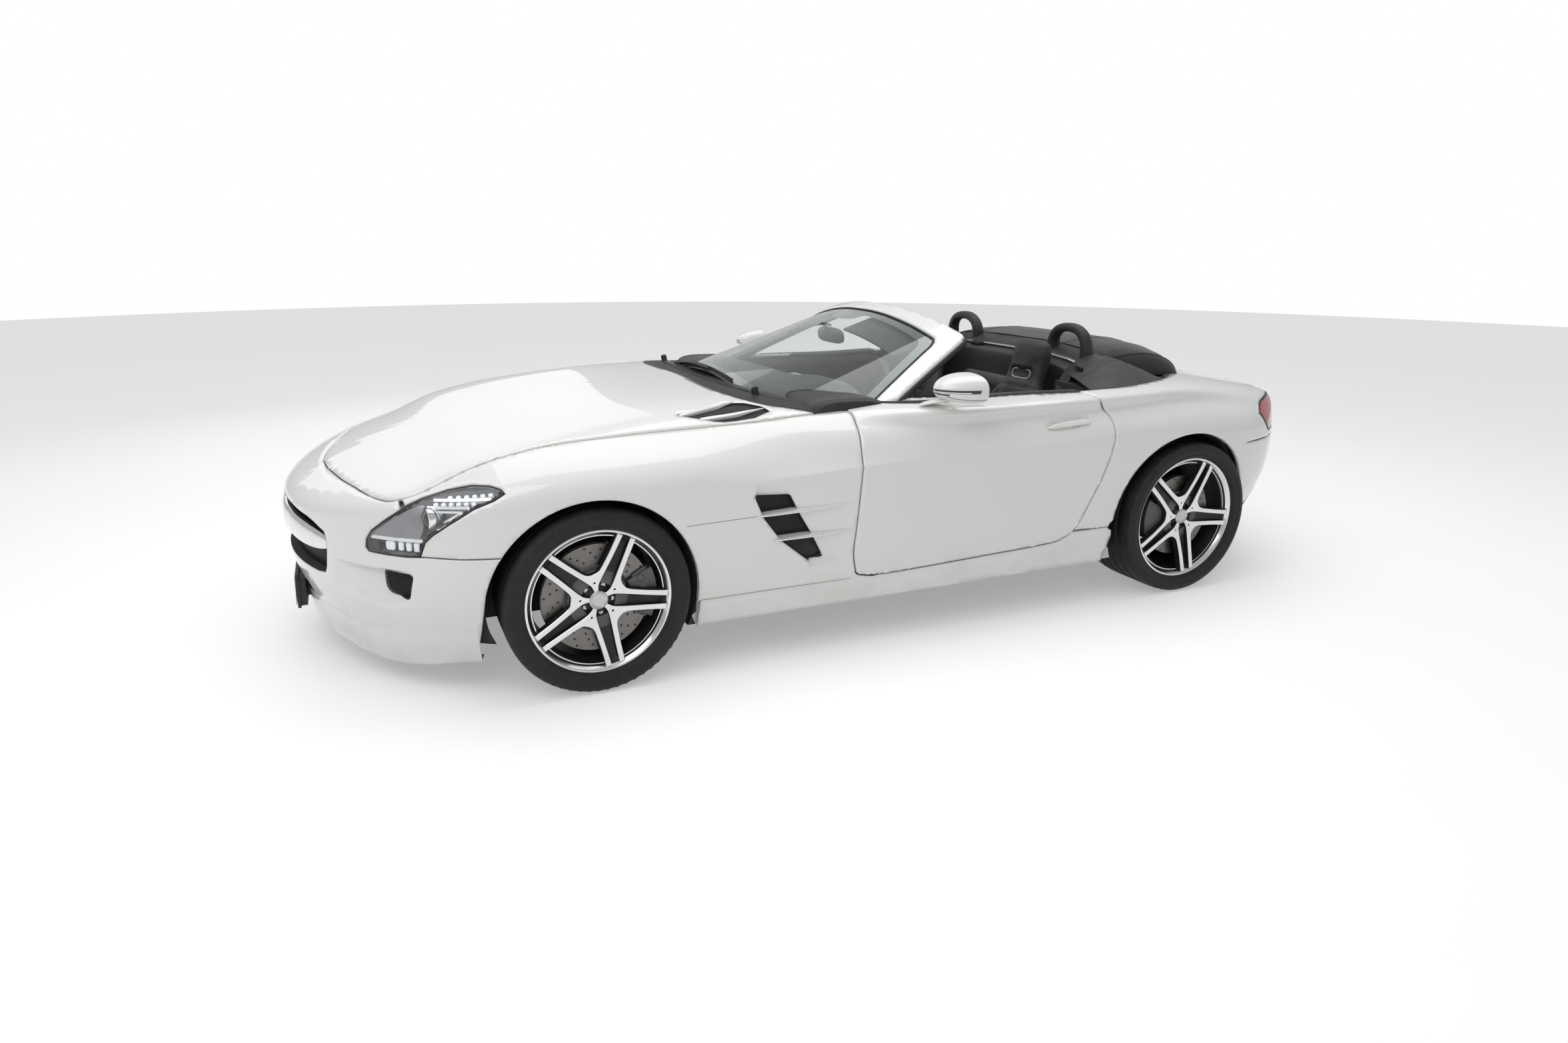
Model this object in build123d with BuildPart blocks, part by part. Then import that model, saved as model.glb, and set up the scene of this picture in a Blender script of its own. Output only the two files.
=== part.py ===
from build123d import *
import os
from math import cos, radians, sin, sqrt

os.makedirs("parts", exist_ok=True)

# driving dimensions, mm
NOSE_Y = -2319.0
TAIL_Y = 2319.0
FRONT_AXLE_Y = -1310.0
REAR_AXLE_Y = 1370.0
SKIN = 40.0
EDGE_THICK = 10.0
EDGE_INSET = 19.0
BOOT_EDGE_INSET = 29.0
BOOT_HOLE_FLOOR_Z = 778.0
BOOT_LID_FLOOR_Z = 788.0
LEDGE_INSET = 12.0
SHUT_GAP = 6.0
FIT = 0.3
FLOOR_Z = 150.0
FLOOR_THICK = 40.0
BAY_HALF_WIDTH = 500.0
CABIN_HALF_WIDTH = 800.0
DOOR_INNER_X = 830.0
CABIN_FRONT_Y = -420.0
CABIN_REAR_Y = 1010.0
WELL_FRONT_Y = 925.0
BOOT_HALF_WIDTH = 560.0
BOOT_FRONT_Y = 1240.0
BOOT_REAR_Y = 2190.0
BOOT_FLOOR_Z = 480.0
FRONT_ARCH_RADIUS = 378.0
REAR_ARCH_RADIUS = 386.0
STEER_AXIS_X = 841.0
FRONT_TYRE_RADIUS = 334.0
REAR_TYRE_RADIUS = 342.5
SPOKE_PAIRS = 5
SPOKE_WIDTH = 17.0
SPOKE_SPREAD = 19.0
SCREEN_RADIUS = 1700.0
SCREEN_PITCH = 17.8
TOW_X = -430.0
TOW_Y = -2200.0
TOW_Z = 300.0
SEAT_X = 385.0
WHEEL_Y = 205.0
WHEEL_Z = 770.0
COLUMN_LENGTH = 350.0

# body sections, nose to tail: the half section runs from the sill edge by the
# widest point and the shoulder to the crest, then over the crown
# y, sill z, sill x, flank x, widest x, widest z, shoulder x, shoulder z, crest x, crest z, crown z
SECTIONS = (
    (-2340, 150, 700, 780, 820, 430, 770, 545, 500, 598, 616),
    (-2160, 150, 760, 850, 900, 450, 838, 605, 560, 672, 704),
    (-2000, 152, 820, 895, 930, 490, 856, 660, 580, 733, 762),
    (-1850, 158, 870, 925, 945, 550, 852, 718, 590, 778, 806),
    (-1700, 164, 895, 940, 958, 615, 850, 782, 600, 838, 852),
    (-1500, 168, 905, 948, 968, 662, 846, 832, 600, 885, 900),
    (-1200, 170, 915, 952, 969.5, 690, 836, 856, 600, 925, 938),
    (-900, 172, 920, 950, 960, 700, 830, 866, 600, 946, 960),
    (-600, 174, 922, 945, 956, 708, 836, 870, 610, 950, 968),
    (-300, 176, 925, 945, 957, 722, 880, 858, 700, 928, 972),
    (0, 178, 928, 947, 960, 730, 915, 845, 850, 925, 965),
    (500, 182, 930, 948, 961, 733, 915, 845, 850, 922, 960),
    (1000, 186, 928, 948, 965, 738, 915, 850, 840, 930, 960),
    (1370, 200, 920, 948, 969.5, 715, 905, 850, 800, 932, 958),
    (1700, 235, 890, 925, 953, 690, 893, 815, 740, 905, 930),
    (2000, 270, 850, 890, 915, 670, 868, 775, 680, 860, 884),
    (2340, 300, 780, 820, 840, 650, 800, 735, 620, 800, 822),
)


def section_plane(y):
    return Plane(origin=(0, y, 0), x_dir=(1, 0, 0), z_dir=(0, -1, 0))


def side_plane(x):
    return Plane(origin=(x, 0, 0), x_dir=(0, 1, 0), z_dir=(1, 0, 0))


def slab(x0, x1, y0, y1, z0, z1, mode=Mode.ADD):
    with Locations(((x0 + x1) / 2, (y0 + y1) / 2, (z0 + z1) / 2)):
        return Box(x1 - x0, y1 - y0, z1 - z0, mode=mode)


def both_halves(points):
    return [*points, *[(-x, y) for x, y in reversed(points) if abs(x) > 0.01]]


def plan_prism(points, z0, z1, mode=Mode.ADD, gap=0.0):
    with BuildSketch(Plane.XY.offset(z0)) as outline:
        with BuildLine():
            Polyline(*points, close=True)
        make_face()
        if gap:
            offset(amount=gap, kind=Kind.INTERSECTION)
    return extrude(outline.sketch, amount=z1 - z0, dir=(0, 0, 1), mode=mode)


def side_prism(points, x0, x1, mode=Mode.ADD, gap=0.0):
    with BuildSketch(side_plane(x0)) as outline:
        with BuildLine():
            Polyline(*points, close=True)
        make_face()
        if gap:
            offset(amount=gap, kind=Kind.INTERSECTION)
    return extrude(outline.sketch, amount=x1 - x0, dir=(1, 0, 0), mode=mode)


def front_prism(points, y0, y1, mode=Mode.ADD):
    with BuildSketch(section_plane(y1)) as outline:
        with BuildLine():
            Polyline(*points, close=True)
        make_face()
    return extrude(outline.sketch, amount=y1 - y0, dir=(0, -1, 0), mode=mode)


def wheel_drum(x0, x1, y, z, radius, mode=Mode.SUBTRACT):
    with BuildSketch(side_plane(x0)) as disc:
        with Locations((y, z)):
            Circle(radius)
    return extrude(disc.sketch, amount=x1 - x0, dir=(1, 0, 0), mode=mode)


def keep(part, name):
    part.label = name
    export_step(part, f"parts/{name}.step")


def hull(inset):
    with BuildPart() as mass:
        for y, sill_z, sill_x, flank_x, wide_x, wide_z, knee_x, knee_z, crest_x, crest_z, crown_z in SECTIONS:
            with BuildSketch(section_plane(y)):
                with BuildLine():
                    low = (sill_x - inset, sill_z + inset)
                    wide = (wide_x - inset, wide_z)
                    crest = (crest_x - inset * 0.5, crest_z - inset)
                    for s in (1, -1):
                        ThreePointArc(
                            (s * low[0], low[1]),
                            (s * (flank_x - inset), (low[1] + wide[1]) / 2),
                            (s * wide[0], wide[1]),
                        )
                        ThreePointArc(
                            (s * wide[0], wide[1]),
                            (s * (knee_x - inset * 0.75), knee_z - inset * 0.7),
                            (s * crest[0], crest[1]),
                        )
                    ThreePointArc((crest[0], crest[1]), (0, crown_z - inset), (-crest[0], crest[1]))
                    Line((low[0], low[1]), (-low[0], low[1]))
                make_face()
        loft(ruled=True)
        # plan outline with the rounded nose and tail
        with BuildSketch(Plane.XY) as plan:
            with BuildLine():
                ThreePointArc((700 - inset, -2060 + inset), (0, NOSE_Y + inset), (-700 + inset, -2060 + inset))
                ThreePointArc((740 - inset, 2110 - inset), (0, TAIL_Y - inset), (-740 + inset, 2110 - inset))
                for s in (1, -1):
                    ThreePointArc((s * (700 - inset), -2060 + inset), (s * (880 - inset), -1840), (s * (985 - inset), -1450))
                    Line((s * (985 - inset), -1450), (s * (985 - inset), 1500))
                    ThreePointArc((s * (985 - inset), 1500), (s * (905 - inset), 1870), (s * (740 - inset), 2110 - inset))
            make_face()
        extrude(plan.sketch, amount=1400, mode=Mode.INTERSECT)
    return mass.part


BODY = hull(0)
INNER = hull(SKIN)
EDGE = hull(EDGE_THICK)
LEDGE = hull(EDGE_THICK + FIT)

# plan outlines, half, front to rear
BONNET_EDGE = (
    (0, -2164), (150, -2147), (300, -2117), (420, -2083), (550, -2040), (650, -1990),
    (708, -1935), (745, -1860), (775, -1700), (793, -1450), (797, -1100), (797, -700), (790, -340),
)
BONNET_REAR = ((740, -345), (690, -440), (600, -540), (450, -600), (250, -625), (0, -632))
BOOT_EDGE = ((0, 1716), (420, 1712), (540, 1722), (600, 1775), (628, 1900), (622, 2100), (560, 2195), (300, 2236), (0, 2246))
DOOR_EDGE = (
    (-272, 960), (-272, 909), (-282, 827), (-291, 695), (-303, 468), (-306, 389), (-297, 321), (-270, 289),
    (-117, 281), (356, 297), (627, 308), (705, 325), (762, 362), (819, 470), (875, 595), (903, 707),
    (906, 792), (890, 840), (836, 905), (800, 960),
)


BONNET_PLAN = both_halves([*BONNET_EDGE, *BONNET_REAR])
BOOT_PLAN = both_halves(list(BOOT_EDGE))


def door_prism(side, points, mode):
    """Outline on the outer side, drawn in towards the cabin so that the rear edge swings clear."""
    with BuildSketch(side_plane(side * 1000)) as outer:
        with BuildLine():
            Polyline(*points, close=True)
        make_face()
    return extrude(outer.sketch, amount=200, dir=(-side, 0, 0), taper=5 if mode == Mode.INTERSECT else 0, mode=mode)


# openings for the lids: full size down to the lid's skin, with a ledge under its edge
with BuildPart() as bonnet_hole:
    plan_prism(BONNET_PLAN, 560, 1100, gap=SHUT_GAP)
    slab(-1000, 1000, -2400, -900, 560, 1100, Mode.INTERSECT)
    add(LEDGE, mode=Mode.SUBTRACT)
    plan_prism(BONNET_PLAN, 560, 1100, gap=-LEDGE_INSET)
with BuildPart() as bonnet_hole_rear:
    plan_prism(BONNET_PLAN, 560, 1100, gap=SHUT_GAP)
    slab(-1000, 1000, -900, 0, 560, 1100, Mode.INTERSECT)
with BuildPart() as boot_hole:
    plan_prism(BOOT_PLAN, BOOT_HOLE_FLOOR_Z, 1200, gap=SHUT_GAP)
    add(LEDGE, mode=Mode.SUBTRACT)
    plan_prism(BOOT_PLAN, BOOT_HOLE_FLOOR_Z, 1200, gap=-LEDGE_INSET)

# front bumper: nose below the bonnet and down to the splitter
BUMPER_SIDE = ((-2400, 100), (-1608, 100), (-1608, 530), (-1760, 534), (-1905, 552), (-1925, 572), (-1925, 900), (-2400, 900))
MOUTH = ((-520, 350), (520, 350), (545, 380), (535, 520), (470, 556), (-470, 556), (-535, 520), (-545, 380))
INTAKE = ((665, 330), (770, 322), (790, 345), (786, 428), (770, 440), (660, 440))
NOSE_RADIUS = (700.0**2 + (NOSE_Y + 2060.0) ** 2) / (2 * abs(NOSE_Y + 2060.0))


def nose_ring(depth0, depth1, mode=Mode.ADD):
    """Vertical shell that follows the nose in plan, between two depths behind it."""
    centre_y = NOSE_Y + NOSE_RADIUS
    with BuildSketch(Plane.XY) as ring:
        with Locations((0, centre_y)):
            Circle(NOSE_RADIUS - depth0)
            Circle(NOSE_RADIUS - depth1, mode=Mode.SUBTRACT)
    return extrude(ring.sketch, amount=1200, mode=mode)


LAMP_SIDE = ((-2052, 560), (-1885, 548), (-1858, 610), (-1700, 690), (-1603, 738), (-1606, 752), (-1720, 790), (-1860, 742), (-1990, 662), (-2056, 600))
TAIL_LAMP_SIDE = ((1812, 778), (1870, 826), (2330, 838), (2330, 690), (1905, 690))


def lamp_zone(points, side, mode=Mode.ADD, gap=0.0):
    inner, outer = sorted((side * (640 - gap), side * 1000))
    return side_prism(points, inner, outer, mode, gap)


with BuildPart() as front_bumper:
    add(BODY)
    side_prism(BUMPER_SIDE, -1000, 1000, Mode.INTERSECT)
    add(bonnet_hole.part, mode=Mode.SUBTRACT)
    add(bonnet_hole_rear.part, mode=Mode.SUBTRACT)
    slab(-BAY_HALF_WIDTH, BAY_HALF_WIDTH, -2090, -1500, 100, 1000, Mode.SUBTRACT)
    for side in (1, -1):
        lamp_zone(LAMP_SIDE, side, Mode.SUBTRACT, FIT)
    wheel_drum(520, 1100, FRONT_AXLE_Y - 10, 322, FRONT_ARCH_RADIUS)
    wheel_drum(-1100, -520, FRONT_AXLE_Y - 10, 322, FRONT_ARCH_RADIUS)
    front_prism(MOUTH, -2400, -2140, Mode.SUBTRACT)
    for side in (1, -1):
        front_prism([(side * x, z) for x, z in INTAKE], -2400, -1980, Mode.SUBTRACT)
    front_prism(((-330, 215), (330, 215), (300, 312), (-300, 312)), -2400, -2240, Mode.SUBTRACT)
    # towing socket behind a flat seat
    with BuildSketch(section_plane(TOW_Y)) as seat_face:
        with Locations((TOW_X, TOW_Z)):
            Circle(22)
    extrude(seat_face.sketch, amount=200, mode=Mode.SUBTRACT)
    with BuildSketch(section_plane(TOW_Y + 60)) as socket:
        with Locations((TOW_X, TOW_Z)):
            Circle(10)
    extrude(socket.sketch, amount=61, mode=Mode.SUBTRACT)
keep(front_bumper.part, "front_bumper")

with BuildPart() as grille_mesh:
    nose_ring(60, 72)
    front_prism([(x * 0.9994, 453 + (z - 453) * 0.997) for x, z in MOUTH], -2400, -2141, Mode.INTERSECT)
keep(grille_mesh.part, "grille_mesh")

with BuildPart() as grille_bar:
    nose_ring(6, 59.7)
    front_prism(((-534, 440), (534, 440), (534, 470), (-534, 470)), -2400, -2141, Mode.INTERSECT)
keep(grille_bar.part, "grille_bar")


def lid(outline, floor_z, inset):
    """Outer skin on the whole outline, stiffened inside it to the full thickness."""
    with BuildPart() as skin:
        add(BODY)
        plan_prism(outline, floor_z, 1200, Mode.INTERSECT)
        add(EDGE, mode=Mode.SUBTRACT)
    with BuildPart() as both:
        add(BODY)
        plan_prism(outline, floor_z, 1200, Mode.INTERSECT, -inset)
        add(INNER, mode=Mode.SUBTRACT)
        add(skin.part)
    return both.part


keep(lid(BONNET_PLAN, 560, EDGE_INSET), "bonnet")

with BuildPart() as lamp_zones:
    lamp_zone(LAMP_SIDE, 1)
    lamp_zone(LAMP_SIDE, -1)

with BuildPart() as headlamps:
    add(BODY)
    add(lamp_zones.part, mode=Mode.INTERSECT)
    add(INNER, mode=Mode.SUBTRACT)
    plan_prism(BONNET_PLAN, 500, 1100, Mode.SUBTRACT, SHUT_GAP)
keep(headlamps.part, "headlamps")

FENDER_SIDE = ((-2330, 558), (-1905, 558), (-1760, 540), (-1600, 536), (-1500, 100), (-942, 100), (-942, 278), (-322, 278), (-322, 900), (-160, 1050), (-2330, 1050))
VENT_SIDE = ((-728, 674), (-672, 655), (-588, 646), (-560, 600), (-446, 392), (-470, 382), (-566, 388), (-706, 578))


VENT_BLADES = (((-705, 588), (-400, 652), (-401, 662), (-703, 600)), ((-655, 488), (-350, 545), (-351, 555), (-648, 500)))


def front_fender(side):
    inner, outer = sorted((side * 560, side * 1000))
    with BuildPart() as fender:
        add(BODY)
        side_prism(FENDER_SIDE, inner, outer, Mode.INTERSECT)
        side_prism(BUMPER_SIDE, -1000, 1000, Mode.SUBTRACT)
        add(bonnet_hole.part, mode=Mode.SUBTRACT)
        add(bonnet_hole_rear.part, mode=Mode.SUBTRACT)
        side_prism(DOOR_EDGE, inner, outer, Mode.SUBTRACT, SHUT_GAP)
        slab(-CABIN_HALF_WIDTH, CABIN_HALF_WIDTH, CABIN_FRONT_Y - 20, 0, 100, 1200, Mode.SUBTRACT)
        lamp_zone(LAMP_SIDE, side, Mode.SUBTRACT, FIT)
        x0, x1 = sorted((side * 520, side * 1100))
        wheel_drum(x0, x1, FRONT_AXLE_Y - 10, 322, FRONT_ARCH_RADIUS)
        x0, x1 = sorted((side * 912, side * 1100))
        side_prism(VENT_SIDE, x0, x1, Mode.SUBTRACT)
        for blade in VENT_BLADES:
            side_prism(blade, x0, x1, Mode.SUBTRACT, FIT)
        slab(-560, 560, -2400, 0, 100, 1200, Mode.SUBTRACT)
        plan_prism([(-790, -620), (790, -620), (790, -100), (-790, -100)], 780, 1100, Mode.SUBTRACT)
    return fender.part


keep(front_fender(1), "front_fender_l")
keep(front_fender(-1), "front_fender_r")

with BuildPart() as cowl:
    add(BODY)
    slab(-789.7, 789.7, -660, -300, 780.3, 1200, Mode.INTERSECT)
    plan_prism(BONNET_PLAN, 700, 1100, Mode.SUBTRACT, SHUT_GAP)
    slab(-CABIN_HALF_WIDTH, CABIN_HALF_WIDTH, CABIN_FRONT_Y + 60, 100, 700, 950, Mode.SUBTRACT)
keep(cowl.part, "cowl")

with BuildPart() as sills:
    add(BODY)
    slab(-1000, 1000, -941.7, 935.7, 100, 277.7, Mode.INTERSECT)
    side_prism(DOOR_EDGE, -1000, 1000, Mode.SUBTRACT, SHUT_GAP)
    slab(-CABIN_HALF_WIDTH - 0.3, CABIN_HALF_WIDTH + 0.3, -1000, 1000, 90, 300, Mode.SUBTRACT)
    # flange that carries the seal along the foot of each door
    for side in (1, -1):
        x0, x1 = sorted((side * 812, side * (DOOR_INNER_X - FIT)))
        slab(x0, x1, -240, 590, 240, 312)
keep(sills.part, "sills")


def door(side):
    with BuildPart() as panel:
        add(BODY)
        door_prism(side, DOOR_EDGE, Mode.INTERSECT)
        slab(-DOOR_INNER_X, DOOR_INNER_X, -1000, 2000, 100, 1200, Mode.SUBTRACT)
        slab(-1000, 1000, -1000, 2000, 926, 1200, Mode.SUBTRACT)
    return panel.part


keep(door(1), "door_l")
keep(door(-1), "door_r")

QUARTER_SIDE = ((2400, 1100), (2400, 668), (1700, 662), (1500, 662), (1400, 100), (936, 100), (936, 278), (600, 278), (600, 1100))
REAR_BUMPER_SIDE = ((2400, 662), (1700, 656), (1500, 656), (1500, 100), (2400, 100))


with BuildPart() as tail_zones:
    lamp_zone(TAIL_LAMP_SIDE, 1)
    lamp_zone(TAIL_LAMP_SIDE, -1)

with BuildPart() as tail_lamps:
    add(BODY)
    add(tail_zones.part, mode=Mode.INTERSECT)
    add(INNER, mode=Mode.SUBTRACT)
keep(tail_lamps.part, "tail_lamps")

keep(lid(BOOT_PLAN, BOOT_LID_FLOOR_Z, BOOT_EDGE_INSET), "boot_lid")

with BuildPart() as rear_body:
    add(BODY)
    side_prism(QUARTER_SIDE, -1000, 1000, Mode.INTERSECT)
    side_prism(DOOR_EDGE, -1000, 1000, Mode.SUBTRACT, SHUT_GAP)
    slab(-CABIN_HALF_WIDTH, CABIN_HALF_WIDTH, 0, WELL_FRONT_Y, 100, 1200, Mode.SUBTRACT)
    slab(-560, 560, 0, CABIN_REAR_Y, 100, 1200, Mode.SUBTRACT)
    slab(-BOOT_HALF_WIDTH, BOOT_HALF_WIDTH, CABIN_REAR_Y - 1, BOOT_REAR_Y, 100, 890, Mode.SUBTRACT)
    slab(-580, 580, 1170, 1690, 870, 1200, Mode.SUBTRACT)
    add(boot_hole.part, mode=Mode.SUBTRACT)
    for side in (1, -1):
        lamp_zone(TAIL_LAMP_SIDE, side, Mode.SUBTRACT, FIT)
    wheel_drum(600, 1100, REAR_AXLE_Y - 20, 342, REAR_ARCH_RADIUS)
    wheel_drum(-1100, -600, REAR_AXLE_Y - 20, 342, REAR_ARCH_RADIUS)
    slab(-700, 700, REAR_AXLE_Y - 45, REAR_AXLE_Y + 45, 295, 390, Mode.SUBTRACT)
keep(rear_body.part, "rear_body")

with BuildPart() as rear_bumper:
    add(BODY)
    side_prism(REAR_BUMPER_SIDE, -1000, 1000, Mode.INTERSECT)
    slab(-BOOT_HALF_WIDTH, BOOT_HALF_WIDTH, 1400, BOOT_REAR_Y, 100, 900, Mode.SUBTRACT)
    slab(-520, 520, 2000, 2400, 100, 392, Mode.SUBTRACT)
    wheel_drum(600, 1100, REAR_AXLE_Y - 20, 342, REAR_ARCH_RADIUS)
    wheel_drum(-1100, -600, REAR_AXLE_Y - 20, 342, REAR_ARCH_RADIUS)
keep(rear_bumper.part, "rear_bumper")

with BuildPart() as diffuser:
    slab(-515, 515, BOOT_REAR_Y - 150, BOOT_REAR_Y + 70, 250, 391.7)
    for x in (-300, -150, 0, 150, 300):
        slab(x - 6, x + 6, 2030, 2250, 200, 252)
    for x in (-400, -455, 400, 455):
        with BuildSketch(section_plane(2285)) as pipe:
            with Locations((x, 318)):
                RectangleRounded(48, 62, 18)
        extrude(pipe.sketch, amount=60, dir=(0, -1, 0))
        with BuildSketch(section_plane(2285)) as bore:
            with Locations((x, 318)):
                RectangleRounded(40, 54, 14)
        extrude(bore.sketch, amount=55, dir=(0, -1, 0), mode=Mode.SUBTRACT)
keep(diffuser.part, "diffuser")

# windscreen: a band bent about the slope line, cut to its outline in plan
slope = radians(SCREEN_PITCH)
screen_plane = Plane(origin=(0, -600, 962), x_dir=(1, 0, 0), z_dir=(0, cos(slope), sin(slope)))
GLASS_PLAN = both_halves([(0, -596), (300, -585), (450, -566), (650, -470), (752, -300), (772, -190), (575, 268), (300, 236), (0, 222)])
FRAME_PLAN = both_halves([(0, -596), (300, -585), (450, -566), (650, -470), (752, -300), (788, -215), (793, -30), (632, 372), (450, 338), (0, 300)])


def screen_band(below, above):
    with BuildSketch(screen_plane.offset(-200)) as band:
        with Locations((0, SCREEN_RADIUS)):
            Circle(SCREEN_RADIUS + above)
            Circle(SCREEN_RADIUS - below, mode=Mode.SUBTRACT)
        Rectangle(2000, 1400, mode=Mode.INTERSECT)
    return extrude(band.sketch, amount=1500)


with BuildPart() as windscreen_glass:
    screen_band(5, 0)
    plan_prism(GLASS_PLAN, 700, 1400, Mode.INTERSECT)
    add(BODY, mode=Mode.SUBTRACT)
keep(windscreen_glass.part, "windscreen_glass")

with BuildPart() as windscreen_frame:
    screen_band(30, 8)
    plan_prism(FRAME_PLAN, 700, 1400, Mode.INTERSECT)
    plan_prism(GLASS_PLAN, 700, 1400, Mode.SUBTRACT, FIT)
    add(BODY, mode=Mode.SUBTRACT)
    # inner mirror on its stalk
    slab(-105, 105, 214, 232, 1090, 1150)
    slab(-8, 8, 228, 262, 1120, 1212)
keep(windscreen_frame.part, "windscreen_frame")

# floor, tunnel and bulkheads, and the rails beside the engine
TUB_HALF = CABIN_HALF_WIDTH - FIT
with BuildPart() as tub:
    slab(-TUB_HALF, TUB_HALF, CABIN_FRONT_Y - 19, WELL_FRONT_Y - FIT, FLOOR_Z, FLOOR_Z + FLOOR_THICK)
    slab(-559.7, 559.7, -700, CABIN_REAR_Y + 49, FLOOR_Z, FLOOR_Z + FLOOR_THICK)
    slab(-BAY_HALF_WIDTH + FIT, BAY_HALF_WIDTH - FIT, -2080, -699, FLOOR_Z, FLOOR_Z + FLOOR_THICK)
    slab(-559.7, 559.7, -560, CABIN_FRONT_Y - 40, FLOOR_Z, 779)
    slab(-120, 120, CABIN_FRONT_Y - 40, CABIN_REAR_Y + 10, FLOOR_Z, 420)
    slab(-559.7, 559.7, CABIN_REAR_Y + 9, CABIN_REAR_Y + 49, FLOOR_Z, 889)
    slab(-BOOT_HALF_WIDTH + FIT, BOOT_HALF_WIDTH - FIT, CABIN_REAR_Y + 48, BOOT_REAR_Y - FIT, BOOT_FLOOR_Z - 30, BOOT_FLOOR_Z)
    slab(-BOOT_HALF_WIDTH + FIT, BOOT_HALF_WIDTH - FIT, BOOT_FRONT_Y - 20, BOOT_FRONT_Y, BOOT_FLOOR_Z - 1, 880)
    slab(-BOOT_HALF_WIDTH + FIT, BOOT_HALF_WIDTH - FIT, 1059, 1169, 840, 880)
    for side in (1, -1):
        x0, x1 = sorted((side * (BAY_HALF_WIDTH - 40), side * (BAY_HALF_WIDTH - FIT)))
        slab(x0, x1, -2080, -560, FLOOR_Z, 420)
        slab(x0, x1, FRONT_AXLE_Y - 60, FRONT_AXLE_Y + 60, FLOOR_Z, 510)
keep(tub.part, "tub")


def column_plane(offset):
    """Across the steering column, this far along it from the wheel boss."""
    return Plane(origin=(SEAT_X, WHEEL_Y, WHEEL_Z), x_dir=(1, 0, 0), z_dir=(0, cos(radians(20)), sin(radians(20)))).offset(offset)


with BuildPart() as dashboard:
    with BuildSketch(side_plane(-CABIN_HALF_WIDTH + FIT)) as shape:
        with BuildLine():
            Line((-438, 640), (-438, 780))
            Line((-438, 780), (-400, 948))
            ThreePointArc((-400, 948), (-160, 945), (-60, 880))
            Line((-60, 880), (-110, 640))
            Line((-110, 640), (-438, 640))
        make_face()
    extrude(shape.sketch, amount=2 * (CABIN_HALF_WIDTH - FIT), dir=(1, 0, 0))
    add(INNER, mode=Mode.INTERSECT)
    add(cowl.part, mode=Mode.SUBTRACT)
    slab(-150, 150, -200, -90, 420.5, 760)
    with BuildSketch(column_plane(-COLUMN_LENGTH)) as column:
        Circle(24)
    extrude(column.sketch, amount=COLUMN_LENGTH - FIT)
keep(dashboard.part, "dashboard")

with BuildPart() as centre_console:
    slab(-115, 115, -85, 620, 420.5, 560)
    with Locations((0, 200, 580)):
        Cylinder(22, 60)
    fillet(centre_console.edges().filter_by(Axis.Y).group_by(Axis.Z)[-1], 18)
keep(centre_console.part, "centre_console")


def seat(side):
    x = side * SEAT_X
    with BuildPart() as cushion:
        with BuildSketch(Plane.XY.offset(FLOOR_Z + FLOOR_THICK + FIT)) as base:
            with Locations((x, 430)):
                RectangleRounded(500, 700, 50)
        extrude(base.sketch, amount=139.4)
        with BuildSketch(Plane.XY.offset(320)) as pad:
            with Locations((x, 355)):
                RectangleRounded(490, 560, 50)
        extrude(pad.sketch, amount=105)
    with BuildPart() as backrest:
        with BuildSketch(side_plane(x - 235)) as shape:
            with BuildLine():
                Polyline((650, 330), (770, 330), (960, 930), (975, 1075), (960, 1118), (905, 1122), (868, 1080), (840, 940), close=True)
            make_face()
        extrude(shape.sketch, amount=470, dir=(1, 0, 0))
        front_prism(((x - 235, 300), (x + 235, 300), (x + 200, 760), (x + 125, 910), (x + 120, 1130), (x - 120, 1130), (x - 125, 910), (x - 200, 760)), 500, 1100, Mode.INTERSECT)
    return cushion.part, backrest.part


for side, tag in ((1, "l"), (-1, "r")):
    cushion, backrest = seat(side)
    keep(cushion, f"cushion_{tag}")
    keep(backrest, f"backrest_{tag}")

with BuildPart() as roll_hoops:
    for x in (400, -400):
        with BuildSketch(section_plane(1150)) as loop:
            with Locations((x, 1015)):
                RectangleRounded(262, 290, 90)
                RectangleRounded(190, 218, 60, mode=Mode.SUBTRACT)
            with Locations((x, 800)):
                Rectangle(400, 160, mode=Mode.SUBTRACT)
        extrude(loop.sketch, amount=45, dir=(0, -1, 0))
    add(BODY, mode=Mode.SUBTRACT)
keep(roll_hoops.part, "roll_hoops")

with BuildPart() as soft_top:
    with BuildSketch(side_plane(-575)) as shape:
        with BuildLine():
            Line((1174, 880.5), (1174, 1010))
            ThreePointArc((1174, 1010), (1420, 1062), (1600, 1025))
            ThreePointArc((1600, 1025), (1675, 985), (1684, 935))
            Line((1684, 935), (1684, 880.5))
            Line((1684, 880.5), (1174, 880.5))
        make_face()
    extrude(shape.sketch, amount=1150, dir=(1, 0, 0))
    front_prism(((-575, 870), (575, 870), (575, 960), (470, 1030), (250, 1070), (-250, 1070), (-470, 1030), (-575, 960)), 1100, 1700, Mode.INTERSECT)
keep(soft_top.part, "soft_top")

with BuildPart() as engine:
    slab(-300, 300, -1180, -600, 230, 700)
    slab(-150, 150, -1240, -1180, 260, 560)
    for x in (-300, 250):
        slab(x, x + 50, -1000, -800, FLOOR_Z + FLOOR_THICK + 0.3, 231)
keep(engine.part, "engine")

# blades and mesh of the side vents
with BuildPart() as vent_mesh:
    for side in (1, -1):
        x0, x1 = sorted((side * 912.3, side * 922))
        side_prism([(-596 + (y + 596) * 0.995, 530 + (z - 530) * 0.995) for y, z in VENT_SIDE], x0, x1)
keep(vent_mesh.part, "vent_mesh")

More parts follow.
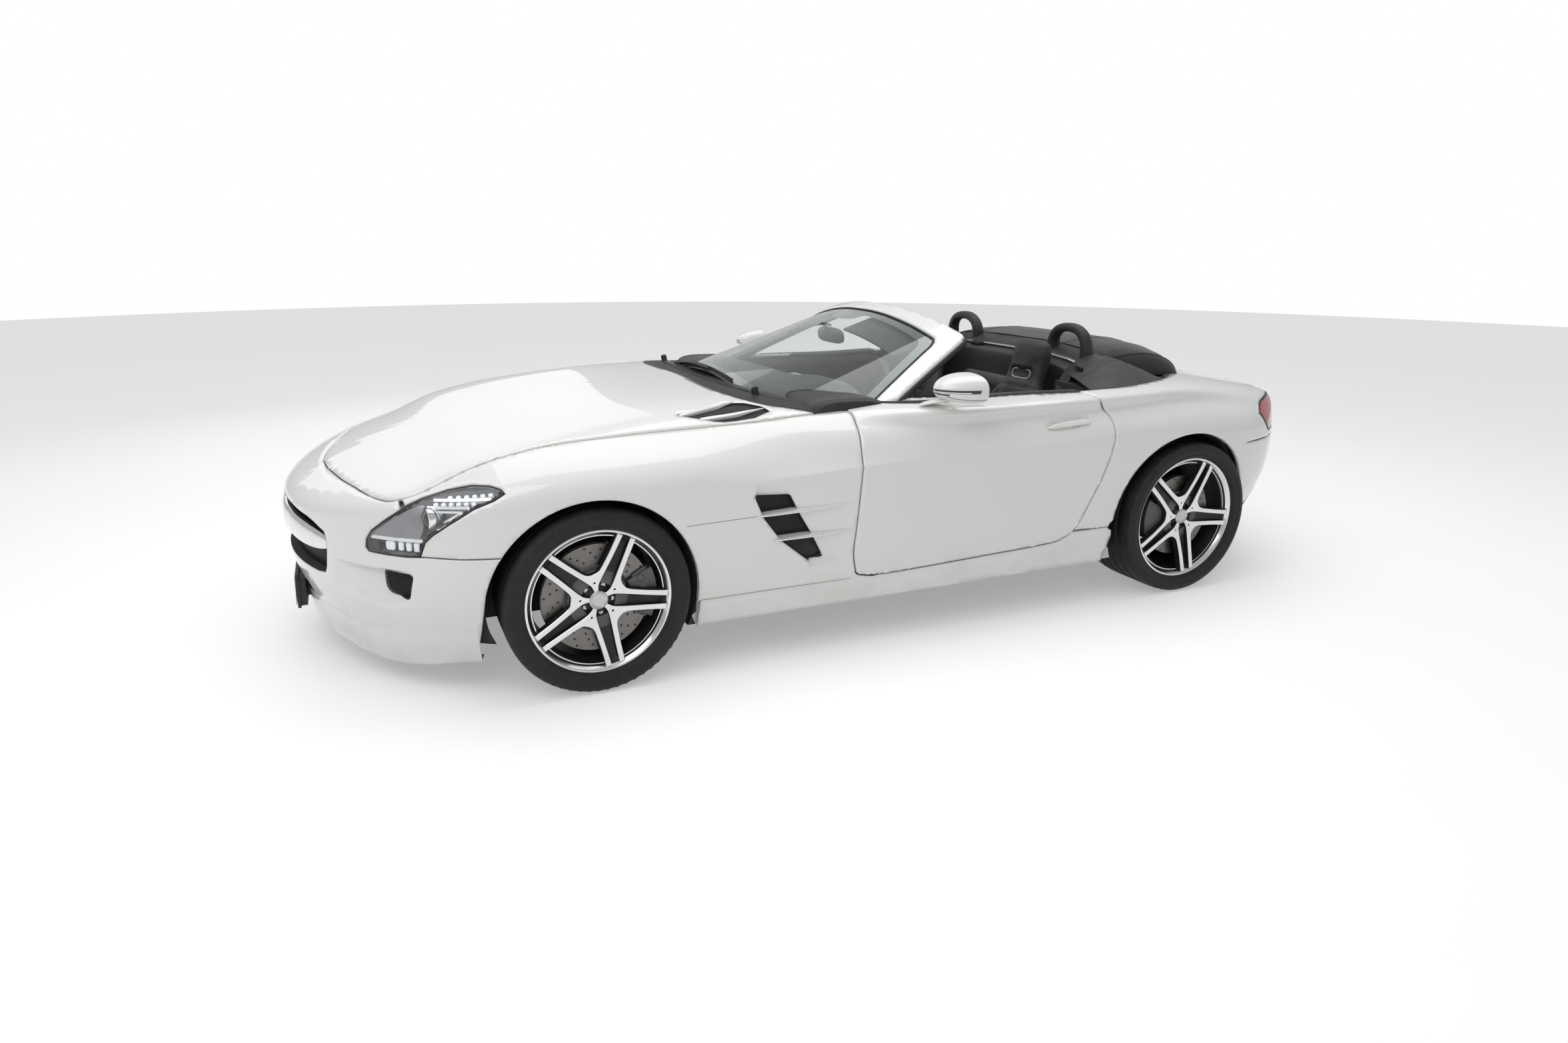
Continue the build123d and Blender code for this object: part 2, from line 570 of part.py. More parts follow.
with BuildPart() as vent_blades:
    for side in (1, -1):
        for points in VENT_BLADES:
            x0, x1 = sorted((side * 922.3, side * 964))
            side_prism(points, x0, x1)
keep(vent_blades.part, "vent_blades")

with BuildPart() as steering_wheel:
    with BuildSketch(column_plane(0)) as boss:
        Circle(52)
    extrude(boss.sketch, amount=42)
    with BuildSketch(column_plane(14)) as arms:
        for angle in (0, 180, 270):
            with Locations(Location((0, 0, 0), (0, 0, angle))):
                with Locations((110, 0)):
                    Rectangle(150, 34)
    extrude(arms.sketch, amount=12)
    with BuildSketch(Plane(column_plane(20).origin, x_dir=column_plane(20).z_dir, z_dir=(1, 0, 0))) as rim_section:
        with Locations((0, 178)):
            Circle(14)
    revolve(rim_section.sketch, axis=Axis(column_plane(20).origin, column_plane(20).z_dir))
keep(steering_wheel.part, "steering_wheel")


def mirror(side):
    with BuildPart() as head:
        with BuildSketch(Plane.XZ.offset(15)) as back:
            with Locations((side * 962, 988)):
                RectangleRounded(100, 92, 30)
        with BuildSketch(Plane.XZ.offset(-60)) as middle:
            with Locations((side * 962, 988)):
                RectangleRounded(150, 128, 45)
        with BuildSketch(Plane.XZ.offset(-165)) as face:
            with Locations((side * 962, 988)):
                RectangleRounded(154, 132, 45)
        loft(sections=[back.sketch, middle.sketch, face.sketch], ruled=True)
        x0, x1 = sorted((side * 831, side * 872))
        slab(x0, x1, -40, 60, 926.3, 950)
        x0, x1 = sorted((side * 850, side * 930))
        slab(x0, x1, -10, 45, 927, 965)
    return head.part


keep(mirror(1), "mirror_l")
keep(mirror(-1), "mirror_r")

# wheel table: name, side, axle y, track x, tyre radius, tyre half width, rim radius, rim face, disc radius
WHEELS = (
    ("fl", 1, FRONT_AXLE_Y, 841, FRONT_TYRE_RADIUS, 132.5, 258, 114, 195),
    ("fr", -1, FRONT_AXLE_Y, 841, FRONT_TYRE_RADIUS, 132.5, 258, 114, 195),
    ("rl", 1, REAR_AXLE_Y, 826.5, REAR_TYRE_RADIUS, 147.5, 271, 128, 180),
    ("rr", -1, REAR_AXLE_Y, 826.5, REAR_TYRE_RADIUS, 147.5, 271, 128, 180),
)


def spun(points, side, y, x, z):
    """Solid of revolution about the wheel axle; points are (outboard, radius)."""
    with BuildSketch(Plane(origin=(side * x, y, z), x_dir=(side, 0, 0), z_dir=(0, -side, 0))) as half:
        with BuildLine():
            Polyline(*points, close=True)
        make_face()
    return revolve(half.sketch, axis=Axis((0, y, z), (1, 0, 0)))


for name, side, y, x, radius, half, rim, face, disc in WHEELS:
    with BuildPart() as tyre:
        spun(
            (
                (-face + 8.3, rim - 14.7), (face - 8.3, rim - 14.7), (face - 8.3, rim), (half - 6, rim + 8), (half, rim + 32),
                (half - 3, radius - 22), (half - 12, radius - 7), (half - 34, radius), (-half + 34, radius), (-half + 12, radius - 7),
                (-half + 3, radius - 22), (-half, rim + 32), (-half + 6, rim + 8), (-face + 8.3, rim),
            ),
            side, y, x, radius,
        )
    keep(tyre.part, f"tyre_{name}")

    with BuildPart() as wheel:
        spun(
            (
                (-face, rim - 9), (-face, rim), (-face + 8, rim), (-face + 8, rim - 15), (face - 8, rim - 15), (face - 8, rim), (face, rim),
                (face, rim - 9), (face - 14, rim - 24), (face - 31, rim - 32), (-face + 16, rim - 32),
            ),
            side, y, x, radius,
        )
        spun(((face - 55, 24 + FIT), (face - 55, 62), (face - 30, 66), (face - 16, 60), (face - 14, 34), (face - 14, 0), (face - 24, 0), (face - 24, 24 + FIT)), side, y, x, radius)
        # brake disc and hat
        spun(((face - 79, 118), (face - 79, disc), (face - 51, disc), (face - 51, 60), (face - 58, 60), (face - 58, 118)), side, y, x, radius)
        spoke_plane = Plane(origin=(side * (x + face - 31), y, radius), x_dir=(0, 1, 0), z_dir=(side, 0, 0))
        with BuildSketch(spoke_plane) as spokes:
            for k in range(SPOKE_PAIRS):
                with Locations(Location((0, 0, 0), (0, 0, 90 + 360 / SPOKE_PAIRS * k))):
                    with Locations(((rim - 24) / 2 + 20, SPOKE_SPREAD), ((rim - 24) / 2 + 20, -SPOKE_SPREAD)):
                        Rectangle(rim - 66, SPOKE_WIDTH)
        extrude(spokes.sketch, amount=24)
    keep(wheel.part, f"rim_{name}")


def carrier(side, y, x, z, face, disc, toward, post):
    with BuildPart() as body:
        plane = Plane(origin=(side * (x + face - 100), y, z), x_dir=(0, toward, 0), z_dir=(side, 0, 0))
        with BuildSketch(plane) as saddle:
            Circle(disc + 20)
            Circle(disc - 75, mode=Mode.SUBTRACT)
            with BuildLine(mode=Mode.PRIVATE) as wedge:
                Polyline((0, 0), (400, -190), (400, 190), close=True)
            make_face(wedge.edges(), mode=Mode.INTERSECT)
        extrude(saddle.sketch, amount=63)
        x0, x1 = sorted((side * (x + face - 84), side * (x + face - 46)))
        wheel_drum(x0, x1, y, z, disc + 5)
        # hub carrier, stub axle and the bracket to the caliper
        x0, x1 = sorted((side * (x + face - 94 - 40), side * (x + face - 94)))
        wheel_drum(x0, x1, y, z, 60, Mode.ADD)
        x0, x1 = sorted((side * (x + face - 96), side * (x + face - 24 - FIT)))
        wheel_drum(x0, x1, y, z, 24, Mode.ADD)
        x0, x1 = sorted((side * (x + face - 112), side * (x + face - 94)))
        y0, y1 = sorted((y, y + toward * (disc - 40)))
        slab(x0, x1, y0, y1, z - 40, z + 40)
        if post:
            with Locations((side * x, y, z)):
                Cylinder(18, 324)
    return body.part


for side, tag in ((1, "l"), (-1, "r")):
    keep(carrier(side, FRONT_AXLE_Y, STEER_AXIS_X, FRONT_TYRE_RADIUS, 114, 195, 1, True), f"knuckle_f{tag}")

with BuildPart() as front_suspension:
    for side in (1, -1):
        for z in (FRONT_TYRE_RADIUS - 150, FRONT_TYRE_RADIUS + 150):
            x0, x1 = sorted((side * (BAY_HALF_WIDTH), side * STEER_AXIS_X))
            slab(x0, x1, FRONT_AXLE_Y - 22, FRONT_AXLE_Y + 22, z - 11, z + 11)
            with Locations((side * STEER_AXIS_X, FRONT_AXLE_Y, z)):
                Cylinder(28, 22)
                Cylinder(18 + FIT, 30, mode=Mode.SUBTRACT)
        with Locations((side * 610, FRONT_AXLE_Y, FRONT_TYRE_RADIUS)):
            Cylinder(28, 310)
keep(front_suspension.part, "front_suspension")

rear_carriers = [carrier(side, REAR_AXLE_Y, 826.5, REAR_TYRE_RADIUS, 128, 180, -1, False) for side in (1, -1)]

with BuildPart() as rear_suspension:
    for part in rear_carriers:
        add(part)
    slab(-825, 825, REAR_AXLE_Y - 35, REAR_AXLE_Y + 35, 305, 380)
    for x in (-420, 420):
        slab(x - 30, x + 30, REAR_AXLE_Y - 35, REAR_AXLE_Y + 35, 379, BOOT_FLOOR_Z - 30 - FIT)
keep(rear_suspension.part, "rear_suspension")
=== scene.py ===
"""Roadster convertible: the looks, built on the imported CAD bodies. All pieces are in metres in the
car's own frame (nose at -Y, left at +X)."""
import math
import bmesh
import bpy
import numpy as np
from mathutils import Matrix, Vector
from mathutils.geometry import delaunay_2d_cdt


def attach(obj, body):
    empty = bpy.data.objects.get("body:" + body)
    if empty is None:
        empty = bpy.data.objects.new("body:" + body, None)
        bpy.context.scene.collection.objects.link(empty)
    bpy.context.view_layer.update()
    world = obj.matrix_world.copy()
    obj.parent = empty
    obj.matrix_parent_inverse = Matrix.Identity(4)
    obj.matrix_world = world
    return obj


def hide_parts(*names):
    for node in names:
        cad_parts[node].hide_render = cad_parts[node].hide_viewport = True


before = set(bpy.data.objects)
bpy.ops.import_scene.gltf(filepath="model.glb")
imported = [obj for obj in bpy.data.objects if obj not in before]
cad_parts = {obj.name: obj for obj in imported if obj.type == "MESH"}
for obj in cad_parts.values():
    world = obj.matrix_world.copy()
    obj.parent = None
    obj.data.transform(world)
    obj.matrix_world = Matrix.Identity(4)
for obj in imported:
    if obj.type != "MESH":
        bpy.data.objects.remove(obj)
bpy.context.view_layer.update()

# ---------------------------------------------------------------- body surface
# y, sill z, sill x, flank x, widest x, widest z, shoulder x, shoulder z, crest x, crest z, crown z (mm)
SECTIONS = np.array((
    (-2340, 150, 700, 780, 820, 430, 770, 545, 500, 598, 616),
    (-2160, 150, 760, 850, 900, 450, 838, 605, 560, 672, 704),
    (-2000, 152, 820, 895, 930, 490, 856, 660, 580, 733, 762),
    (-1850, 158, 870, 925, 945, 550, 852, 718, 590, 778, 806),
    (-1700, 164, 895, 940, 958, 615, 850, 782, 600, 838, 852),
    (-1500, 168, 905, 948, 968, 662, 846, 832, 600, 885, 900),
    (-1200, 170, 915, 952, 969.5, 690, 836, 856, 600, 925, 938),
    (-900, 172, 920, 950, 960, 700, 830, 866, 600, 946, 960),
    (-600, 174, 922, 945, 956, 708, 836, 870, 610, 950, 968),
    (-300, 176, 925, 945, 957, 722, 880, 858, 700, 928, 972),
    (0, 178, 928, 947, 960, 730, 915, 845, 850, 925, 965),
    (500, 182, 930, 948, 961, 733, 915, 845, 850, 922, 960),
    (1000, 186, 928, 948, 965, 738, 915, 850, 840, 930, 960),
    (1370, 200, 920, 948, 969.5, 715, 905, 850, 800, 932, 958),
    (1700, 235, 890, 925, 953, 690, 893, 815, 740, 905, 930),
    (2000, 270, 850, 890, 915, 670, 868, 775, 680, 860, 884),
    (2340, 300, 780, 820, 840, 650, 800, 735, 620, 800, 822),
)) / 1000.0
MID_Z = 0.50          # height of the line that the sections are measured round
NOSE_Y, TAIL_Y = -2.319, 2.319
EDGE_ROUND = 0.05     # how softly the nose and tail faces turn into the top and flanks


def hermite(table_y, table_v, y):
    """Smooth curve through the table: cubic Hermite pieces whose slopes are the weighted mean of the
    two neighbouring chords."""
    h = np.diff(table_y)
    chord = np.diff(table_v, axis=0) / h[:, None]
    slope = np.empty_like(table_v)
    slope[1:-1] = (chord[:-1] * h[1:, None] + chord[1:] * h[:-1, None]) / (h[:-1] + h[1:])[:, None]
    slope[0], slope[-1] = chord[0], chord[-1]
    k = np.clip(np.searchsorted(table_y, y) - 1, 0, len(h) - 1)
    t = ((y - table_y[k]) / h[k])[:, None]
    hk = h[k][:, None]
    return ((1 + 2 * t) * (1 - t) ** 2 * table_v[k] + t * (1 - t) ** 2 * hk * slope[k]
            + t * t * (3 - 2 * t) * table_v[k + 1] + t * t * (t - 1) * hk * slope[k + 1])


GRID_Y = np.linspace(-2.36, 2.36, 473)
GRID_A = np.radians(np.linspace(-42, 90, 529))   # angle up from the horizontal, round the mid line
STATION = hermite(SECTIONS[:, 0], SECTIONS[:, 1:], GRID_Y)
CREASE = np.interp(GRID_Y, (-0.95, -0.50, 0.55, 1.15),
    (0.0, 1.0, 0.85, 0.0))   # how sharp the door crease is along the car


def half_section(row, crease, n=60):
    """Half a section as points: a parabola from sill by flank to widest, then Hermite pieces
    widest-shoulder-crest-crown, level at the crown; crease 1 breaks the slope at the widest point,
    0 leaves it smooth."""
    sill_z, sill_x, flank_x, wide_x, wide_z, knee_x, knee_z, crest_x, crest_z, crown_z = row
    t = np.linspace(0, 1, n)
    low = np.c_[sill_x * (1 - t) * (1 - 2 * t) + flank_x * 4 * t * (1 - t) + wide_x * t * (2 * t - 1),
        sill_z + (wide_z - sill_z) * t]
    p = np.array(((wide_x, wide_z), (knee_x, knee_z), (crest_x, crest_z), (0, crown_z)))
    m = np.array(((p[1] - p[0]) * 1.15, (p[2] - p[0]) / 2, ((0 - knee_x) / 2, (crown_z - knee_z) / 2),
        (-crest_x * 1.0, 0.0)))
    m[2] = m[2] * 0.9
    low_end = np.array((sill_x - 4 * flank_x + 3 * wide_x, wide_z - sill_z))
    low_end = low_end / np.linalg.norm(low_end) * np.linalg.norm(p[1] - p[0]) * 1.25
    m[0] = m[0] * crease + low_end * (1 - crease)
    t = t[:, None]
    up = [(1 + 2 * t) * (1 - t) ** 2 * p[i] + t * (1 - t) ** 2 * m[i] + t * t * (3 - 2 * t) * p[i + 1]
        + t * t * (t - 1) * m[i + 1] for i in range(3)]
    return np.concatenate([low, *up])


def radius_rows():
    """Radius of every section round the mid line, read at even angles."""
    rows = []
    for row, crease in zip(STATION, CREASE):
        pts = half_section(row, crease)
        ang = np.unwrap(np.arctan2(pts[:, 1] - MID_Z, pts[:, 0]))
        rad = np.hypot(pts[:, 0], pts[:, 1] - MID_Z)
        order = np.argsort(ang)
        rows.append(np.interp(GRID_A, ang[order], rad[order]))
    return np.array(rows)


RADIUS = radius_rows()
RADIUS_DY = np.gradient(RADIUS, GRID_Y, axis=0)
RADIUS_DA = np.gradient(RADIUS, GRID_A, axis=1)
SILL_Z = STATION[:, 0]
CREASE_Z = STATION[:, 4]


def grid_read(table, y, a):
    """Bilinear reading of a (y, angle) table."""
    i = np.clip((y - GRID_Y[0]) / (GRID_Y[1] - GRID_Y[0]), 0, len(GRID_Y) - 1.001)
    j = np.clip((a - GRID_A[0]) / (GRID_A[1] - GRID_A[0]), 0, len(GRID_A) - 1.001)
    i0, j0 = i.astype(int), j.astype(int)
    fi, fj = i - i0, j - j0
    return ((table[i0, j0] * (1 - fi) + table[i0 + 1, j0] * fi) * (1 - fj)
            + (table[i0, j0 + 1] * (1 - fi) + table[i0 + 1, j0 + 1] * fi) * fj)


def arc_points(a, b, c, n=40):
    """Circle arc from a by b to c in the plane."""
    a, b, c = (np.array(p, float) for p in (a, b, c))
    d = 2 * (a[0] * (b[1] - c[1]) + b[0] * (c[1] - a[1]) + c[0] * (a[1] - b[1]))
    ux = ((a @ a) * (b[1] - c[1]) + (b @ b) * (c[1] - a[1]) + (c @ c) * (a[1] - b[1])) / d
    uy = ((a @ a) * (c[0] - b[0]) + (b @ b) * (a[0] - c[0]) + (c @ c) * (b[0] - a[0])) / d
    o = np.array((ux, uy))
    t0, t1, t2 = (math.atan2(*(p - o)[::-1]) for p in (a, b, c))
    while t1 < t0 - math.pi:
        t1 += 2 * math.pi
    while t1 > t0 + math.pi:
        t1 -= 2 * math.pi
    while t2 < t1 - math.pi:
        t2 += 2 * math.pi
    while t2 > t1 + math.pi:
        t2 -= 2 * math.pi
    t = np.linspace(t0, t2, n)
    return o + np.hypot(*(a - o)) * np.c_[np.cos(t), np.sin(t)]


# plan outline round two centres, as radius by angle from straight ahead or straight back
PLAN_FRONT = np.concatenate([arc_points((0, -2.319), (0.36, -2.2565), (0.70, -2.06)),
    arc_points((0.70, -2.06), (0.88, -1.84), (0.985, -1.45)), [(0.99, -1.2)]])
PLAN_REAR = np.concatenate([arc_points((0, 2.319), (0.38, 2.265), (0.74, 2.11)),
    arc_points((0.74, 2.11), (0.905, 1.87), (0.985, 1.50)), [(0.99, 1.2)]])


def plan_table(points, centre):
    ang = np.arctan2(points[:, 0], np.abs(points[:, 1] - centre))
    rad = np.hypot(points[:, 0], points[:, 1] - centre)
    order = np.argsort(ang)
    a = np.linspace(0, math.pi / 2, 400)
    r = np.interp(a, ang[order], rad[order])
    k = np.exp(-np.linspace(-2, 2, 25) ** 2)
    k /= k.sum()
    r = np.convolve(np.pad(r, 12, mode="reflect"), k, mode="valid")
    return a, r, np.gradient(r, a)


PLAN = {-1: (-1.2, *plan_table(PLAN_FRONT, -1.2)), 1: (1.2, *plan_table(PLAN_REAR, 1.2))}
# how far the nose and tail faces stand back from the plan outline at each height
TUCK_Z = np.linspace(0.05, 1.1, 211)
TUCK = {end: np.convolve(np.pad(np.interp(TUCK_Z, *np.array(rows).T), 8, mode="edge"), np.ones(17) / 17,
    mode="valid") for end, rows in {
    -1: ((0.05, 0.13), (0.15, 0.095), (0.20, 0.066), (0.26, 0.040), (0.33, 0.018), (0.42, 0.002),
    (0.50, 0.0), (1.1, 0.0)),
    1: ((0.05, 0.16), (0.30, 0.075), (0.40, 0.035), (0.50, 0.008), (0.60, 0.0), (0.70, 0.004),
    (0.80, 0.022), (0.90, 0.06), (1.1, 0.10))}.items()}
TUCK_DZ = {end: np.gradient(t, TUCK_Z) for end, t in TUCK.items()}


def body_field(p, edge=EDGE_ROUND):
    """Signed measure of the body and its outward direction: radius minus section radius, joined by a
    smooth maximum with plan radius minus plan outline."""
    x, y, z = p[:, 0], p[:, 1], p[:, 2]
    ax, sx = np.abs(x), np.where(x < 0, -1.0, 1.0)
    r = np.hypot(ax, z - MID_Z) + 1e-9
    a = np.arctan2(z - MID_Z, ax)
    f1 = r - grid_read(RADIUS, y, a)
    ra, ry = grid_read(RADIUS_DA, y, a) / r, grid_read(RADIUS_DY, y, a)
    ca, sa = ax / r, (z - MID_Z) / r
    g1 = np.c_[sx * (ca + ra * sa), -ry, sa - ra * ca]
    n1 = np.linalg.norm(g1, axis=1) + 1e-9
    f1, g1 = f1 / n1, g1 / n1[:, None]
    f2, g2 = np.full(len(p), -1.0), np.zeros_like(p)
    for end, (centre, ta, tr, td) in PLAN.items():
        m = (y - centre) * end > 0
        if not m.any():
            continue
        dy = np.abs(y[m] - centre)
        pr = np.hypot(ax[m], dy) + 1e-9
        pa = np.arctan2(ax[m], dy)
        rr, rd = np.interp(pa, ta, tr), np.interp(pa, ta, td) / pr
        s, c = ax[m] / pr, dy / pr
        g = np.c_[sx[m] * (s - rd * c), end * (c + rd * s), np.interp(z[m], TUCK_Z, TUCK_DZ[end])]
        n = np.linalg.norm(g, axis=1)
        f2[m], g2[m] = (pr - rr + np.interp(z[m], TUCK_Z, TUCK[end])) / n, g / n[:, None]
    h = np.clip(0.5 + 0.5 * (f1 - f2) / edge, 0, 1)
    f = f2 + (f1 - f2) * h + edge * h * (1 - h) * 0.5
    g = g1 * h[:, None] + g2 * (1 - h)[:, None]
    return f, g / (np.linalg.norm(g, axis=1)[:, None] + 1e-9)


def cast(origin, direction, far=1.6, steps=34):
    """Where rays from inside leave the body: halving of the interval along each ray."""
    lo, hi = np.zeros(len(origin)), np.full(len(origin), far)
    for _ in range(steps):
        mid = (lo + hi) / 2
        out = body_field(origin + direction * mid[:, None])[0] > 0
        hi, lo = np.where(out, mid, hi), np.where(out, lo, mid)
    return origin + direction * lo[:, None]


def from_above(uv):
    """Chart (x, y): rays straight up."""
    n = len(uv)
    return cast(np.c_[uv, np.full(n, 0.45)], np.tile((0, 0, 1.0), (n, 1)))


def from_side(side):
    """Chart (y, z): rays straight out to one side."""
    def chart(uv):
        n = len(uv)
        return cast(np.c_[np.zeros(n), uv], np.tile((side, 0, 0.0), (n, 1)))
    return chart


def round_end(end, centre):
    """Chart (angle, z): level rays fanned about an upright line, angle 0 straight out over the end."""
    def chart(uv):
        n = len(uv)
        return cast(np.c_[np.zeros(n), np.full(n, centre), uv[:, 1]],
            np.c_[np.sin(uv[:, 0]), end * np.cos(uv[:, 0]), np.zeros(n)], far=2.2)
    return chart


def round_side(pivot_x=0.0, pivot_z=0.45):
    """Chart (y, angle): rays square to the car's length, fanned up from a low line, angle 0 level to
    the left."""
    def chart(uv):
        n = len(uv)
        return cast(np.c_[np.full(n, pivot_x), uv[:, 0], np.full(n, pivot_z)],
            np.c_[np.cos(uv[:, 1]), np.zeros(n), np.sin(uv[:, 1])])
    return chart


def inside(poly, pts):
    """Even-odd test of points against a closed outline."""
    a, b = poly, np.roll(poly, -1, axis=0)
    x, y = pts[:, 0][:, None], pts[:, 1][:, None]
    cross = (a[:, 1] > y) != (b[:, 1] > y)
    with np.errstate(divide="ignore", invalid="ignore"):
        xi = (b[:, 0] - a[:, 0]) * (y - a[:, 1]) / (b[:, 1] - a[:, 1]) + a[:, 0]
    return (np.sum(cross & (x < xi), axis=1) % 2) == 1


def resample(poly, step, closed=True):
    """Even points along a polyline, its corners kept."""
    poly = np.asarray(poly, float)
    ends = np.roll(poly, -1, axis=0) if closed else poly[1:]
    out = []
    for a, b in zip(poly if closed else poly[:-1], ends):
        n = max(1, int(round(np.max(np.abs(b - a) / step))))
        out.append(a + (b - a) * np.linspace(0, 1, n, endpoint=False)[:, None])
    if not closed:
        out.append(poly[-1:])
    return np.concatenate(out)


def smooth_loop(points, n=6, closed=True):
    """Catmull-Rom curve through a few points."""
    p = np.asarray(points, float)
    q = np.concatenate([p[-1:], p, p[:2]]) if closed else np.concatenate(
        [2 * p[:1] - p[1:2], p, 2 * p[-1:] - p[-2:-1]])
    t = np.linspace(0, 1, n, endpoint=False)[:, None]
    out = [0.5 * (2 * q[i] + (q[i + 1] - q[i - 1]) * t
        + (2 * q[i - 1] - 5 * q[i] + 4 * q[i + 1] - q[i + 2]) * t ** 2
                  + (3 * q[i] - q[i - 1] - 3 * q[i + 1] + q[i + 2]) * t ** 3) for i in range(1, len(q) - 2)]
    if not closed:
        out.append(p[-1:])
    return np.concatenate(out)


def triangulate(loops, step, extra=None, fine=None):
    """Triangles over a chart: an even grid inside the first loop and outside the others, with every
    loop's points kept as borders."""
    step = np.broadcast_to(np.asarray(step, float), 2)
    loops = [resample(l, step if fine is None else fine) for l in loops]
    outer = loops[0]
    lo, hi = outer.min(0), outer.max(0)
    gx, gy = np.arange(lo[0], hi[0], step[0]), np.arange(lo[1], hi[1], step[1])
    g = np.stack(np.meshgrid(gx, gy, indexing="ij"), -1).reshape(-1, 2)
    if extra is not None:
        g = np.concatenate([g, extra])
        d = np.abs(g[: -len(extra), None, 1] - np.interp(g[: -len(extra), None, 0], extra[:, 0],
            extra[:, 1])) if len(extra) > 1 else None
        keep = np.ones(len(g), bool)
        keep[: -len(extra)] = (d[:, 0] > step[1] * 0.4)
        g = g[keep]
    g = g[inside(outer, g)]
    for hole in loops[1:]:
        g = g[~inside(hole, g)]
    every = np.concatenate(loops)
    near = np.zeros(len(g), bool)
    for k in range(0, len(g), 4000):
        dd = ((g[k:k + 4000, None, :] - every[None]) / step) ** 2
        near[k:k + 4000] = dd.sum(-1).min(1) < 0.3
    g = g[~near]
    verts = np.concatenate([every, g])
    edges, start = [], 0
    for l in loops:
        i = np.arange(len(l)) + start
        edges += np.c_[i, np.roll(i, -1)].tolist()
        start += len(l)
    out = delaunay_2d_cdt(verts.tolist(), edges, [], 1, 1e-7, False)
    v, tri = np.array([tuple(c) for c in out[0]]), np.array(out[2])
    mid = v[tri].mean(1)
    good = np.ones(len(tri), bool)
    for hole in loops[1:]:
        good &= ~inside(hole, mid)
    good &= inside(outer, mid)
    e1, e2 = v[tri[:, 1]] - v[tri[:, 0]], v[tri[:, 2]] - v[tri[:, 0]]
    area = e1[:, 0] * e2[:, 1] - e1[:, 1] * e2[:, 0]
    good &= np.abs(area) > 1e-12
    tri = tri[good]
    tri[area[good] < 0] = tri[area[good] < 0][:, ::-1]
    used = np.unique(tri)
    remap = np.full(len(v), -1)
    remap[used] = np.arange(len(used))
    return v[used], remap[tri]


def new_mesh(name, verts, faces, normals=None, smooth=True):
    mesh = bpy.data.meshes.new(name)
    mesh.from_pydata(np.asarray(verts).tolist(), [],
        [f if isinstance(f, list) else f.tolist() for f in faces] if not isinstance(faces, np.ndarray)
        else faces.tolist())
    mesh.validate()
    mesh.polygons.foreach_set("use_smooth", np.full(len(mesh.polygons), smooth))
    if normals is not None and len(normals) == len(mesh.vertices):
        mesh.normals_split_custom_set_from_vertices(np.asarray(normals).tolist())
    mesh.update()
    obj = bpy.data.objects.new(name, mesh)
    bpy.context.scene.collection.objects.link(obj)
    return obj


def border_edges(tri):
    """Directed edges that only one triangle uses."""
    e = np.concatenate([tri[:, [0, 1]], tri[:, [1, 2]], tri[:, [2, 0]]])
    big = e.max() + 1
    key, back = e[:, 0] * big + e[:, 1], e[:, 1] * big + e[:, 0]
    return e[~np.isin(key, back)]


def ease(x, a, b):
    """0 at a, 1 at b, smooth between."""
    t = np.clip((x - a) / (b - a), 0, 1)
    return t * t * (3 - 2 * t)


def dent(p):
    """How far the painted skin is pressed in below the plain body surface: the scoops that lead into
    the side intakes, the hollow behind each wing vent, and the bowl under each door handle."""
    x, y, z = np.abs(p[:, 0]), p[:, 1], p[:, 2]
    low = np.interp(x, (0.52, 0.60, 0.668, 0.744, 0.80, 0.84), (0.335, 0.345, 0.352, 0.340, 0.345, 0.36))
    scoop = 0.030 * ease(x, 0.545, 0.757) * (1 - ease(x, 0.762, 0.836)) * ease(z, low,
        low + 0.05) * (1 - ease(z, 0.470, 0.4785))
    scoop = scoop * (y < -1.7)
    s = y - np.interp(z, (0.38, 0.474, 0.565, 0.649), (-0.507, -0.623, -0.694, -0.733))
    vent = 0.0255 * ease(s, 0.0, 0.016) * np.clip(1 - s / 0.36, 0, 1) ** 2 * ease(z, 0.335,
        0.40) * (1 - ease(z, 0.640, 0.708)) * (y < -0.3) * (y > -0.80) * (x > 0.7)
    q = ((y - 0.672) / 0.125) ** 2 + ((z - 0.818 - 0.10 * (y - 0.67)) / 0.030) ** 2
    bowl = 0.0112 * (1 - ease(q, 0.15, 1.0)) * (x > 0.8)
    return scoop + vent + bowl


def dented(p, n):
    """Surface points and normals with the dents pressed in; the normal leans by the dent's own slope,
    found by small differences."""
    d = dent(p)
    if not (d > 1e-6).any():
        return p, n
    e = 0.0012
    slope = np.stack([(dent(p + np.eye(3)[i] * e) - dent(p - np.eye(3)[i] * e)) / (2 * e)
        for i in range(3)], 1)
    slope -= n * (slope * n).sum(1)[:, None]
    m = n + slope
    return p - n * d[:, None], m / np.linalg.norm(m, axis=1)[:, None]


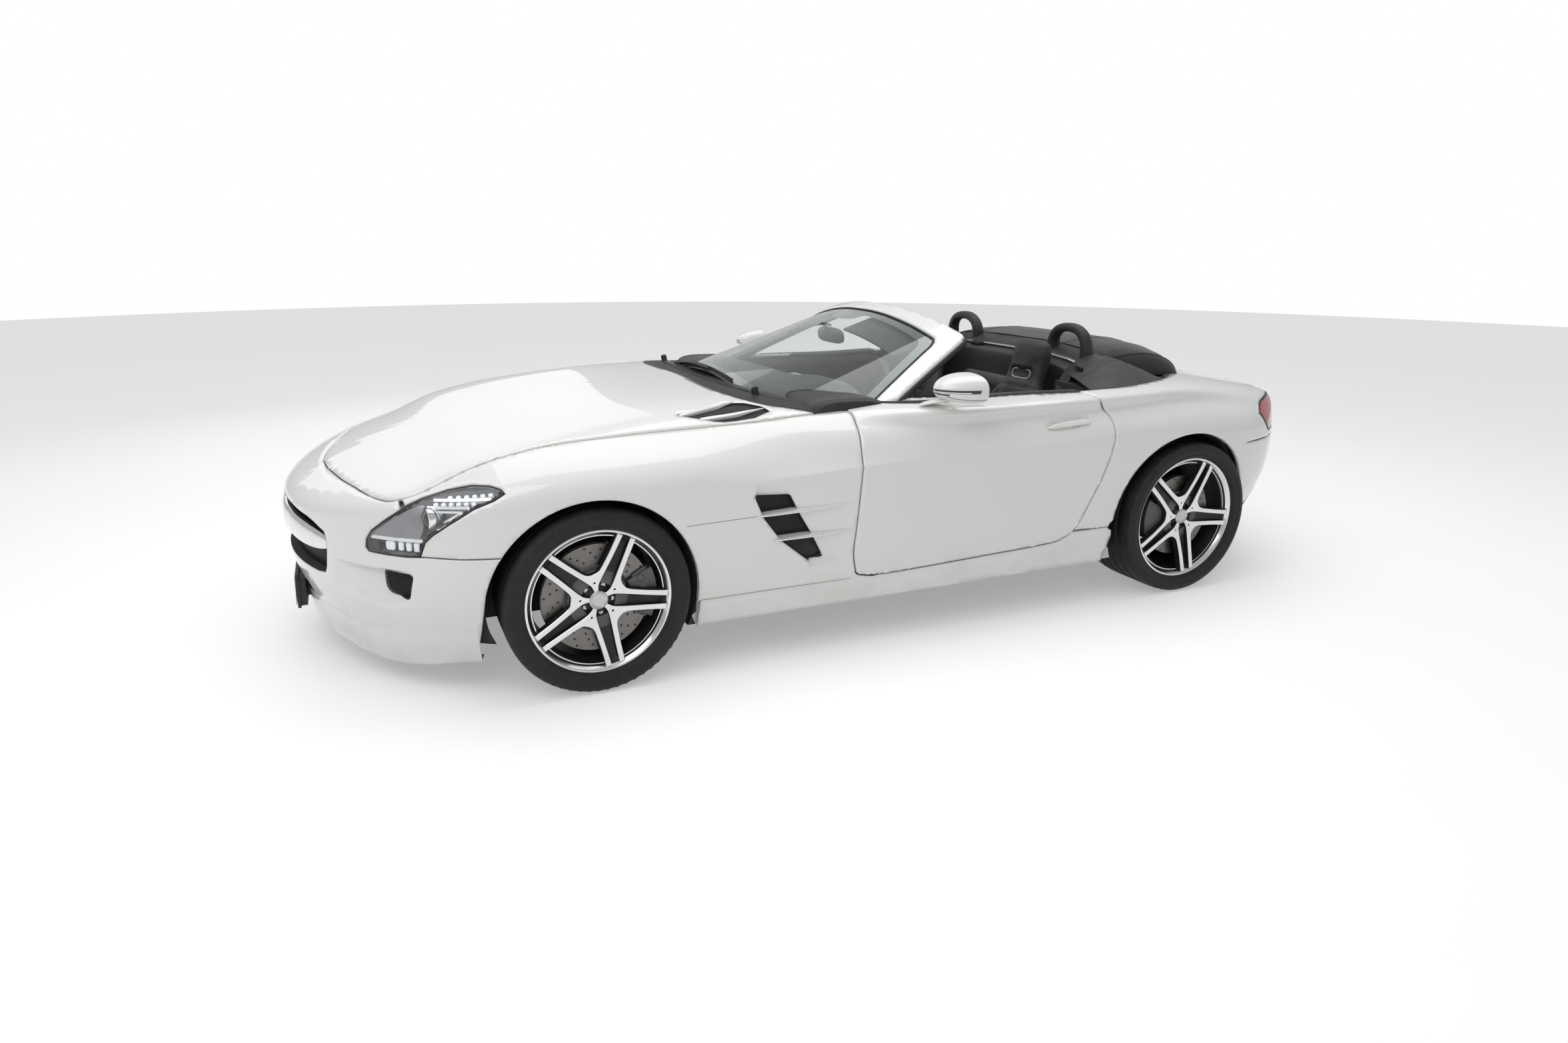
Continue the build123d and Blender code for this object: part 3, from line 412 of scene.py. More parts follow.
def panel(name, chart, loops, step, thick=0.018, extra=None, normal=None, turn=0.0035, fine=None):
    """A closed sheet-metal panel: the chart's surface over the loops, its edge rolled in by a small
    radius, and the same surface set back by its thickness."""
    uv, tri = triangulate(loops, step, extra, fine)
    p = chart(uv)
    p, n = dented(p, body_field(p)[1]) if normal is None else (p, normal(p))
    t0 = np.cross(p[tri[:, 1]] - p[tri[:, 0]], p[tri[:, 2]] - p[tri[:, 0]])
    if (t0 * n[tri[:, 0]]).sum(1).sum() < 0:
        tri = tri[:, ::-1]
    rim = border_edges(tri)
    count = len(p)
    ids = np.unique(rim)
    # outward sideways direction at each border vertex, from its two border edges
    side = np.zeros_like(p)
    d = p[rim[:, 1]] - p[rim[:, 0]]
    d /= np.linalg.norm(d, axis=1)[:, None] + 1e-12
    out = np.cross(d, n[rim[:, 0]])
    np.add.at(side, rim[:, 0], out)
    np.add.at(side, rim[:, 1], out)
    side /= np.linalg.norm(side, axis=1)[:, None] + 1e-12
    p_top = p.copy()
    p_top[ids] -= side[ids] * turn * 0.5 + n[ids] * turn * 0.22
    mid, low = np.full(count, -1), np.full(count, -1)
    mid[ids] = count + np.arange(len(ids))
    low[ids] = count + len(ids) + np.arange(len(ids))
    v = [p_top, p[ids] - n[ids] * turn * 1.2, p[ids] - n[ids] * thick]
    base = count + 2 * len(ids)
    v.append(p - n * thick)
    nn = [n, side[ids], side[ids], -n]
    nn[0] = n.copy()
    nn[0][ids] = n[ids] * 0.8 + side[ids] * 0.6
    a, b = rim[:, 0], rim[:, 1]
    faces = np.concatenate([tri, np.c_[b, a, mid[a]], np.c_[b, mid[a], mid[b]],
        np.c_[mid[b], mid[a], low[a]], np.c_[mid[b], low[a], low[b]],
                            tri[:, ::-1] + base])
    verts = np.concatenate(v)
    # the set-back sheet shares the rolled edge's last row
    share = np.arange(len(verts))
    share[base + ids] = low[ids]
    faces = share[faces]
    used = np.unique(faces)
    remap = np.full(len(verts), -1)
    remap[used] = np.arange(len(used))
    normals = np.concatenate(nn)
    normals /= np.linalg.norm(normals, axis=1)[:, None] + 1e-12
    return new_mesh(name, verts[used], remap[faces], normals[used])


# ---------------------------------------------------------------- mesh shapes
def grid_faces(n, m, close_n=False, close_m=False, flip=False):
    """Quads over an n by m grid of points, rows first."""
    i = np.arange(n if close_n else n - 1)[:, None]
    j = np.arange(m if close_m else m - 1)[None]
    a, b = i * m + j, i * m + (j + 1) % m
    c, d = ((i + 1) % n) * m + (j + 1) % m, ((i + 1) % n) * m + j
    q = np.stack([a, b, c, d], -1).reshape(-1, 4)
    return q[:, ::-1] if flip else q


def capped(rings, around, first_turned=False):
    """Faces of a closed tube of so many rings, with a face over each end; the first may be turned over."""
    first = list(range(around))
    last = list(range((rings - 1) * around, rings * around))
    return grid_faces(rings, around, close_m=True).tolist() + [first[::-1] if first_turned else first, last]


def both_sides(tri, rim, k):
    """Faces of a thin sheet: the front triangles, the same turned over on points k further on, its rim."""
    edge = np.c_[rim[:, 1], rim[:, 0], rim[:, 0] + k, rim[:, 1] + k]
    return tri.tolist() + (tri[:, ::-1] + k).tolist() + edge.tolist()


def merge(parts):
    """Several (points, faces, finish number) lists as one mesh's lists."""
    verts, faces, marks, at0 = [], [], [], 0
    for v, f, m in parts:
        verts.append(np.asarray(v, float).reshape(-1, 3))
        faces += (np.asarray(f) + at0).tolist() if isinstance(f, np.ndarray) else [[i + at0 for i in q]
            for q in f]
        marks += [m] * len(f) if np.isscalar(m) else list(m)
        at0 += len(verts[-1])
    return np.concatenate(verts), faces, marks


def piece(name, parts, body, finishes, node=(), slot=None, angle=35, smooth=True):
    """One object from several meshed parts, shaded smooth up to the given edge angle."""
    v, f, m = merge(parts)
    mesh = bpy.data.meshes.new(name)
    mesh.from_pydata(v.tolist(), [], f)
    mesh.polygons.foreach_set("material_index", np.array(m, np.int32))
    mesh.update()
    bm = bmesh.new()
    bm.from_mesh(mesh)
    bmesh.ops.remove_doubles(bm, verts=bm.verts, dist=1e-6)
    bmesh.ops.recalc_face_normals(bm, faces=bm.faces)
    bm.to_mesh(mesh)
    bm.free()
    if smooth:
        mesh.polygons.foreach_set("use_smooth", np.ones(len(mesh.polygons), bool))
        mesh.set_sharp_from_angle(angle=math.radians(angle))
    obj = bpy.data.objects.new(name, mesh)
    bpy.context.scene.collection.objects.link(obj)
    return wear(obj, body, finishes, node, slot)


def lathe(profile, n=96, close=True):
    """Profile of (along the axle, radius) turned about the axle; closed profiles give a ring, open
    ones end at the axle."""
    p = np.asarray(profile, float)
    t = np.linspace(0, 2 * math.pi, n, endpoint=False)
    v = np.stack([np.broadcast_to(p[None, :, 0], (n, len(p))), p[None, :, 1] * np.cos(t)[:, None],
        p[None, :, 1] * np.sin(t)[:, None]], -1)
    return v.reshape(-1, 3), grid_faces(n, len(p), close_n=True, close_m=close)


def soft_profile(points, r=0.002, n=4):
    """Closed profile with its corners rounded by quadratic curves."""
    p = np.asarray(points, float)
    a, b = np.roll(p, 1, axis=0), np.roll(p, -1, axis=0)
    la, lb = np.linalg.norm(a - p, axis=1)[:, None], np.linalg.norm(b - p, axis=1)[:, None]
    r = np.broadcast_to(np.asarray(r, float).reshape(-1, 1), (len(p), 1))
    s, e = p + (a - p) / la * np.minimum(r, la * 0.45), p + (b - p) / lb * np.minimum(r, lb * 0.45)
    t = np.linspace(0, 1, n)[None, :, None]
    return ((1 - t) ** 2 * s[:, None] + 2 * t * (1 - t) * p[:, None] + t * t * e[:, None]).reshape(-1, 2)


def tube(path, radius, n=12, up=(0, 0, 1), closed=False, caps=True, squash=1.0):
    """Round or oval section carried along a path of points."""
    p = np.asarray(path, float)
    d = np.gradient(p, axis=0) if not closed else np.roll(p, -1, 0) - np.roll(p, 1, 0)
    d /= np.linalg.norm(d, axis=1)[:, None] + 1e-12
    s = np.cross(d, np.asarray(up, float))
    s /= np.linalg.norm(s, axis=1)[:, None] + 1e-12
    w = np.cross(s, d)
    t = np.linspace(0, 2 * math.pi, n, endpoint=False)
    r = np.broadcast_to(np.asarray(radius, float), (len(p),))[:, None, None]
    v = p[:, None] + r * (s[:, None] * np.cos(t)[None, :, None] + w[:, None] * np.sin(t)[None, :, None]
        * squash)
    f = grid_faces(len(p), n, close_n=closed, close_m=True, flip=True).tolist()
    if caps and not closed:
        k = (len(p) - 1) * n
        f += [list(range(n)), list(range(k + n - 1, k - 1, -1))]
    return v.reshape(-1, 3), f


def slab_box(lo, hi, r=0.004):
    """Box between two corners with bevelled edges: a superellipse-like rounded block on a small grid."""
    lo, hi = np.asarray(lo, float), np.asarray(hi, float)
    c, h = (lo + hi) / 2, (hi - lo) / 2
    r = min(r, *(h * 0.95))
    t = np.linspace(0, 2 * math.pi, 24, endpoint=False)
    ring = np.c_[np.cos(t), np.sin(t)]
    levels = [(-h[2], -r), (-h[2] + r * 0.3, -r * 0.3), (-h[2] + r, 0), (h[2] - r, 0),
        (h[2] - r * 0.3, -r * 0.3), (h[2], -r)]
    v = np.concatenate([np.c_[np.sign(ring) * (h[:2] - r) + ring * (r + d), np.full(24, z)]
        for z, d in levels]) + c
    f = capped(6, 24, True)
    return v, f


def place(v, side, x, y, z):
    """Wheel-space points (outboard, back, up) put at their place on that side of the car."""
    v = np.asarray(v, float).reshape(-1, 3)
    return np.c_[side * (x + v[:, 0]), y + v[:, 1], z + v[:, 2]]


def turned(faces, side):
    """Faces turned over where the side mirrors them."""
    if side > 0:
        return faces
    return faces[:, ::-1] if isinstance(faces, np.ndarray) else [f[::-1] for f in faces]



def grid_normals(P, close_u=False, close_v=False):
    """Unit normals of an (n, m) grid of points: the cross product of its central differences."""
    du = np.roll(P, -1, 0) - np.roll(P, 1, 0) if close_u else np.gradient(P, axis=0)
    dv = np.roll(P, -1, 1) - np.roll(P, 1, 1) if close_v else np.gradient(P, axis=1)
    n = np.cross(du, dv)
    return n / (np.linalg.norm(n, axis=-1, keepdims=True) + 1e-12)


def shell(grid, thick, mark=0, close_u=False, close_v=False):
    """A sheet given a thickness: the grid of points, the same grid set back along its normals by
    thick, and strips round its open edges."""
    P = np.asarray(grid, float)
    n, m = P.shape[:2]
    back = P - grid_normals(P, close_u, close_v) * np.broadcast_to(thick, (n, m))[..., None]
    front = grid_faces(n, m, close_u, close_v, flip=True)
    e = np.concatenate([front[:, [0, 1]], front[:, [1, 2]], front[:, [2, 3]], front[:, [3, 0]]])
    k = n * m
    e = e[~np.isin(e[:, 0] * k + e[:, 1], e[:, 1] * k + e[:, 0])]
    faces = np.concatenate([front, front[:, ::-1] + k, np.c_[e[:, 1], e[:, 0], e[:, 0] + k, e[:, 1] + k]])
    return np.concatenate([P.reshape(-1, 3), back.reshape(-1, 3)]), faces, mark


def sweep(path, section, up=(0, 0, 1), closed=False, mark=0, shut=True):
    """A closed section of (across, upward) points carried along a path; across is square to the path
    and to up. The section may differ at each point of the path."""
    p = np.asarray(path, float)
    d = np.gradient(p, axis=0) if not closed else np.roll(p, -1, 0) - np.roll(p, 1, 0)
    d /= np.linalg.norm(d, axis=1)[:, None] + 1e-12
    s = np.cross(d, np.broadcast_to(np.asarray(up, float), p.shape))
    s /= np.linalg.norm(s, axis=1)[:, None] + 1e-12
    w = np.cross(s, d)
    sec = np.broadcast_to(np.asarray(section, float), (len(p),) + np.shape(section)[-2:])
    v = p[:, None] + s[:, None] * sec[..., :1] + w[:, None] * sec[..., 1:]
    n = sec.shape[1]
    f = grid_faces(len(p), n, close_n=closed, close_m=True).tolist()
    if shut and not closed:
        k = (len(p) - 1) * n
        f += [list(range(n - 1, -1, -1)), list(range(k, k + n))]
    return v.reshape(-1, 3), f, mark


def oval(a, b, n=16, power=2.0):
    """Superellipse section: half width a, half height b."""
    t = np.linspace(0, 2 * math.pi, n, endpoint=False)
    c, s = np.cos(t), np.sin(t)
    return np.c_[a * np.sign(c) * np.abs(c) ** (2 / power), b * np.sign(s) * np.abs(s) ** (2 / power)]


def raised(loops, step, height, depth, draft=0.003, chamfer=0.0012, marks=(0, 0, 1)):
    """A plate cut to outlines in the flat (u, v): its top lies at height(uv), a small chamfer leads
    into walls that spread by draft down to depth below the top."""
    uv, tri = triangulate(loops, step)
    rim = border_edges(tri)
    ids = np.unique(rim)
    d = uv[rim[:, 1]] - uv[rim[:, 0]]
    d /= np.linalg.norm(d, axis=1)[:, None] + 1e-12
    out = np.c_[d[:, 1], -d[:, 0]]
    side = np.zeros_like(uv)
    np.add.at(side, rim[:, 0], out)
    np.add.at(side, rim[:, 1], out)
    side /= np.linalg.norm(side, axis=1)[:, None] + 1e-12
    top = height(uv)
    n, k = len(uv), len(ids)
    one, two = np.full(n, -1), np.full(n, -1)
    one[ids], two[ids] = n + np.arange(k), n + k + np.arange(k)
    in_uv = uv.copy()
    in_uv[ids] -= side[ids] * chamfer
    v = np.concatenate([np.c_[in_uv, top], np.c_[uv[ids], top[ids] - chamfer],
        np.c_[uv[ids] + side[ids] * draft, top[ids] - depth]])
    a, b = rim[:, 0], rim[:, 1]
    faces = tri.tolist() + np.c_[b, a, one[a], one[b]].tolist() + np.c_[one[b], one[a], two[a],
        two[b]].tolist()
    mark = [marks[0]] * len(tri) + [marks[1]] * len(rim) + [marks[2]] * len(rim)
    return v, faces, mark


def lattice(chart, poly, pitch, width, depth, lean=1.0, mark=0):
    """Diamond mesh over an outline in a chart: two families of flat bars at plus and minus the lean
    slope, each bar a thin box carried along the surface, cut where it leaves the outline."""
    lo, hi = poly.min(0), poly.max(0)
    parts = []
    for sign in (1, -1):
        span = (hi[0] - lo[0]) * lean + hi[1] - lo[1]
        for c in np.arange(pitch / 2, span, pitch):
            u = np.linspace(lo[0], hi[0], 160)
            v = (lo[1] - (hi[0] - lo[0]) * lean + c + (u - lo[0]) * lean) if sign > 0 else (lo[1] + c
                - (u - lo[0]) * lean)
            line = np.c_[u, v]
            ok = inside(poly, line)
            cuts = np.flatnonzero(np.diff(np.concatenate([[0], ok.astype(int), [0]])))
            for s0, s1 in zip(cuts[::2], cuts[1::2]):
                if s1 - s0 < 3:
                    continue
                run = line[s0:s1][np.unique(np.linspace(0, s1 - s0 - 1, max(3, (s1 - s0) // 6)).astype(int))]
                parts.append((run, sign))
    out = []
    for run, sign in parts:
        p = chart(run)
        _, n = body_field(p)
        p = p - n * (depth + (0.0012 if sign > 0 else 0.0))
        sec = np.array(((-1, -0.5), (1, -0.5), (1, 0.5), (-1, 0.5))) * (width / 2, width * 0.8)
        out.append(sweep(p, sec, up=n, mark=mark))
    return out


def lathe_at(profile, centre, axis, n=48, mark=0, close=False):
    """Profile of (along, radius) turned about an axis through centre."""
    v, f = lathe(profile, n, close)
    a = np.asarray(axis, float)
    a = a / np.linalg.norm(a)
    s = np.cross(a, (0, 0, 1)) if abs(a[2]) < 0.9 else np.cross(a, (1, 0, 0))
    s /= np.linalg.norm(s)
    w = np.cross(a, s)
    return np.asarray(centre, float) + v[:, :1] * a + v[:, 1:2] * s + v[:, 2:] * w, f, mark


def mirror_part(part):
    """A part turned over to the other side of the car."""
    v, f, m = part
    return np.asarray(v) * (-1, 1, 1), turned(f, -1), m


# ---------------------------------------------------------------- camera
def look():
    """The camera, standing by the front left corner, with its framing in its shift."""
    cam = bpy.data.cameras.new("camera")
    cam.lens, cam.sensor_width, cam.sensor_fit = 21.383, 36, "HORIZONTAL"
    cam.shift_x, cam.shift_y = 0.0456, -0.0337
    cam.clip_start, cam.clip_end = 0.05, 100
    obj = bpy.data.objects.new("camera", cam)
    right, down, ahead = (np.array(v) for v in ((0.3676, 0.9300, 0.0012), (0.2221, -0.0866, -0.9712),
        (-0.9031, 0.3573, -0.2384)))
    ahead = ahead / np.linalg.norm(ahead)
    up = -down - ahead * (-down @ ahead)
    up /= np.linalg.norm(up)
    right = np.cross(ahead, up)
    obj.matrix_world = Matrix([(*c, w) for c, w in zip(np.c_[right, up, -ahead],
        (3.8795, -2.0542, 1.5419))] + [(0, 0, 0, 1)])
    bpy.context.scene.collection.objects.link(obj)
    bpy.context.scene.camera = obj


look()


# ---------------------------------------------------------------- shader helpers
class Sock:
    """A node socket or a number that takes part in arithmetic; each expression adds its own nodes."""
    def __init__(self, tree, out):
        self.tree, self.out = tree, out

    def node(self, kind, settings=None, out=0, **inputs):
        """Adds a node of this type, sets its properties, then its sockets; a socket's name is written
        with underscores, and a leading i picks one by number."""
        n = self.tree.nodes.new(kind)
        for key, value in (settings or {}).items():
            if key == "stops":
                ramp = n.color_ramp
                while len(ramp.elements) > 1:
                    ramp.elements.remove(ramp.elements[-1])
                for i, (at, colour) in enumerate(value):
                    e = ramp.elements[0] if i == 0 else ramp.elements.new(at)
                    e.position, e.color = at, (*colour, 1)
            else:
                setattr(n, key, value)
        for key, value in inputs.items():
            socket = n.inputs[int(key[1:])] if key[0] == "i" and key[1:].isdigit() else n.inputs[
                key.replace("_", " ")]
            if isinstance(value, Sock):
                self.tree.links.new(value.out, socket)
            else:
                socket.default_value = value
        return Sock(self.tree, n.outputs[out])

    def math(self, op, *args):
        return self.node("ShaderNodeMath", {"operation": op}, **{f"i{i}": a for i, a in enumerate(args)})

    def __add__(self, b):
        return self.math("ADD", self, b)
    def __radd__(self, b):
        return self.math("ADD", b, self)
    def __sub__(self, b):
        return self.math("SUBTRACT", self, b)
    def __rsub__(self, b):
        return self.math("SUBTRACT", b, self)
    def __mul__(self, b):
        return self.math("MULTIPLY", self, b)
    def __rmul__(self, b):
        return self.math("MULTIPLY", b, self)
    def __truediv__(self, b):
        return self.math("DIVIDE", self, b)
    def __rtruediv__(self, b):
        return self.math("DIVIDE", b, self)
    def __pow__(self, b):
        return self.math("POWER", self, b)
    def __neg__(self):
        return self.math("MULTIPLY", self, -1.0)
    def __mod__(self, b):
        return self.math("FLOORED_MODULO", self, b)
    def __abs__(self):
        return self.math("ABSOLUTE", self)
    def __gt__(self, b):
        return self.math("GREATER_THAN", self, b)
    def __lt__(self, b):
        return self.math("LESS_THAN", self, b)
    def sin(self):
        return self.math("SINE", self)
    def clamp(self):
        return self.node("ShaderNodeClamp", Value=self)
    def max(self, b):
        return self.math("MAXIMUM", self, b)
    def min(self, b):
        return self.math("MINIMUM", self, b)

    def step(self, a, b):
        """0 below a, 1 above b, smooth between."""
        return self.node("ShaderNodeMapRange", {"interpolation_type": "SMOOTHSTEP"}, Value=self,
            From_Min=a, From_Max=b)

    def mix(self, a, b):
        """Colour a where this is 0, colour b where it is 1."""
        a, b = ((*c, 1) if isinstance(c, tuple) and len(c) == 3 else c for c in (a, b))
        return self.node("ShaderNodeMix", {"data_type": "RGBA"}, out=2, i0=self, i6=a, i7=b)

    def axes(self):
        n = self.tree.nodes.new("ShaderNodeSeparateXYZ")
        self.tree.links.new(self.out, n.inputs[0])
        return [Sock(self.tree, o) for o in n.outputs]

    def noise(self, scale, detail=2.0, rough=0.5, stretch=None):
        src = self if stretch is None else self.node("ShaderNodeMapping", Vector=self, Scale=stretch)
        return src.node("ShaderNodeTexNoise", Vector=src, Scale=scale, Detail=detail, Roughness=rough)

    def voronoi(self, scale, feature="DISTANCE_TO_EDGE", stretch=None, rand=1.0):
        src = self if stretch is None else self.node("ShaderNodeMapping", Vector=self, Scale=stretch)
        return src.node("ShaderNodeTexVoronoi", {"feature": feature}, Vector=src, Scale=scale,
            Randomness=rand)


class Finish:
    """A material with its shader, its Object coordinates and a bump that takes heights in metres."""
    def __init__(self, name, colour=(0.5, 0.5, 0.5), rough=0.5, metal=0.0, **sockets):
        self.mat = bpy.data.materials.new(name)
        self.mat.use_nodes = True
        self.tree = self.mat.node_tree
        self.tree.nodes.clear()
        out = self.tree.nodes.new("ShaderNodeOutputMaterial")
        self.shader = self.tree.nodes.new("ShaderNodeBsdfPrincipled")
        self.tree.links.new(self.shader.outputs[0], out.inputs[0])
        self.output = out
        self.put("Base Color", colour)
        self.put("Roughness", rough)
        self.put("Metallic", metal)
        for key, value in sockets.items():
            self.put(key.replace("_", " "), value)
        self.mat.diffuse_color = (*colour[:3], 1) if isinstance(colour, tuple) else (0.5, 0.5, 0.5, 1)

    def put(self, name, value):
        socket = self.shader.inputs[name]
        if isinstance(value, Sock):
            self.tree.links.new(value.out, socket)
        else:
            socket.default_value = (*value, 1) if isinstance(value, tuple) and len(value) == 3 else value

    def coords(self, kind="Object"):
        n = self.tree.nodes.new("ShaderNodeTexCoord")
        return Sock(self.tree, n.outputs[kind])

    def attribute(self, name, out="Fac"):
        n = self.tree.nodes.new("ShaderNodeAttribute")
        n.attribute_name = name
        return Sock(self.tree, n.outputs[out])

    def bump(self, height, strength=0.5, distance=0.001):
        n = Sock(self.tree, None).node("ShaderNodeBump", Height=height, Strength=strength, Distance=distance)
        self.put("Normal", n)


def make_finishes():
    """Every finish of the car, by the name of what wears it."""
    f = {}
    # pearl white lacquer: flake sparkle, faint mottle, and patches low on the body that turn it darker,
    # browner, rougher and less glossy
    m = Finish("pearl paint", rough=0.3, Coat_Weight=1.0, Coat_Roughness=0.03, Coat_IOR=1.55)
    p = m.coords()
    x, y, z = p.axes()
    flake = p.voronoi(2600, "F1").step(0.15, 0.6)
    mottle = p.noise(1.3, 3)
    # patches towards the bottom of the body: darker and browner colour, rougher paint, thinner coat
    darker_low_patches = (1 - z.step(0.16, 0.42)) * p.noise(7, 4, 0.6).step(0.35, 0.75)
    pearl = (mottle * 0.5 + flake * 0.25).mix((0.80, 0.795, 0.775), (0.885, 0.885, 0.875))
    m.put("Base Color", (darker_low_patches * 0.35).mix(pearl, (0.62, 0.60, 0.56)))
    m.put("Roughness", 0.26 + flake * 0.08 + darker_low_patches * 0.25)
    m.put("Coat Weight", 1 - darker_low_patches * 0.4)
    m.bump(p.noise(420, 1) , 0.05, 0.0004)
    f["paint"] = m
    # satin black moulded plastic with fine grain
    m = Finish("grained black plastic", rough=0.5)
    p = m.coords()
    z = p.axes()[2]
    grain = p.voronoi(900).step(0.02, 0.3)
    worn = p.noise(5, 4, 0.65).step(0.45, 0.8)
    m.put("Base Color", (worn * 0.5).mix((0.012, 0.012, 0.013), (0.030, 0.030, 0.031)))
    m.put("Roughness", 0.42 + grain * 0.12 + worn * 0.1)
    m.bump(grain, 0.25, 0.0004)
    f["trim"] = m
    # gloss black for frit, screens and lamp backs
    m = Finish("gloss black", rough=0.08, Coat_Weight=0.6, Coat_Roughness=0.03)
    p = m.coords()
    m.put("Base Color", p.noise(30, 3).mix((0.006, 0.006, 0.007), (0.014, 0.014, 0.016)))
    m.put("Roughness", 0.06 + p.noise(11, 4).step(0.5, 0.8) * 0.12)
    f["gloss"] = m
    # polished aluminium of rims
    m = Finish("polished rim", rough=0.2, metal=1.0, Coat_Weight=0.5, Coat_Roughness=0.05)
    p = m.coords()
    x, y, z = p.axes()
    smear = p.noise(14, 4, 0.6)
    m.put("Base Color", smear.mix((0.60, 0.605, 0.615), (0.76, 0.765, 0.775)))
    m.put("Roughness", 0.16 + smear.step(0.4, 0.75) * 0.12)
    m.bump(p.noise(700, 2), 0.06, 0.0003)
    f["alloy"] = m
    # grey lacquer down inside the wheel
    m = Finish("rim pocket grey", rough=0.42, metal=0.6)
    p = m.coords()
    m.put("Base Color", p.noise(25, 4).mix((0.018, 0.018, 0.020), (0.045, 0.045, 0.048)))
    m.put("Roughness", 0.35 + p.noise(60, 3) * 0.25)
    f["pocket"] = m
    # chrome and silver trim
    m = Finish("bright trim", rough=0.1, metal=1.0)
    p = m.coords()
    m.put("Base Color", p.noise(40, 3).mix((0.70, 0.71, 0.72), (0.82, 0.83, 0.84)))
    m.put("Roughness", 0.07 + p.noise(18, 4).step(0.45, 0.8) * 0.12)
    f["bright"] = m
    m = Finish("silver lacquer", rough=0.32, metal=0.85)
    p = m.coords()
    m.put("Base Color", p.voronoi(1500, "F1").mix((0.42, 0.43, 0.44), (0.62, 0.63, 0.64)))
    m.put("Roughness", 0.28 + p.noise(20, 3) * 0.12)
    f["silver"] = m
    # brake disc: rings left by turning, light rust at the edge of the hat
    m = Finish("brake disc steel", rough=0.35, metal=1.0)
    p = m.coords()
    ring = m.attribute("ring")
    turned = (ring * 5200).sin() * 0.5 + 0.5
    rust = p.noise(40, 4, 0.7).step(0.55, 0.8)
    m.put("Base Color", (rust * 0.35).mix((0.20, 0.19, 0.18), (0.16, 0.10, 0.07)))
    m.put("Roughness", 0.3 + turned * 0.15 + rust * 0.2)
    m.put("Metallic", 1 - rust * 0.4)
    m.bump(turned, 0.2, 0.0003)
    f["disc"] = m
    # cast parts: caliper, arms
    m = Finish("cast grey", rough=0.5, metal=0.55)
    p = m.coords()
    cast = p.noise(160, 4, 0.7)
    m.put("Base Color", p.noise(9, 4, 0.6).mix((0.085, 0.085, 0.09), (0.17, 0.17, 0.175)))
    m.put("Roughness", 0.42 + cast * 0.25)
    m.bump(cast, 0.4, 0.0009)
    f["cast"] = m
    # tyre rubber with dust in the grooves
    m = Finish("tyre rubber", rough=0.7, Specular_IOR_Level=0.35)
    p = m.coords()
    scuff = p.noise(18, 5, 0.65).step(0.4, 0.8)
    grain = p.noise(650, 3, 0.6)
    m.put("Base Color", (scuff * 0.6).mix((0.014, 0.014, 0.0145), (0.045, 0.043, 0.04)))
    m.put("Roughness", 0.62 + scuff * 0.2)
    m.bump(grain, 0.3, 0.0006)
    f["tyre"] = m
    # leather: pebbled grain, creases, worn shine
    m = Finish("black leather", rough=0.42, Sheen_Weight=0.08)
    p = m.coords()
    pebble = p.voronoi(520).step(0.0, 0.22)
    crease = p.noise(26, 5, 0.7)
    wear = p.noise(4.5, 3).step(0.45, 0.75)
    m.put("Base Color", (wear * 0.6).mix((0.013, 0.013, 0.014), (0.034, 0.033, 0.033)))
    m.put("Roughness", 0.46 - wear * 0.12 + pebble * 0.06)
    m.bump(pebble * 0.6 + crease * 0.8, 0.45, 0.0007)
    f["leather"] = m
    m = Finish("leather stitching", rough=0.7)
    p = m.coords()
    twist = p.noise(900, 2)
    m.put("Base Color", twist.mix((0.10, 0.10, 0.10), (0.22, 0.215, 0.21)))
    m.bump(twist, 0.6, 0.0005)
    f["stitch"] = m
    # hood cloth: twill weave
    m = Finish("hood cloth", rough=0.92, Sheen_Weight=0.35, Sheen_Roughness=0.5)
    p = m.coords()
    x, y, z = p.axes()
    weft = (((x * 2600 + y * 2600).sin() * (x * 2600 - y * 2600 + z * 1800).sin()).clamp() * 0.4
        + p.noise(700, 3, 0.7) * 0.8).min(1.0)
    lint = p.noise(90, 5, 0.7).step(0.5, 0.8)
    fade = p.noise(3, 3)
    m.put("Base Color", (fade * 0.5 + lint * 0.25).mix((0.010, 0.010, 0.011), (0.040, 0.040, 0.042)))
    m.put("Roughness", 0.86 + weft * 0.1)
    m.bump(weft, 0.4, 0.0005)
    f["fabric"] = m
    # carpet
    m = Finish("cut pile carpet", rough=0.95, Sheen_Weight=0.3, Sheen_Roughness=0.5)
    p = m.coords()
    pile = p.noise(900, 4, 0.8)
    m.put("Base Color", p.noise(60, 4).mix((0.008, 0.008, 0.009), (0.028, 0.028, 0.030)))
    m.bump(pile, 0.9, 0.002)
    f["carpet"] = m
    # belt webbing: fine cross ribs
    m = Finish("belt webbing", rough=0.75, Sheen_Weight=0.2)
    p = m.coords()
    x, y, z = p.axes()
    ribs = (z * 2600 + y * 900).sin() * 0.5 + 0.5
    m.put("Base Color", (ribs * p.noise(60, 3)).mix((0.014, 0.014, 0.016), (0.040, 0.040, 0.044)))
    m.bump(ribs, 0.4, 0.0004)
    f["web"] = m
    # rubber seals
    m = Finish("seal rubber", rough=0.55)
    p = m.coords()
    m.put("Base Color", p.noise(30, 4).mix((0.010, 0.010, 0.010), (0.026, 0.026, 0.026)))
    m.put("Roughness", 0.48 + p.noise(70, 3) * 0.2)
    m.bump(p.noise(500, 2), 0.25, 0.0005)
    f["rubber"] = m
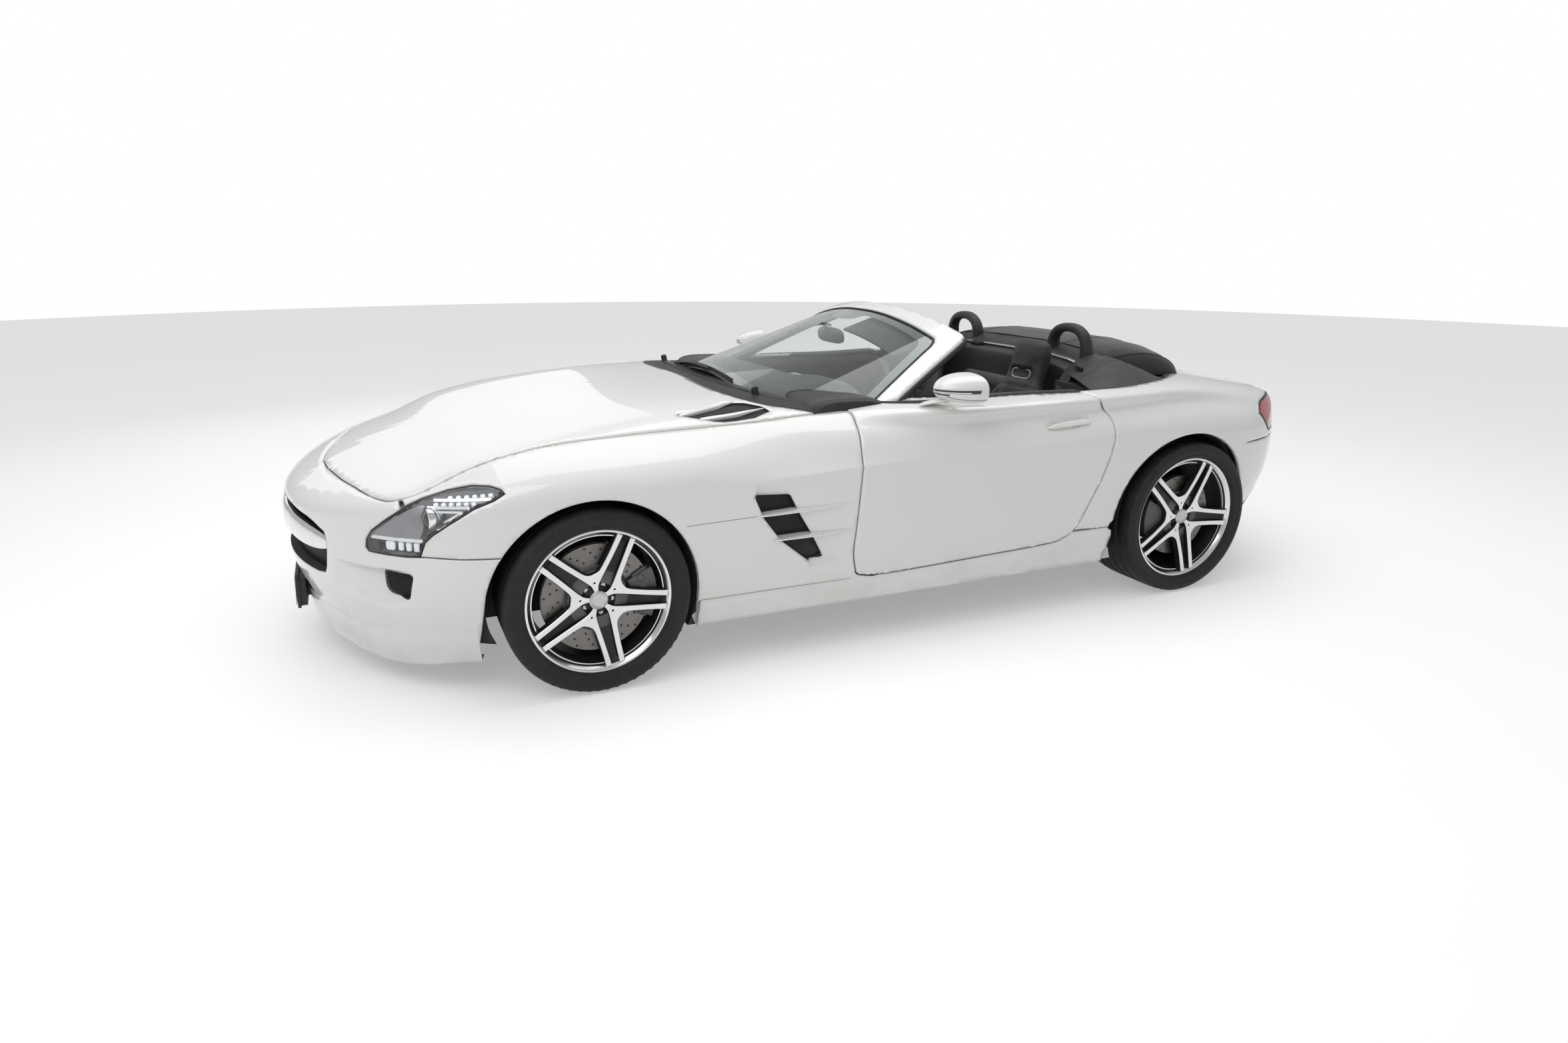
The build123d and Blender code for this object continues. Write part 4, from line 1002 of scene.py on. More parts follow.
    # glass panes: clear with a faint green tint and haze
    m = Finish("screen glass", colour=(0.86, 0.93, 0.90), rough=0.02, Transmission_Weight=1.0, IOR=1.45)
    p = m.coords()
    m.put("Roughness", 0.01 + p.noise(6, 4, 0.6).step(0.6, 0.9) * 0.03)
    f["glass"] = m
    m = Finish("lamp glass", colour=(0.97, 0.975, 0.98), rough=0.015, Transmission_Weight=1.0, IOR=1.42)
    p = m.coords()
    m.put("Roughness", 0.01 + p.noise(9, 3).step(0.6, 0.9) * 0.03)
    f["lens"] = m
    m = Finish("red lens", colour=(0.75, 0.10, 0.085), rough=0.08, Transmission_Weight=0.55, IOR=1.49,
        Coat_Weight=0.6)
    p = m.coords()
    x, y, z = p.axes()
    rib = ((z * 520).sin() * 0.5 + 0.5)
    m.put("Base Color", (rib * 0.15 + p.noise(12, 2) * 0.3).mix((0.66, 0.10, 0.09), (0.86, 0.27, 0.24)))
    m.bump(p.noise(260, 2), 0.2, 0.0004)
    f["red"] = m
    # lamp insides
    m = Finish("reflector bowl", rough=0.12, metal=1.0)
    p = m.coords()
    m.put("Base Color", p.noise(30, 2).mix((0.60, 0.61, 0.63), (0.80, 0.81, 0.83)))
    m.put("Roughness", 0.1 + p.noise(45, 3) * 0.1)
    f["reflector"] = m
    m = Finish("lamp inner housing", rough=0.4, metal=0.3)
    p = m.coords()
    m.put("Base Color", p.noise(22, 3).mix((0.27, 0.275, 0.29), (0.38, 0.385, 0.40)))
    m.put("Roughness", 0.32 + p.noise(60, 3) * 0.2)
    f["housing"] = m
    m = Finish("lit strip", colour=(0.9, 0.93, 0.96), rough=0.25)
    p = m.coords()
    m.put("Base Color", p.noise(60, 2).mix((0.78, 0.82, 0.86), (0.92, 0.94, 0.96)))
    m.put("Emission Color", (0.85, 0.92, 1.0))
    m.put("Emission Strength", 0.25)
    f["led"] = m
    # perforated mesh of the grilles
    m = Finish("mesh black", rough=0.35, metal=0.3)
    p = m.coords()
    m.put("Base Color", p.noise(40, 3).mix((0.010, 0.010, 0.011), (0.03, 0.03, 0.032)))
    m.put("Roughness", 0.28 + p.noise(80, 3) * 0.2)
    f["mesh"] = m
    # underside and hollows
    m = Finish("underbody coat", rough=0.8)
    p = m.coords()
    stone = p.noise(120, 4, 0.7)
    m.put("Base Color", p.noise(6, 4, 0.6).mix((0.018, 0.018, 0.018), (0.05, 0.047, 0.043)))
    m.bump(stone, 0.6, 0.002)
    f["under"] = m
    # painted sheet inside the bay and boot
    m = Finish("bay paint", rough=0.45, Coat_Weight=0.4, Coat_Roughness=0.2)
    p = m.coords()
    m.put("Base Color", p.noise(8, 3, 0.6).mix((0.60, 0.60, 0.59), (0.70, 0.70, 0.69)))
    m.put("Roughness", 0.4 + p.noise(50, 3) * 0.15)
    f["bay"] = m
    # plain bare plate
    m = Finish("bare plate", rough=0.35, Coat_Weight=0.3)
    p = m.coords()
    m.put("Base Color", p.noise(25, 3).mix((0.70, 0.70, 0.69), (0.80, 0.80, 0.79)))
    m.put("Roughness", 0.3 + p.noise(60, 3) * 0.15)
    f["plate"] = m
    # display screens
    m = Finish("display glass", rough=0.12, Coat_Weight=0.8, Coat_Roughness=0.02)
    p = m.coords()
    m.put("Base Color", p.noise(12, 2).mix((0.010, 0.012, 0.016), (0.022, 0.026, 0.034)))
    f["display"] = m
    return {k: v.mat for k, v in f.items()}


FINISH = make_finishes()


# ---------------------------------------------------------------- outlines, metres
def mirrored(pts):
    """Half outline from the centre line out, with its mirror half added."""
    pts = np.asarray(pts, float)
    back = pts[::-1] * (-1, 1)
    return np.concatenate([pts, back[np.abs(back[:, 0]) > 1e-6]])


def offset_loop(poly, d):
    """Outline grown by d, each point moved along the mean of its two edge normals."""
    p = np.asarray(poly, float)
    a, b = p - np.roll(p, 1, axis=0), np.roll(p, -1, axis=0) - p
    area = 0.5 * np.sum(p[:, 0] * np.roll(p[:, 1], -1) - np.roll(p[:, 0], -1) * p[:, 1])
    na, nb = (np.c_[e[:, 1], -e[:, 0]] / (np.linalg.norm(e, axis=1)[:, None] + 1e-12) for e in (a, b))
    n = na + nb
    n /= np.maximum(np.linalg.norm(n, axis=1)[:, None], 0.3)
    c = np.clip((n * na).sum(1), 0.6, 1)[:, None]
    return p + n / c * d * np.sign(area)


def at(p, value, axis=0):
    """Points with one more coordinate put in at that axis."""
    return np.insert(np.asarray(p, float), axis, value, axis=1)


GAP = 0.0045
# the belt line behind the doors, where paint gives way to the trimmed deck
DECK_EDGE = np.array(((838, 872), (838, 1000), (826, 1110), (803, 1215), (762, 1330), (705, 1430),
    (640, 1515), (594, 1575), (560, 1660), (520, 1698), (450, 1703))) / 1000
BONNET_EDGE = np.array(((0, -2164), (150, -2149), (300, -2120), (423, -2092), (600, -2040), (700, -2005),
    (745, -1980), (772, -1955), (787, -1925), (793, -1895), (796, -1800), (797, -1600), (797, -1100),
    (797, -700), (790, -340))) / 1000
BONNET_REAR = np.array(((790, -340), (740, -350), (690, -440), (600, -540), (450, -600), (250, -625),
    (0, -632))) / 1000
BOOT_EDGE = np.array(((0, 1716), (420, 1712), (540, 1722), (600, 1775), (628, 1900), (622, 2100),
    (560, 2195), (300, 2236), (0, 2246))) / 1000
DOOR_EDGE = np.array(((-272, 926), (-272, 909), (-282, 827), (-291, 695), (-303, 468), (-306, 389),
    (-297, 321), (-270, 289), (-117, 281), (356, 297), (627, 308), (705, 325), (762, 362), (819, 470),
    (875, 595), (903, 707), (906, 792), (890, 840), (838, 900), (805, 926))) / 1000
LAMP_LOW = np.array(((-2035, 538.5), (-1976, 536), (-1925, 535), (-1882, 541), (-1866, 588), (-1839, 616),
    (-1792, 652), (-1712, 703), (-1647, 727))) / 1000
LAMP_TOP = np.array(((-1613, 745), (-1621, 755), (-1650, 764), (-1706, 766), (-1779, 752), (-1859, 728),
    (-1913, 704), (-1966, 663), (-2021, 610), (-2038, 578), (-2042, 550))) / 1000
VENT = np.array(((-733, 649), (-590, 644), (-545, 561), (-500, 490), (-437, 381), (-507, 380),
    (-623, 474), (-694, 565))) / 1000
MOUTH = np.array(((0, 402), (300, 402), (470, 404), (518, 412), (530, 430), (539, 458), (547, 500),
    (549, 545), (540, 566), (486, 587), (440, 600), (300, 614), (0, 620))) / 1000
INTAKE = np.array(((757, 392), (806, 374), (817, 385), (837, 462), (832, 474), (764, 475), (758, 466),
    (755, 410))) / 1000
ARCHES = {-1: (-1.320, 0.322, 0.378), 1: (1.350, 0.342, 0.386)}


def side_angles(points, side):
    """Points given in side view (y, z), found on the flank and written for the (y, angle) chart."""
    p = from_side(1)(np.asarray(points, float))
    return np.c_[p[:, 1], np.arctan2(p[:, 2] - 0.45, p[:, 0])]


def plan_angles(points):
    """Points given in plan (x, y), found on top of the body and written for the (y, angle) chart."""
    p = from_above(np.asarray(points, float))
    return np.c_[p[:, 1], np.arctan2(p[:, 2] - 0.45, p[:, 0])]


def side_chart(side):
    """The (y, angle) chart of one side: worked on the left, turned over for the right."""
    left = round_side()
    if side > 0:
        return left
    return lambda uv: left(uv) * (-1, 1, 1)


def arch_line(end, low, high, n=40, grow=0.0):
    """Wheel-arch edge in side view between two angles, which are measured from straight back."""
    y, z, r = ARCHES[end]
    t = np.radians(np.linspace(low, high, n))
    return np.c_[y + (r + grow) * np.cos(t), z + (r + grow) * np.sin(t)]


def strip(points, step=0.012):
    return resample(points, step, closed=False)


def cut(points, lo=None, hi=None, axis=0):
    """The stretch of a polyline whose coordinate lies between lo and hi, with its ends worked out."""
    p = strip(points, 0.004)
    keep = np.ones(len(p), bool)
    if lo is not None:
        keep &= p[:, axis] >= lo
    if hi is not None:
        keep &= p[:, axis] <= hi
    return p[keep]


def sill_line(y):
    return np.interp(y, GRID_Y, SILL_Z) + 0.004




def wear(obj, body, finish, node=(), slot=None):
    """The piece rides on the body, takes the finish and stands for the nodes."""
    for m in ([finish] if isinstance(finish, str) else finish):
        obj.data.materials.append(FINISH[m])
    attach(obj, body)
    if node:
        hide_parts(*([node] if isinstance(node, str) else node))
    return obj


def crease_rows(y0, y1):
    """Chart points along the door crease, with close rows either side of it."""
    y = np.arange(y0, y1, 0.012)
    z = np.interp(y, GRID_Y, CREASE_Z)
    rows = [side_angles(np.c_[y, z + d], 1) for d in (-0.012, -0.004, -0.0008, 0.0008, 0.004, 0.012)]
    return np.concatenate(rows)


BONNET_LOOP = mirrored(np.concatenate([smooth_loop(BONNET_EDGE, 5, False),
    smooth_loop(BONNET_REAR, 4, False)[1:]]))
# the painted bonnet ends ahead of the lid's rear edge, where a black strip takes over
SKIN_REAR = np.array(((790, -420), (768, -452), (735, -516), (704, -579), (638, -638), (570, -668),
    (474, -692), (330, -702), (135, -690), (0, -684))) / 1000
BONNET_SKIN = mirrored(np.concatenate([smooth_loop(BONNET_EDGE[:-1], 5, False),
    smooth_loop(SKIN_REAR, 4, False)]))
BOOT_LOOP = mirrored(smooth_loop(BOOT_EDGE, 5, False))
# bonnet outlet openings near its rear corners, in plan
OUTLET = np.array(((652, -738), (700, -826), (712, -940), (724, -938), (744, -900), (762, -858),
    (778, -820), (786, -783), (786, -740), (780, -660), (752, -585), (712, -600), (668, -655))) / 1000
STEP_A = 0.013


CORNER_NET = np.stack(np.meshgrid(np.r_[-0.620:-0.40:0.0035, 0.40:0.620:0.0035],
    np.r_[2.09:2.245:0.0025]), -1).reshape(-1, 2)


def skin_panels():
    """Every painted outer panel, cut from the one body surface along its shut lines."""
    out = {}
    holes = [OUTLET, OUTLET * (-1, 1)]
    out["bonnet_skin"] = (panel("bonnet_skin", from_above, [BONNET_SKIN, *holes], 0.019, 0.012,
        fine=0.0080), "bonnet", "paint")
    out["boot_skin"] = (panel("boot_skin", from_above, [resample(BOOT_LOOP, 0.006)], 0.018, 0.012,
        extra=CORNER_NET), "boot_lid", "paint")
    grown = offset_loop(BONNET_LOOP, GAP)
    left_edge = grown[(grown[:, 0] > 0)]
    left_edge = left_edge[np.argsort(left_edge[:, 1])]
    left_edge = left_edge[(left_edge[:, 1] < -0.345) & (left_edge[:, 0] > 0.78)]
    for side, tag in ((1, "l"), (-1, "r")):
        chart = side_chart(side)
        # door
        door = side_angles(DOOR_EDGE[:], 1)
        door_loop = smooth_door(door)
        out[f"door_skin_{tag}"] = (panel(f"door_skin_{tag}", chart, [door_loop], (0.0145, 0.0145), 0.012,
            crease_rows(-0.26, 0.88)), f"door_{tag}", "paint")
        grown_door = offset_loop(door_loop * (1, 0.93), GAP) / (1, 0.93)
        # front fender: arch, sill joint, door edge, windscreen corner, bonnet edge, round the
        # lamp, bumper joint
        arch = arch_line(-1, -7, 146.2)[::-1]
        front_door = grown_door[(grown_door[:, 0] < -0.2)]
        front_door = front_door[np.argsort(front_door[:, 1])]
        front_door = front_door[front_door[:, 1] > side_angles([(-0.30, 0.277)], 1)[0, 1]]
        bonnet_side = plan_angles(left_edge[left_edge[:, 1] > -1.925])[::-1]
        lamp_top = side_angles(offset_loop(np.concatenate([LAMP_LOW, LAMP_TOP]), 0.003)[len(LAMP_LOW):], 1)
        lamp_low = side_angles(offset_loop(np.concatenate([LAMP_LOW, LAMP_TOP]), 0.003)[:len(LAMP_LOW)], 1)
        lamp_top = lamp_top[lamp_top[:, 0] > -1.925][::-1]
        lamp_low = lamp_low[lamp_low[:, 0] > -1.885][::-1]
        joint = side_angles([(-1.76, 0.5350), (-1.638, 0.5335)], 1)
        pillar = plan_angles([(0.845, -0.262), (0.822, -0.262), (0.805, -0.275), (0.795, -0.31)])
        loop = np.concatenate([side_angles(arch, 1), side_angles([(-0.93, 0.2785), (-0.60, 0.2785)], 1),
            front_door, pillar, bonnet_side, lamp_top, lamp_low, joint])
        vent = side_angles(soft_profile(VENT, 0.012), 1)
        out[f"fender_skin_{tag}"] = (panel(f"fender_skin_{tag}", chart, [loop, vent], (0.0145, 0.0135),
            0.012, crease_rows(-1.62, -0.31), fine=0.009), "body", "paint")
        # sill, from wheel to wheel under the door
        y = np.linspace(-0.942, 0.93, 90)
        bottom = side_angles(np.c_[y, sill_line(y)], 1)
        door_low = grown_door[grown_door[:, 1] < side_angles([(0, 0.36)], 1)[0, 1]]
        door_low = door_low[np.argsort(door_low[:, 0])]
        door_low = door_low[(door_low[:, 0] > -0.31) & (door_low[:, 0] < 0.72)]
        top = np.concatenate([side_angles([(-0.934, 0.2777), (-0.6, 0.2777), (-0.318, 0.2777)], 1),
            door_low, ])
        rear_up = side_angles([(0.745, 0.3424), (0.935, 0.3424), (0.964, 0.326)], 1)
        sill = np.concatenate([top, rear_up, side_angles([(0.966, 0.30), (0.95, 0.25), (0.935, 0.20)], 1),
            bottom[::-1]])
        out[f"sill_skin_{tag}"] = (panel(f"sill_skin_{tag}", chart, [sill], (0.02, 0.02), 0.012), "body",
            "paint")
        # rear quarter
        rear_door = grown_door[(grown_door[:, 0] > 0.70)
            & (grown_door[:, 1] > side_angles([(0.75, 0.344)], 1)[0, 1])]
        rear_door = rear_door[np.argsort(rear_door[:, 1])]
        arch = arch_line(1, 0, 180)[::-1]
        arch = arch[(arch[:, 1] > 0.343)]
        boot = offset_loop(BOOT_LOOP, GAP)
        boot = boot[(boot[:, 0] > 0.30) & (boot[:, 1] < 2.05) & (boot[:, 1] > 1.69)]
        boot = boot[np.argsort(boot[:, 1])]
        inner = plan_angles(np.concatenate([DECK_EDGE, boot]))
        top_l = side_angles([(2.05, 0.840), (1.965, 0.838), (1.868, 0.827), (1.838, 0.809),
            (1.808, 0.778), (1.864, 0.722), (1.903, 0.687), (1.903, 0.664), (1.70, 0.659)], 1)
        q_arch = side_angles(arch, 1)
        loop = np.concatenate([rear_door, inner, top_l, q_arch[::-1][q_arch[::-1][:, 0] < 1.62],
            side_angles([(0.935, 0.344)], 1)])
        out[f"quarter_skin_{tag}"] = (panel(f"quarter_skin_{tag}", chart, [loop], (0.014, STEP_A), 0.012,
            crease_rows(0.93, 1.60)), "body", "paint")
    out.update(nose_and_tail())
    return out


def fan(points, end, centre):
    """Points on the surface written for the (angle, z) chart of that end."""
    p = np.asarray(points, float)
    return np.c_[np.arctan2(p[:, 0], end * (p[:, 1] - centre)), p[:, 2]]


def seen_front(points, end=-1, start=1.5):
    """Points given in front view (x, z), found on the nose or tail."""
    p = np.asarray(points, float)
    n = len(p)
    return cast(np.c_[p[:, 0], np.full(n, end * start), p[:, 1]], np.tile((0, float(end), 0), (n, 1)))


def whole(half):
    """A half outline in the (angle, z) chart, from the centre line round and back to it, closed with
    its mirror half."""
    back = half[::-1] * (-1, 1)
    return np.concatenate([half, back])


NOSE_C, TAIL_C = -1.5, 1.5
LAMP_LOOP = np.concatenate([LAMP_LOW, LAMP_TOP])


def nose_and_tail():
    """Bumpers and tail panel, in charts fanned about an upright line."""
    out = {}
    side = from_side(1)
    # the lamp's border from its lower rear corner forward and up to where the fender starts again
    edge = side(strip(offset_loop(LAMP_LOOP, 0.003), 0.008))
    y = edge[:, 1]
    low_part = side(offset_loop(LAMP_LOOP, 0.003)[:3][::-1])
    top_part = side(cut(offset_loop(LAMP_LOOP, 0.003)[len(LAMP_LOW):], hi=-1.929)[::-1])
    grown = offset_loop(BONNET_LOOP, GAP)
    front = grown[(grown[:, 0] >= 0) & (grown[:, 1] < -1.929)]
    front = front[np.argsort(-front[:, 0])]
    front = from_above(front)
    arch = np.concatenate([np.array(((-1.716, 0.158), (-1.713, 0.195), (-1.705, 0.269),
        (-1.6965, 0.345))), arch_line(-1, 168, 146.4, 14)])
    joint = [(-1.638, 0.5300), (-1.76, 0.5315), (-1.870, 0.5345)]
    half = np.concatenate([fan(seen_front([(x, 0.152) for x in np.linspace(0, 0.62, 30)]), -1, NOSE_C),
                           fan(side([(y, 0.155) for y in np.linspace(-2.03, -1.72, 20)]), -1, NOSE_C),
                           fan(side(arch), -1, NOSE_C), fan(side(joint), -1, NOSE_C),
                           fan(low_part, -1, NOSE_C), fan(top_part[::-1]
                           if top_part[0, 2] > top_part[-1, 2] else top_part, -1, NOSE_C),
                           fan(front, -1, NOSE_C)])
    mouth = fan(seen_front(mirrored(MOUTH)), -1, NOSE_C)
    intake = fan(seen_front(soft_profile(INTAKE, 0.010)), -1, NOSE_C)
    slot = fan(seen_front(mirrored(np.array(((0, 0.215), (0.31, 0.215), (0.325, 0.225), (0.305, 0.300),
        (0.29, 0.310), (0, 0.310))))), -1, NOSE_C)
    t = np.linspace(0, 2 * math.pi, 20, endpoint=False)
    tow = fan(seen_front(np.c_[-0.43 + 0.0225 * np.cos(t), 0.30 + 0.0225 * np.sin(t)]), -1, NOSE_C)
    chart = round_end(-1, NOSE_C)
    out["nose_skin"] = (panel("nose_skin", chart,
        [whole(half), mouth, intake, intake * (-1, 1), slot, tow], (0.0155, 0.012), 0.012,
        fine=(0.009, 0.007)), "body", "paint")
    # tail
    boot = BOOT_LOOP[(BOOT_LOOP[:, 0] >= 0) & (BOOT_LOOP[:, 1] > 2.05)]
    boot = from_above(boot[np.argsort(-boot[:, 0])])
    away = np.cross(np.gradient(boot, axis=0), body_field(boot)[1])
    away *= np.sign((away * (boot - (0, 1.95, 0.93))).sum(1, keepdims=True))
    boot = boot + away / np.linalg.norm(away, axis=1)[:, None] * GAP
    chart = round_end(1, TAIL_C)
    half = np.concatenate([fan(seen_front([(x, 0.6645) for x in np.linspace(0, 0.72, 30)], 1), 1, TAIL_C),
                           fan(side([(2.06, 0.6645), (1.98, 0.6645), (1.9045, 0.6645), (1.9045, 0.6868),
                           (2.0, 0.6868), (2.08, 0.6868)]), 1, TAIL_C),
                           fan(seen_front([(0.72, 0.6868), (0.66, 0.6868), (0.64, 0.6915), (0.637, 0.70),
                           (0.637, 0.83), (0.64, 0.838), (0.66, 0.842), (0.72, 0.842)], 1), 1, TAIL_C),
                           fan(side([(2.09, 0.842), (2.0515, 0.8415)]), 1, TAIL_C), fan(boot, 1, TAIL_C)])
    out["tail_skin"] = (panel("tail_skin", chart, [whole(half)], (0.016, 0.012), 0.012), "body", "paint")
    arch = arch_line(1, 54.6, -5, 30)
    half = np.concatenate([fan(seen_front([(x, 0.405) for x in np.linspace(0, 0.74, 30)], 1), 1, TAIL_C),
                           fan(side([(2.0, 0.408), (1.917, 0.406), (1.885, 0.362), (1.84, 0.319),
                           (1.80, 0.290), (1.764, 0.278), (1.738, 0.292)]), 1, TAIL_C),
                           fan(side(arch[::-1]), 1, TAIL_C),
                           fan(side([(1.60, 0.6555), (1.75, 0.657), (1.9, 0.660), (2.06, 0.660)]), 1, TAIL_C),
                           fan(seen_front([(x, 0.660) for x in np.linspace(0.72, 0, 30)], 1), 1, TAIL_C)])
    out["rear_bumper_skin"] = (panel("rear_bumper_skin", chart, [whole(half)], (0.0165, 0.0115), 0.012),
        "body", "paint")
    return out


def smooth_door(loop):
    return resample(smooth_loop(loop, 4, closed=False), (0.008, 0.008))


for skin_name, (obj, body, finish) in skin_panels().items():
    wear(obj, body, finish, slot="paint")


# ---------------------------------------------------------------- structure under the skin
def node_mesh(node):
    """A CAD node's mesh as merged points and triangles."""
    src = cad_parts[node].data
    v = np.empty(len(src.vertices) * 3)
    src.vertices.foreach_get("co", v)
    v = v.reshape(-1, 3)
    src.calc_loop_triangles()
    t = np.empty(len(src.loop_triangles) * 3, int)
    src.loop_triangles.foreach_get("vertices", t)
    _, first, back = np.unique(np.round(v, 6), axis=0, return_index=True, return_inverse=True)
    t = back.reshape(-1)[t].reshape(-1, 3)
    t = t[(t[:, 0] != t[:, 1]) & (t[:, 1] != t[:, 2]) & (t[:, 2] != t[:, 0])]
    return v[first], t


def inner_block(node, body, depth=0.019, finishes=("bay", "under"), dark=None):
    """The solid under a painted panel: the node's own faces, with every point less than depth below
    the outer surface pressed in to that depth along the surface's outward direction. Faces that
    dark(centre, normal) marks take the second finish."""
    v, t = node_mesh(node)
    for _ in range(3):
        f, n = body_field(v)
        push = np.clip(f + depth, 0, 0.06)
        v = v - n * push[:, None]
    e1, e2 = v[t[:, 1]] - v[t[:, 0]], v[t[:, 2]] - v[t[:, 0]]
    nrm = np.cross(e1, e2)
    area = np.linalg.norm(nrm, axis=1)
    good = area > 1e-9
    t, nrm = t[good], nrm[good] / area[good][:, None]
    obj = new_mesh(node + "_block", v, t, smooth=False)
    mid = v[t].mean(1)
    mark = arch_or_under(mid, nrm) if dark is None else dark(mid, nrm)
    if len(obj.data.polygons) == len(t):
        obj.data.polygons.foreach_set("material_index", mark.astype(np.int32))
    return wear(obj, body, list(finishes), node)


def arch_or_under(mid, nrm):
    """True for faces in a wheel arch or turned to the ground."""
    out = (nrm[:, 2] < -0.5) & (mid[:, 2] < 0.45)
    for y, z, r in ARCHES.values():
        out |= (np.hypot(mid[:, 1] - y, mid[:, 2] - z) < r + 0.012) & (np.abs(mid[:, 0]) > 0.45)
    return out


def dark_all(mid, nrm):
    return np.ones(len(mid), bool)


def nose_dark(mid, nrm):
    """The nose's hollows are black, its top ledges painted."""
    return arch_or_under(mid, nrm) | (mid[:, 2] < 0.60)


def cabin_dark(mid, nrm):
    """Dark where a face looks into the cabin, the boot, a wheel arch or down to the road."""
    x = np.abs(mid[:, 0])
    vent = (mid[:, 1] > -0.78) & (mid[:, 1] < -0.40) & (mid[:, 2] > 0.34) & (mid[:, 2] < 0.70)
    return (vent | arch_or_under(mid, nrm) | ((x < 0.83) & (mid[:, 1] > -0.62) & (mid[:, 1] < 1.75))
        | ((mid[:, 1] > 1.1) & (mid[:, 2] < 0.90) & (x < 0.7)))


inner_block("front_fender_l", "body", dark=cabin_dark)
inner_block("front_fender_r", "body", dark=cabin_dark)
inner_block("rear_body", "body", dark=cabin_dark)
inner_block("sills", "body", dark=lambda mid, nrm: cabin_dark(mid, nrm) | (nrm[:, 2] > 0.5))
inner_block("front_bumper", "body", 0.034, dark=nose_dark)
inner_block("rear_bumper", "body", 0.050, dark=dark_all)
inner_block("bonnet", "bonnet", 0.0125)
inner_block("boot_lid", "boot_lid", 0.0125)
inner_block("door_l", "door_l", 0.0125, dark=cabin_dark)
inner_block("door_r", "door_r", 0.0125, dark=cabin_dark)


# ---------------------------------------------------------------- wheels


def legs(rim, face):
    """One V of the rim, its axis straight up: two arms that leave the hub together, each running out
    beside its neighbour's arm. The outline follows an arm's middle line and half width, given by
    distance along the pair's axis (36 degrees off) and offset from it; the top dishes from the lip
    down to the hub."""
    u = np.array((0.052, 0.062, 0.085, 0.12, 0.17, rim - 0.0145))
    mid = np.array((0.0322, 0.0335, 0.0325, 0.030, 0.027, 0.0245))
    half = np.array((0.0105, 0.0108, 0.0102, 0.0096, 0.0094, 0.0102))
    c, s = math.cos(math.pi / 5), math.sin(math.pi / 5)
    turn = lambda q, o: np.c_[q * s - o * c, q * c + o * s]
    q = np.linspace(0, 1, 24)
    outer = turn(np.interp(q, np.linspace(0, 1, 6), u),
        np.interp(np.interp(q, np.linspace(0, 1, 6), u), u, mid - half))
    inner_u = np.linspace(0.118, rim - 0.0145, 18)
    inner = turn(inner_u, np.interp(inner_u, u, mid + half))[::-1]
    crotch = [(0.0262, 0.1075), (0.0165, 0.1015), (0.0, 0.0995)]
    right = np.concatenate([[(0.0078, 0.028), (0.0088, 0.040)], outer, inner, crotch])
    loop = np.concatenate([right, (right[:-1] * (-1, 1))[::-1]])
    t = np.linspace(0, 2 * math.pi, 13)[:-1]
    hole = np.c_[0.0034 * np.cos(t), 0.066 + 0.0034 * np.sin(t)]
    span = rim - 0.0145 - 0.03
    height = lambda p: face - 0.0045 - 0.0185 * (1
        - np.clip((np.hypot(p[:, 0], p[:, 1]) - 0.03) / span, 0, 1)) ** 1.6
    v, f, m = raised([loop, hole], 0.0085, height, 0.026, 0.0030, 0.0013, (0, 0, 1))
    return np.c_[v[:, 2], v[:, 0], v[:, 1]], f, m


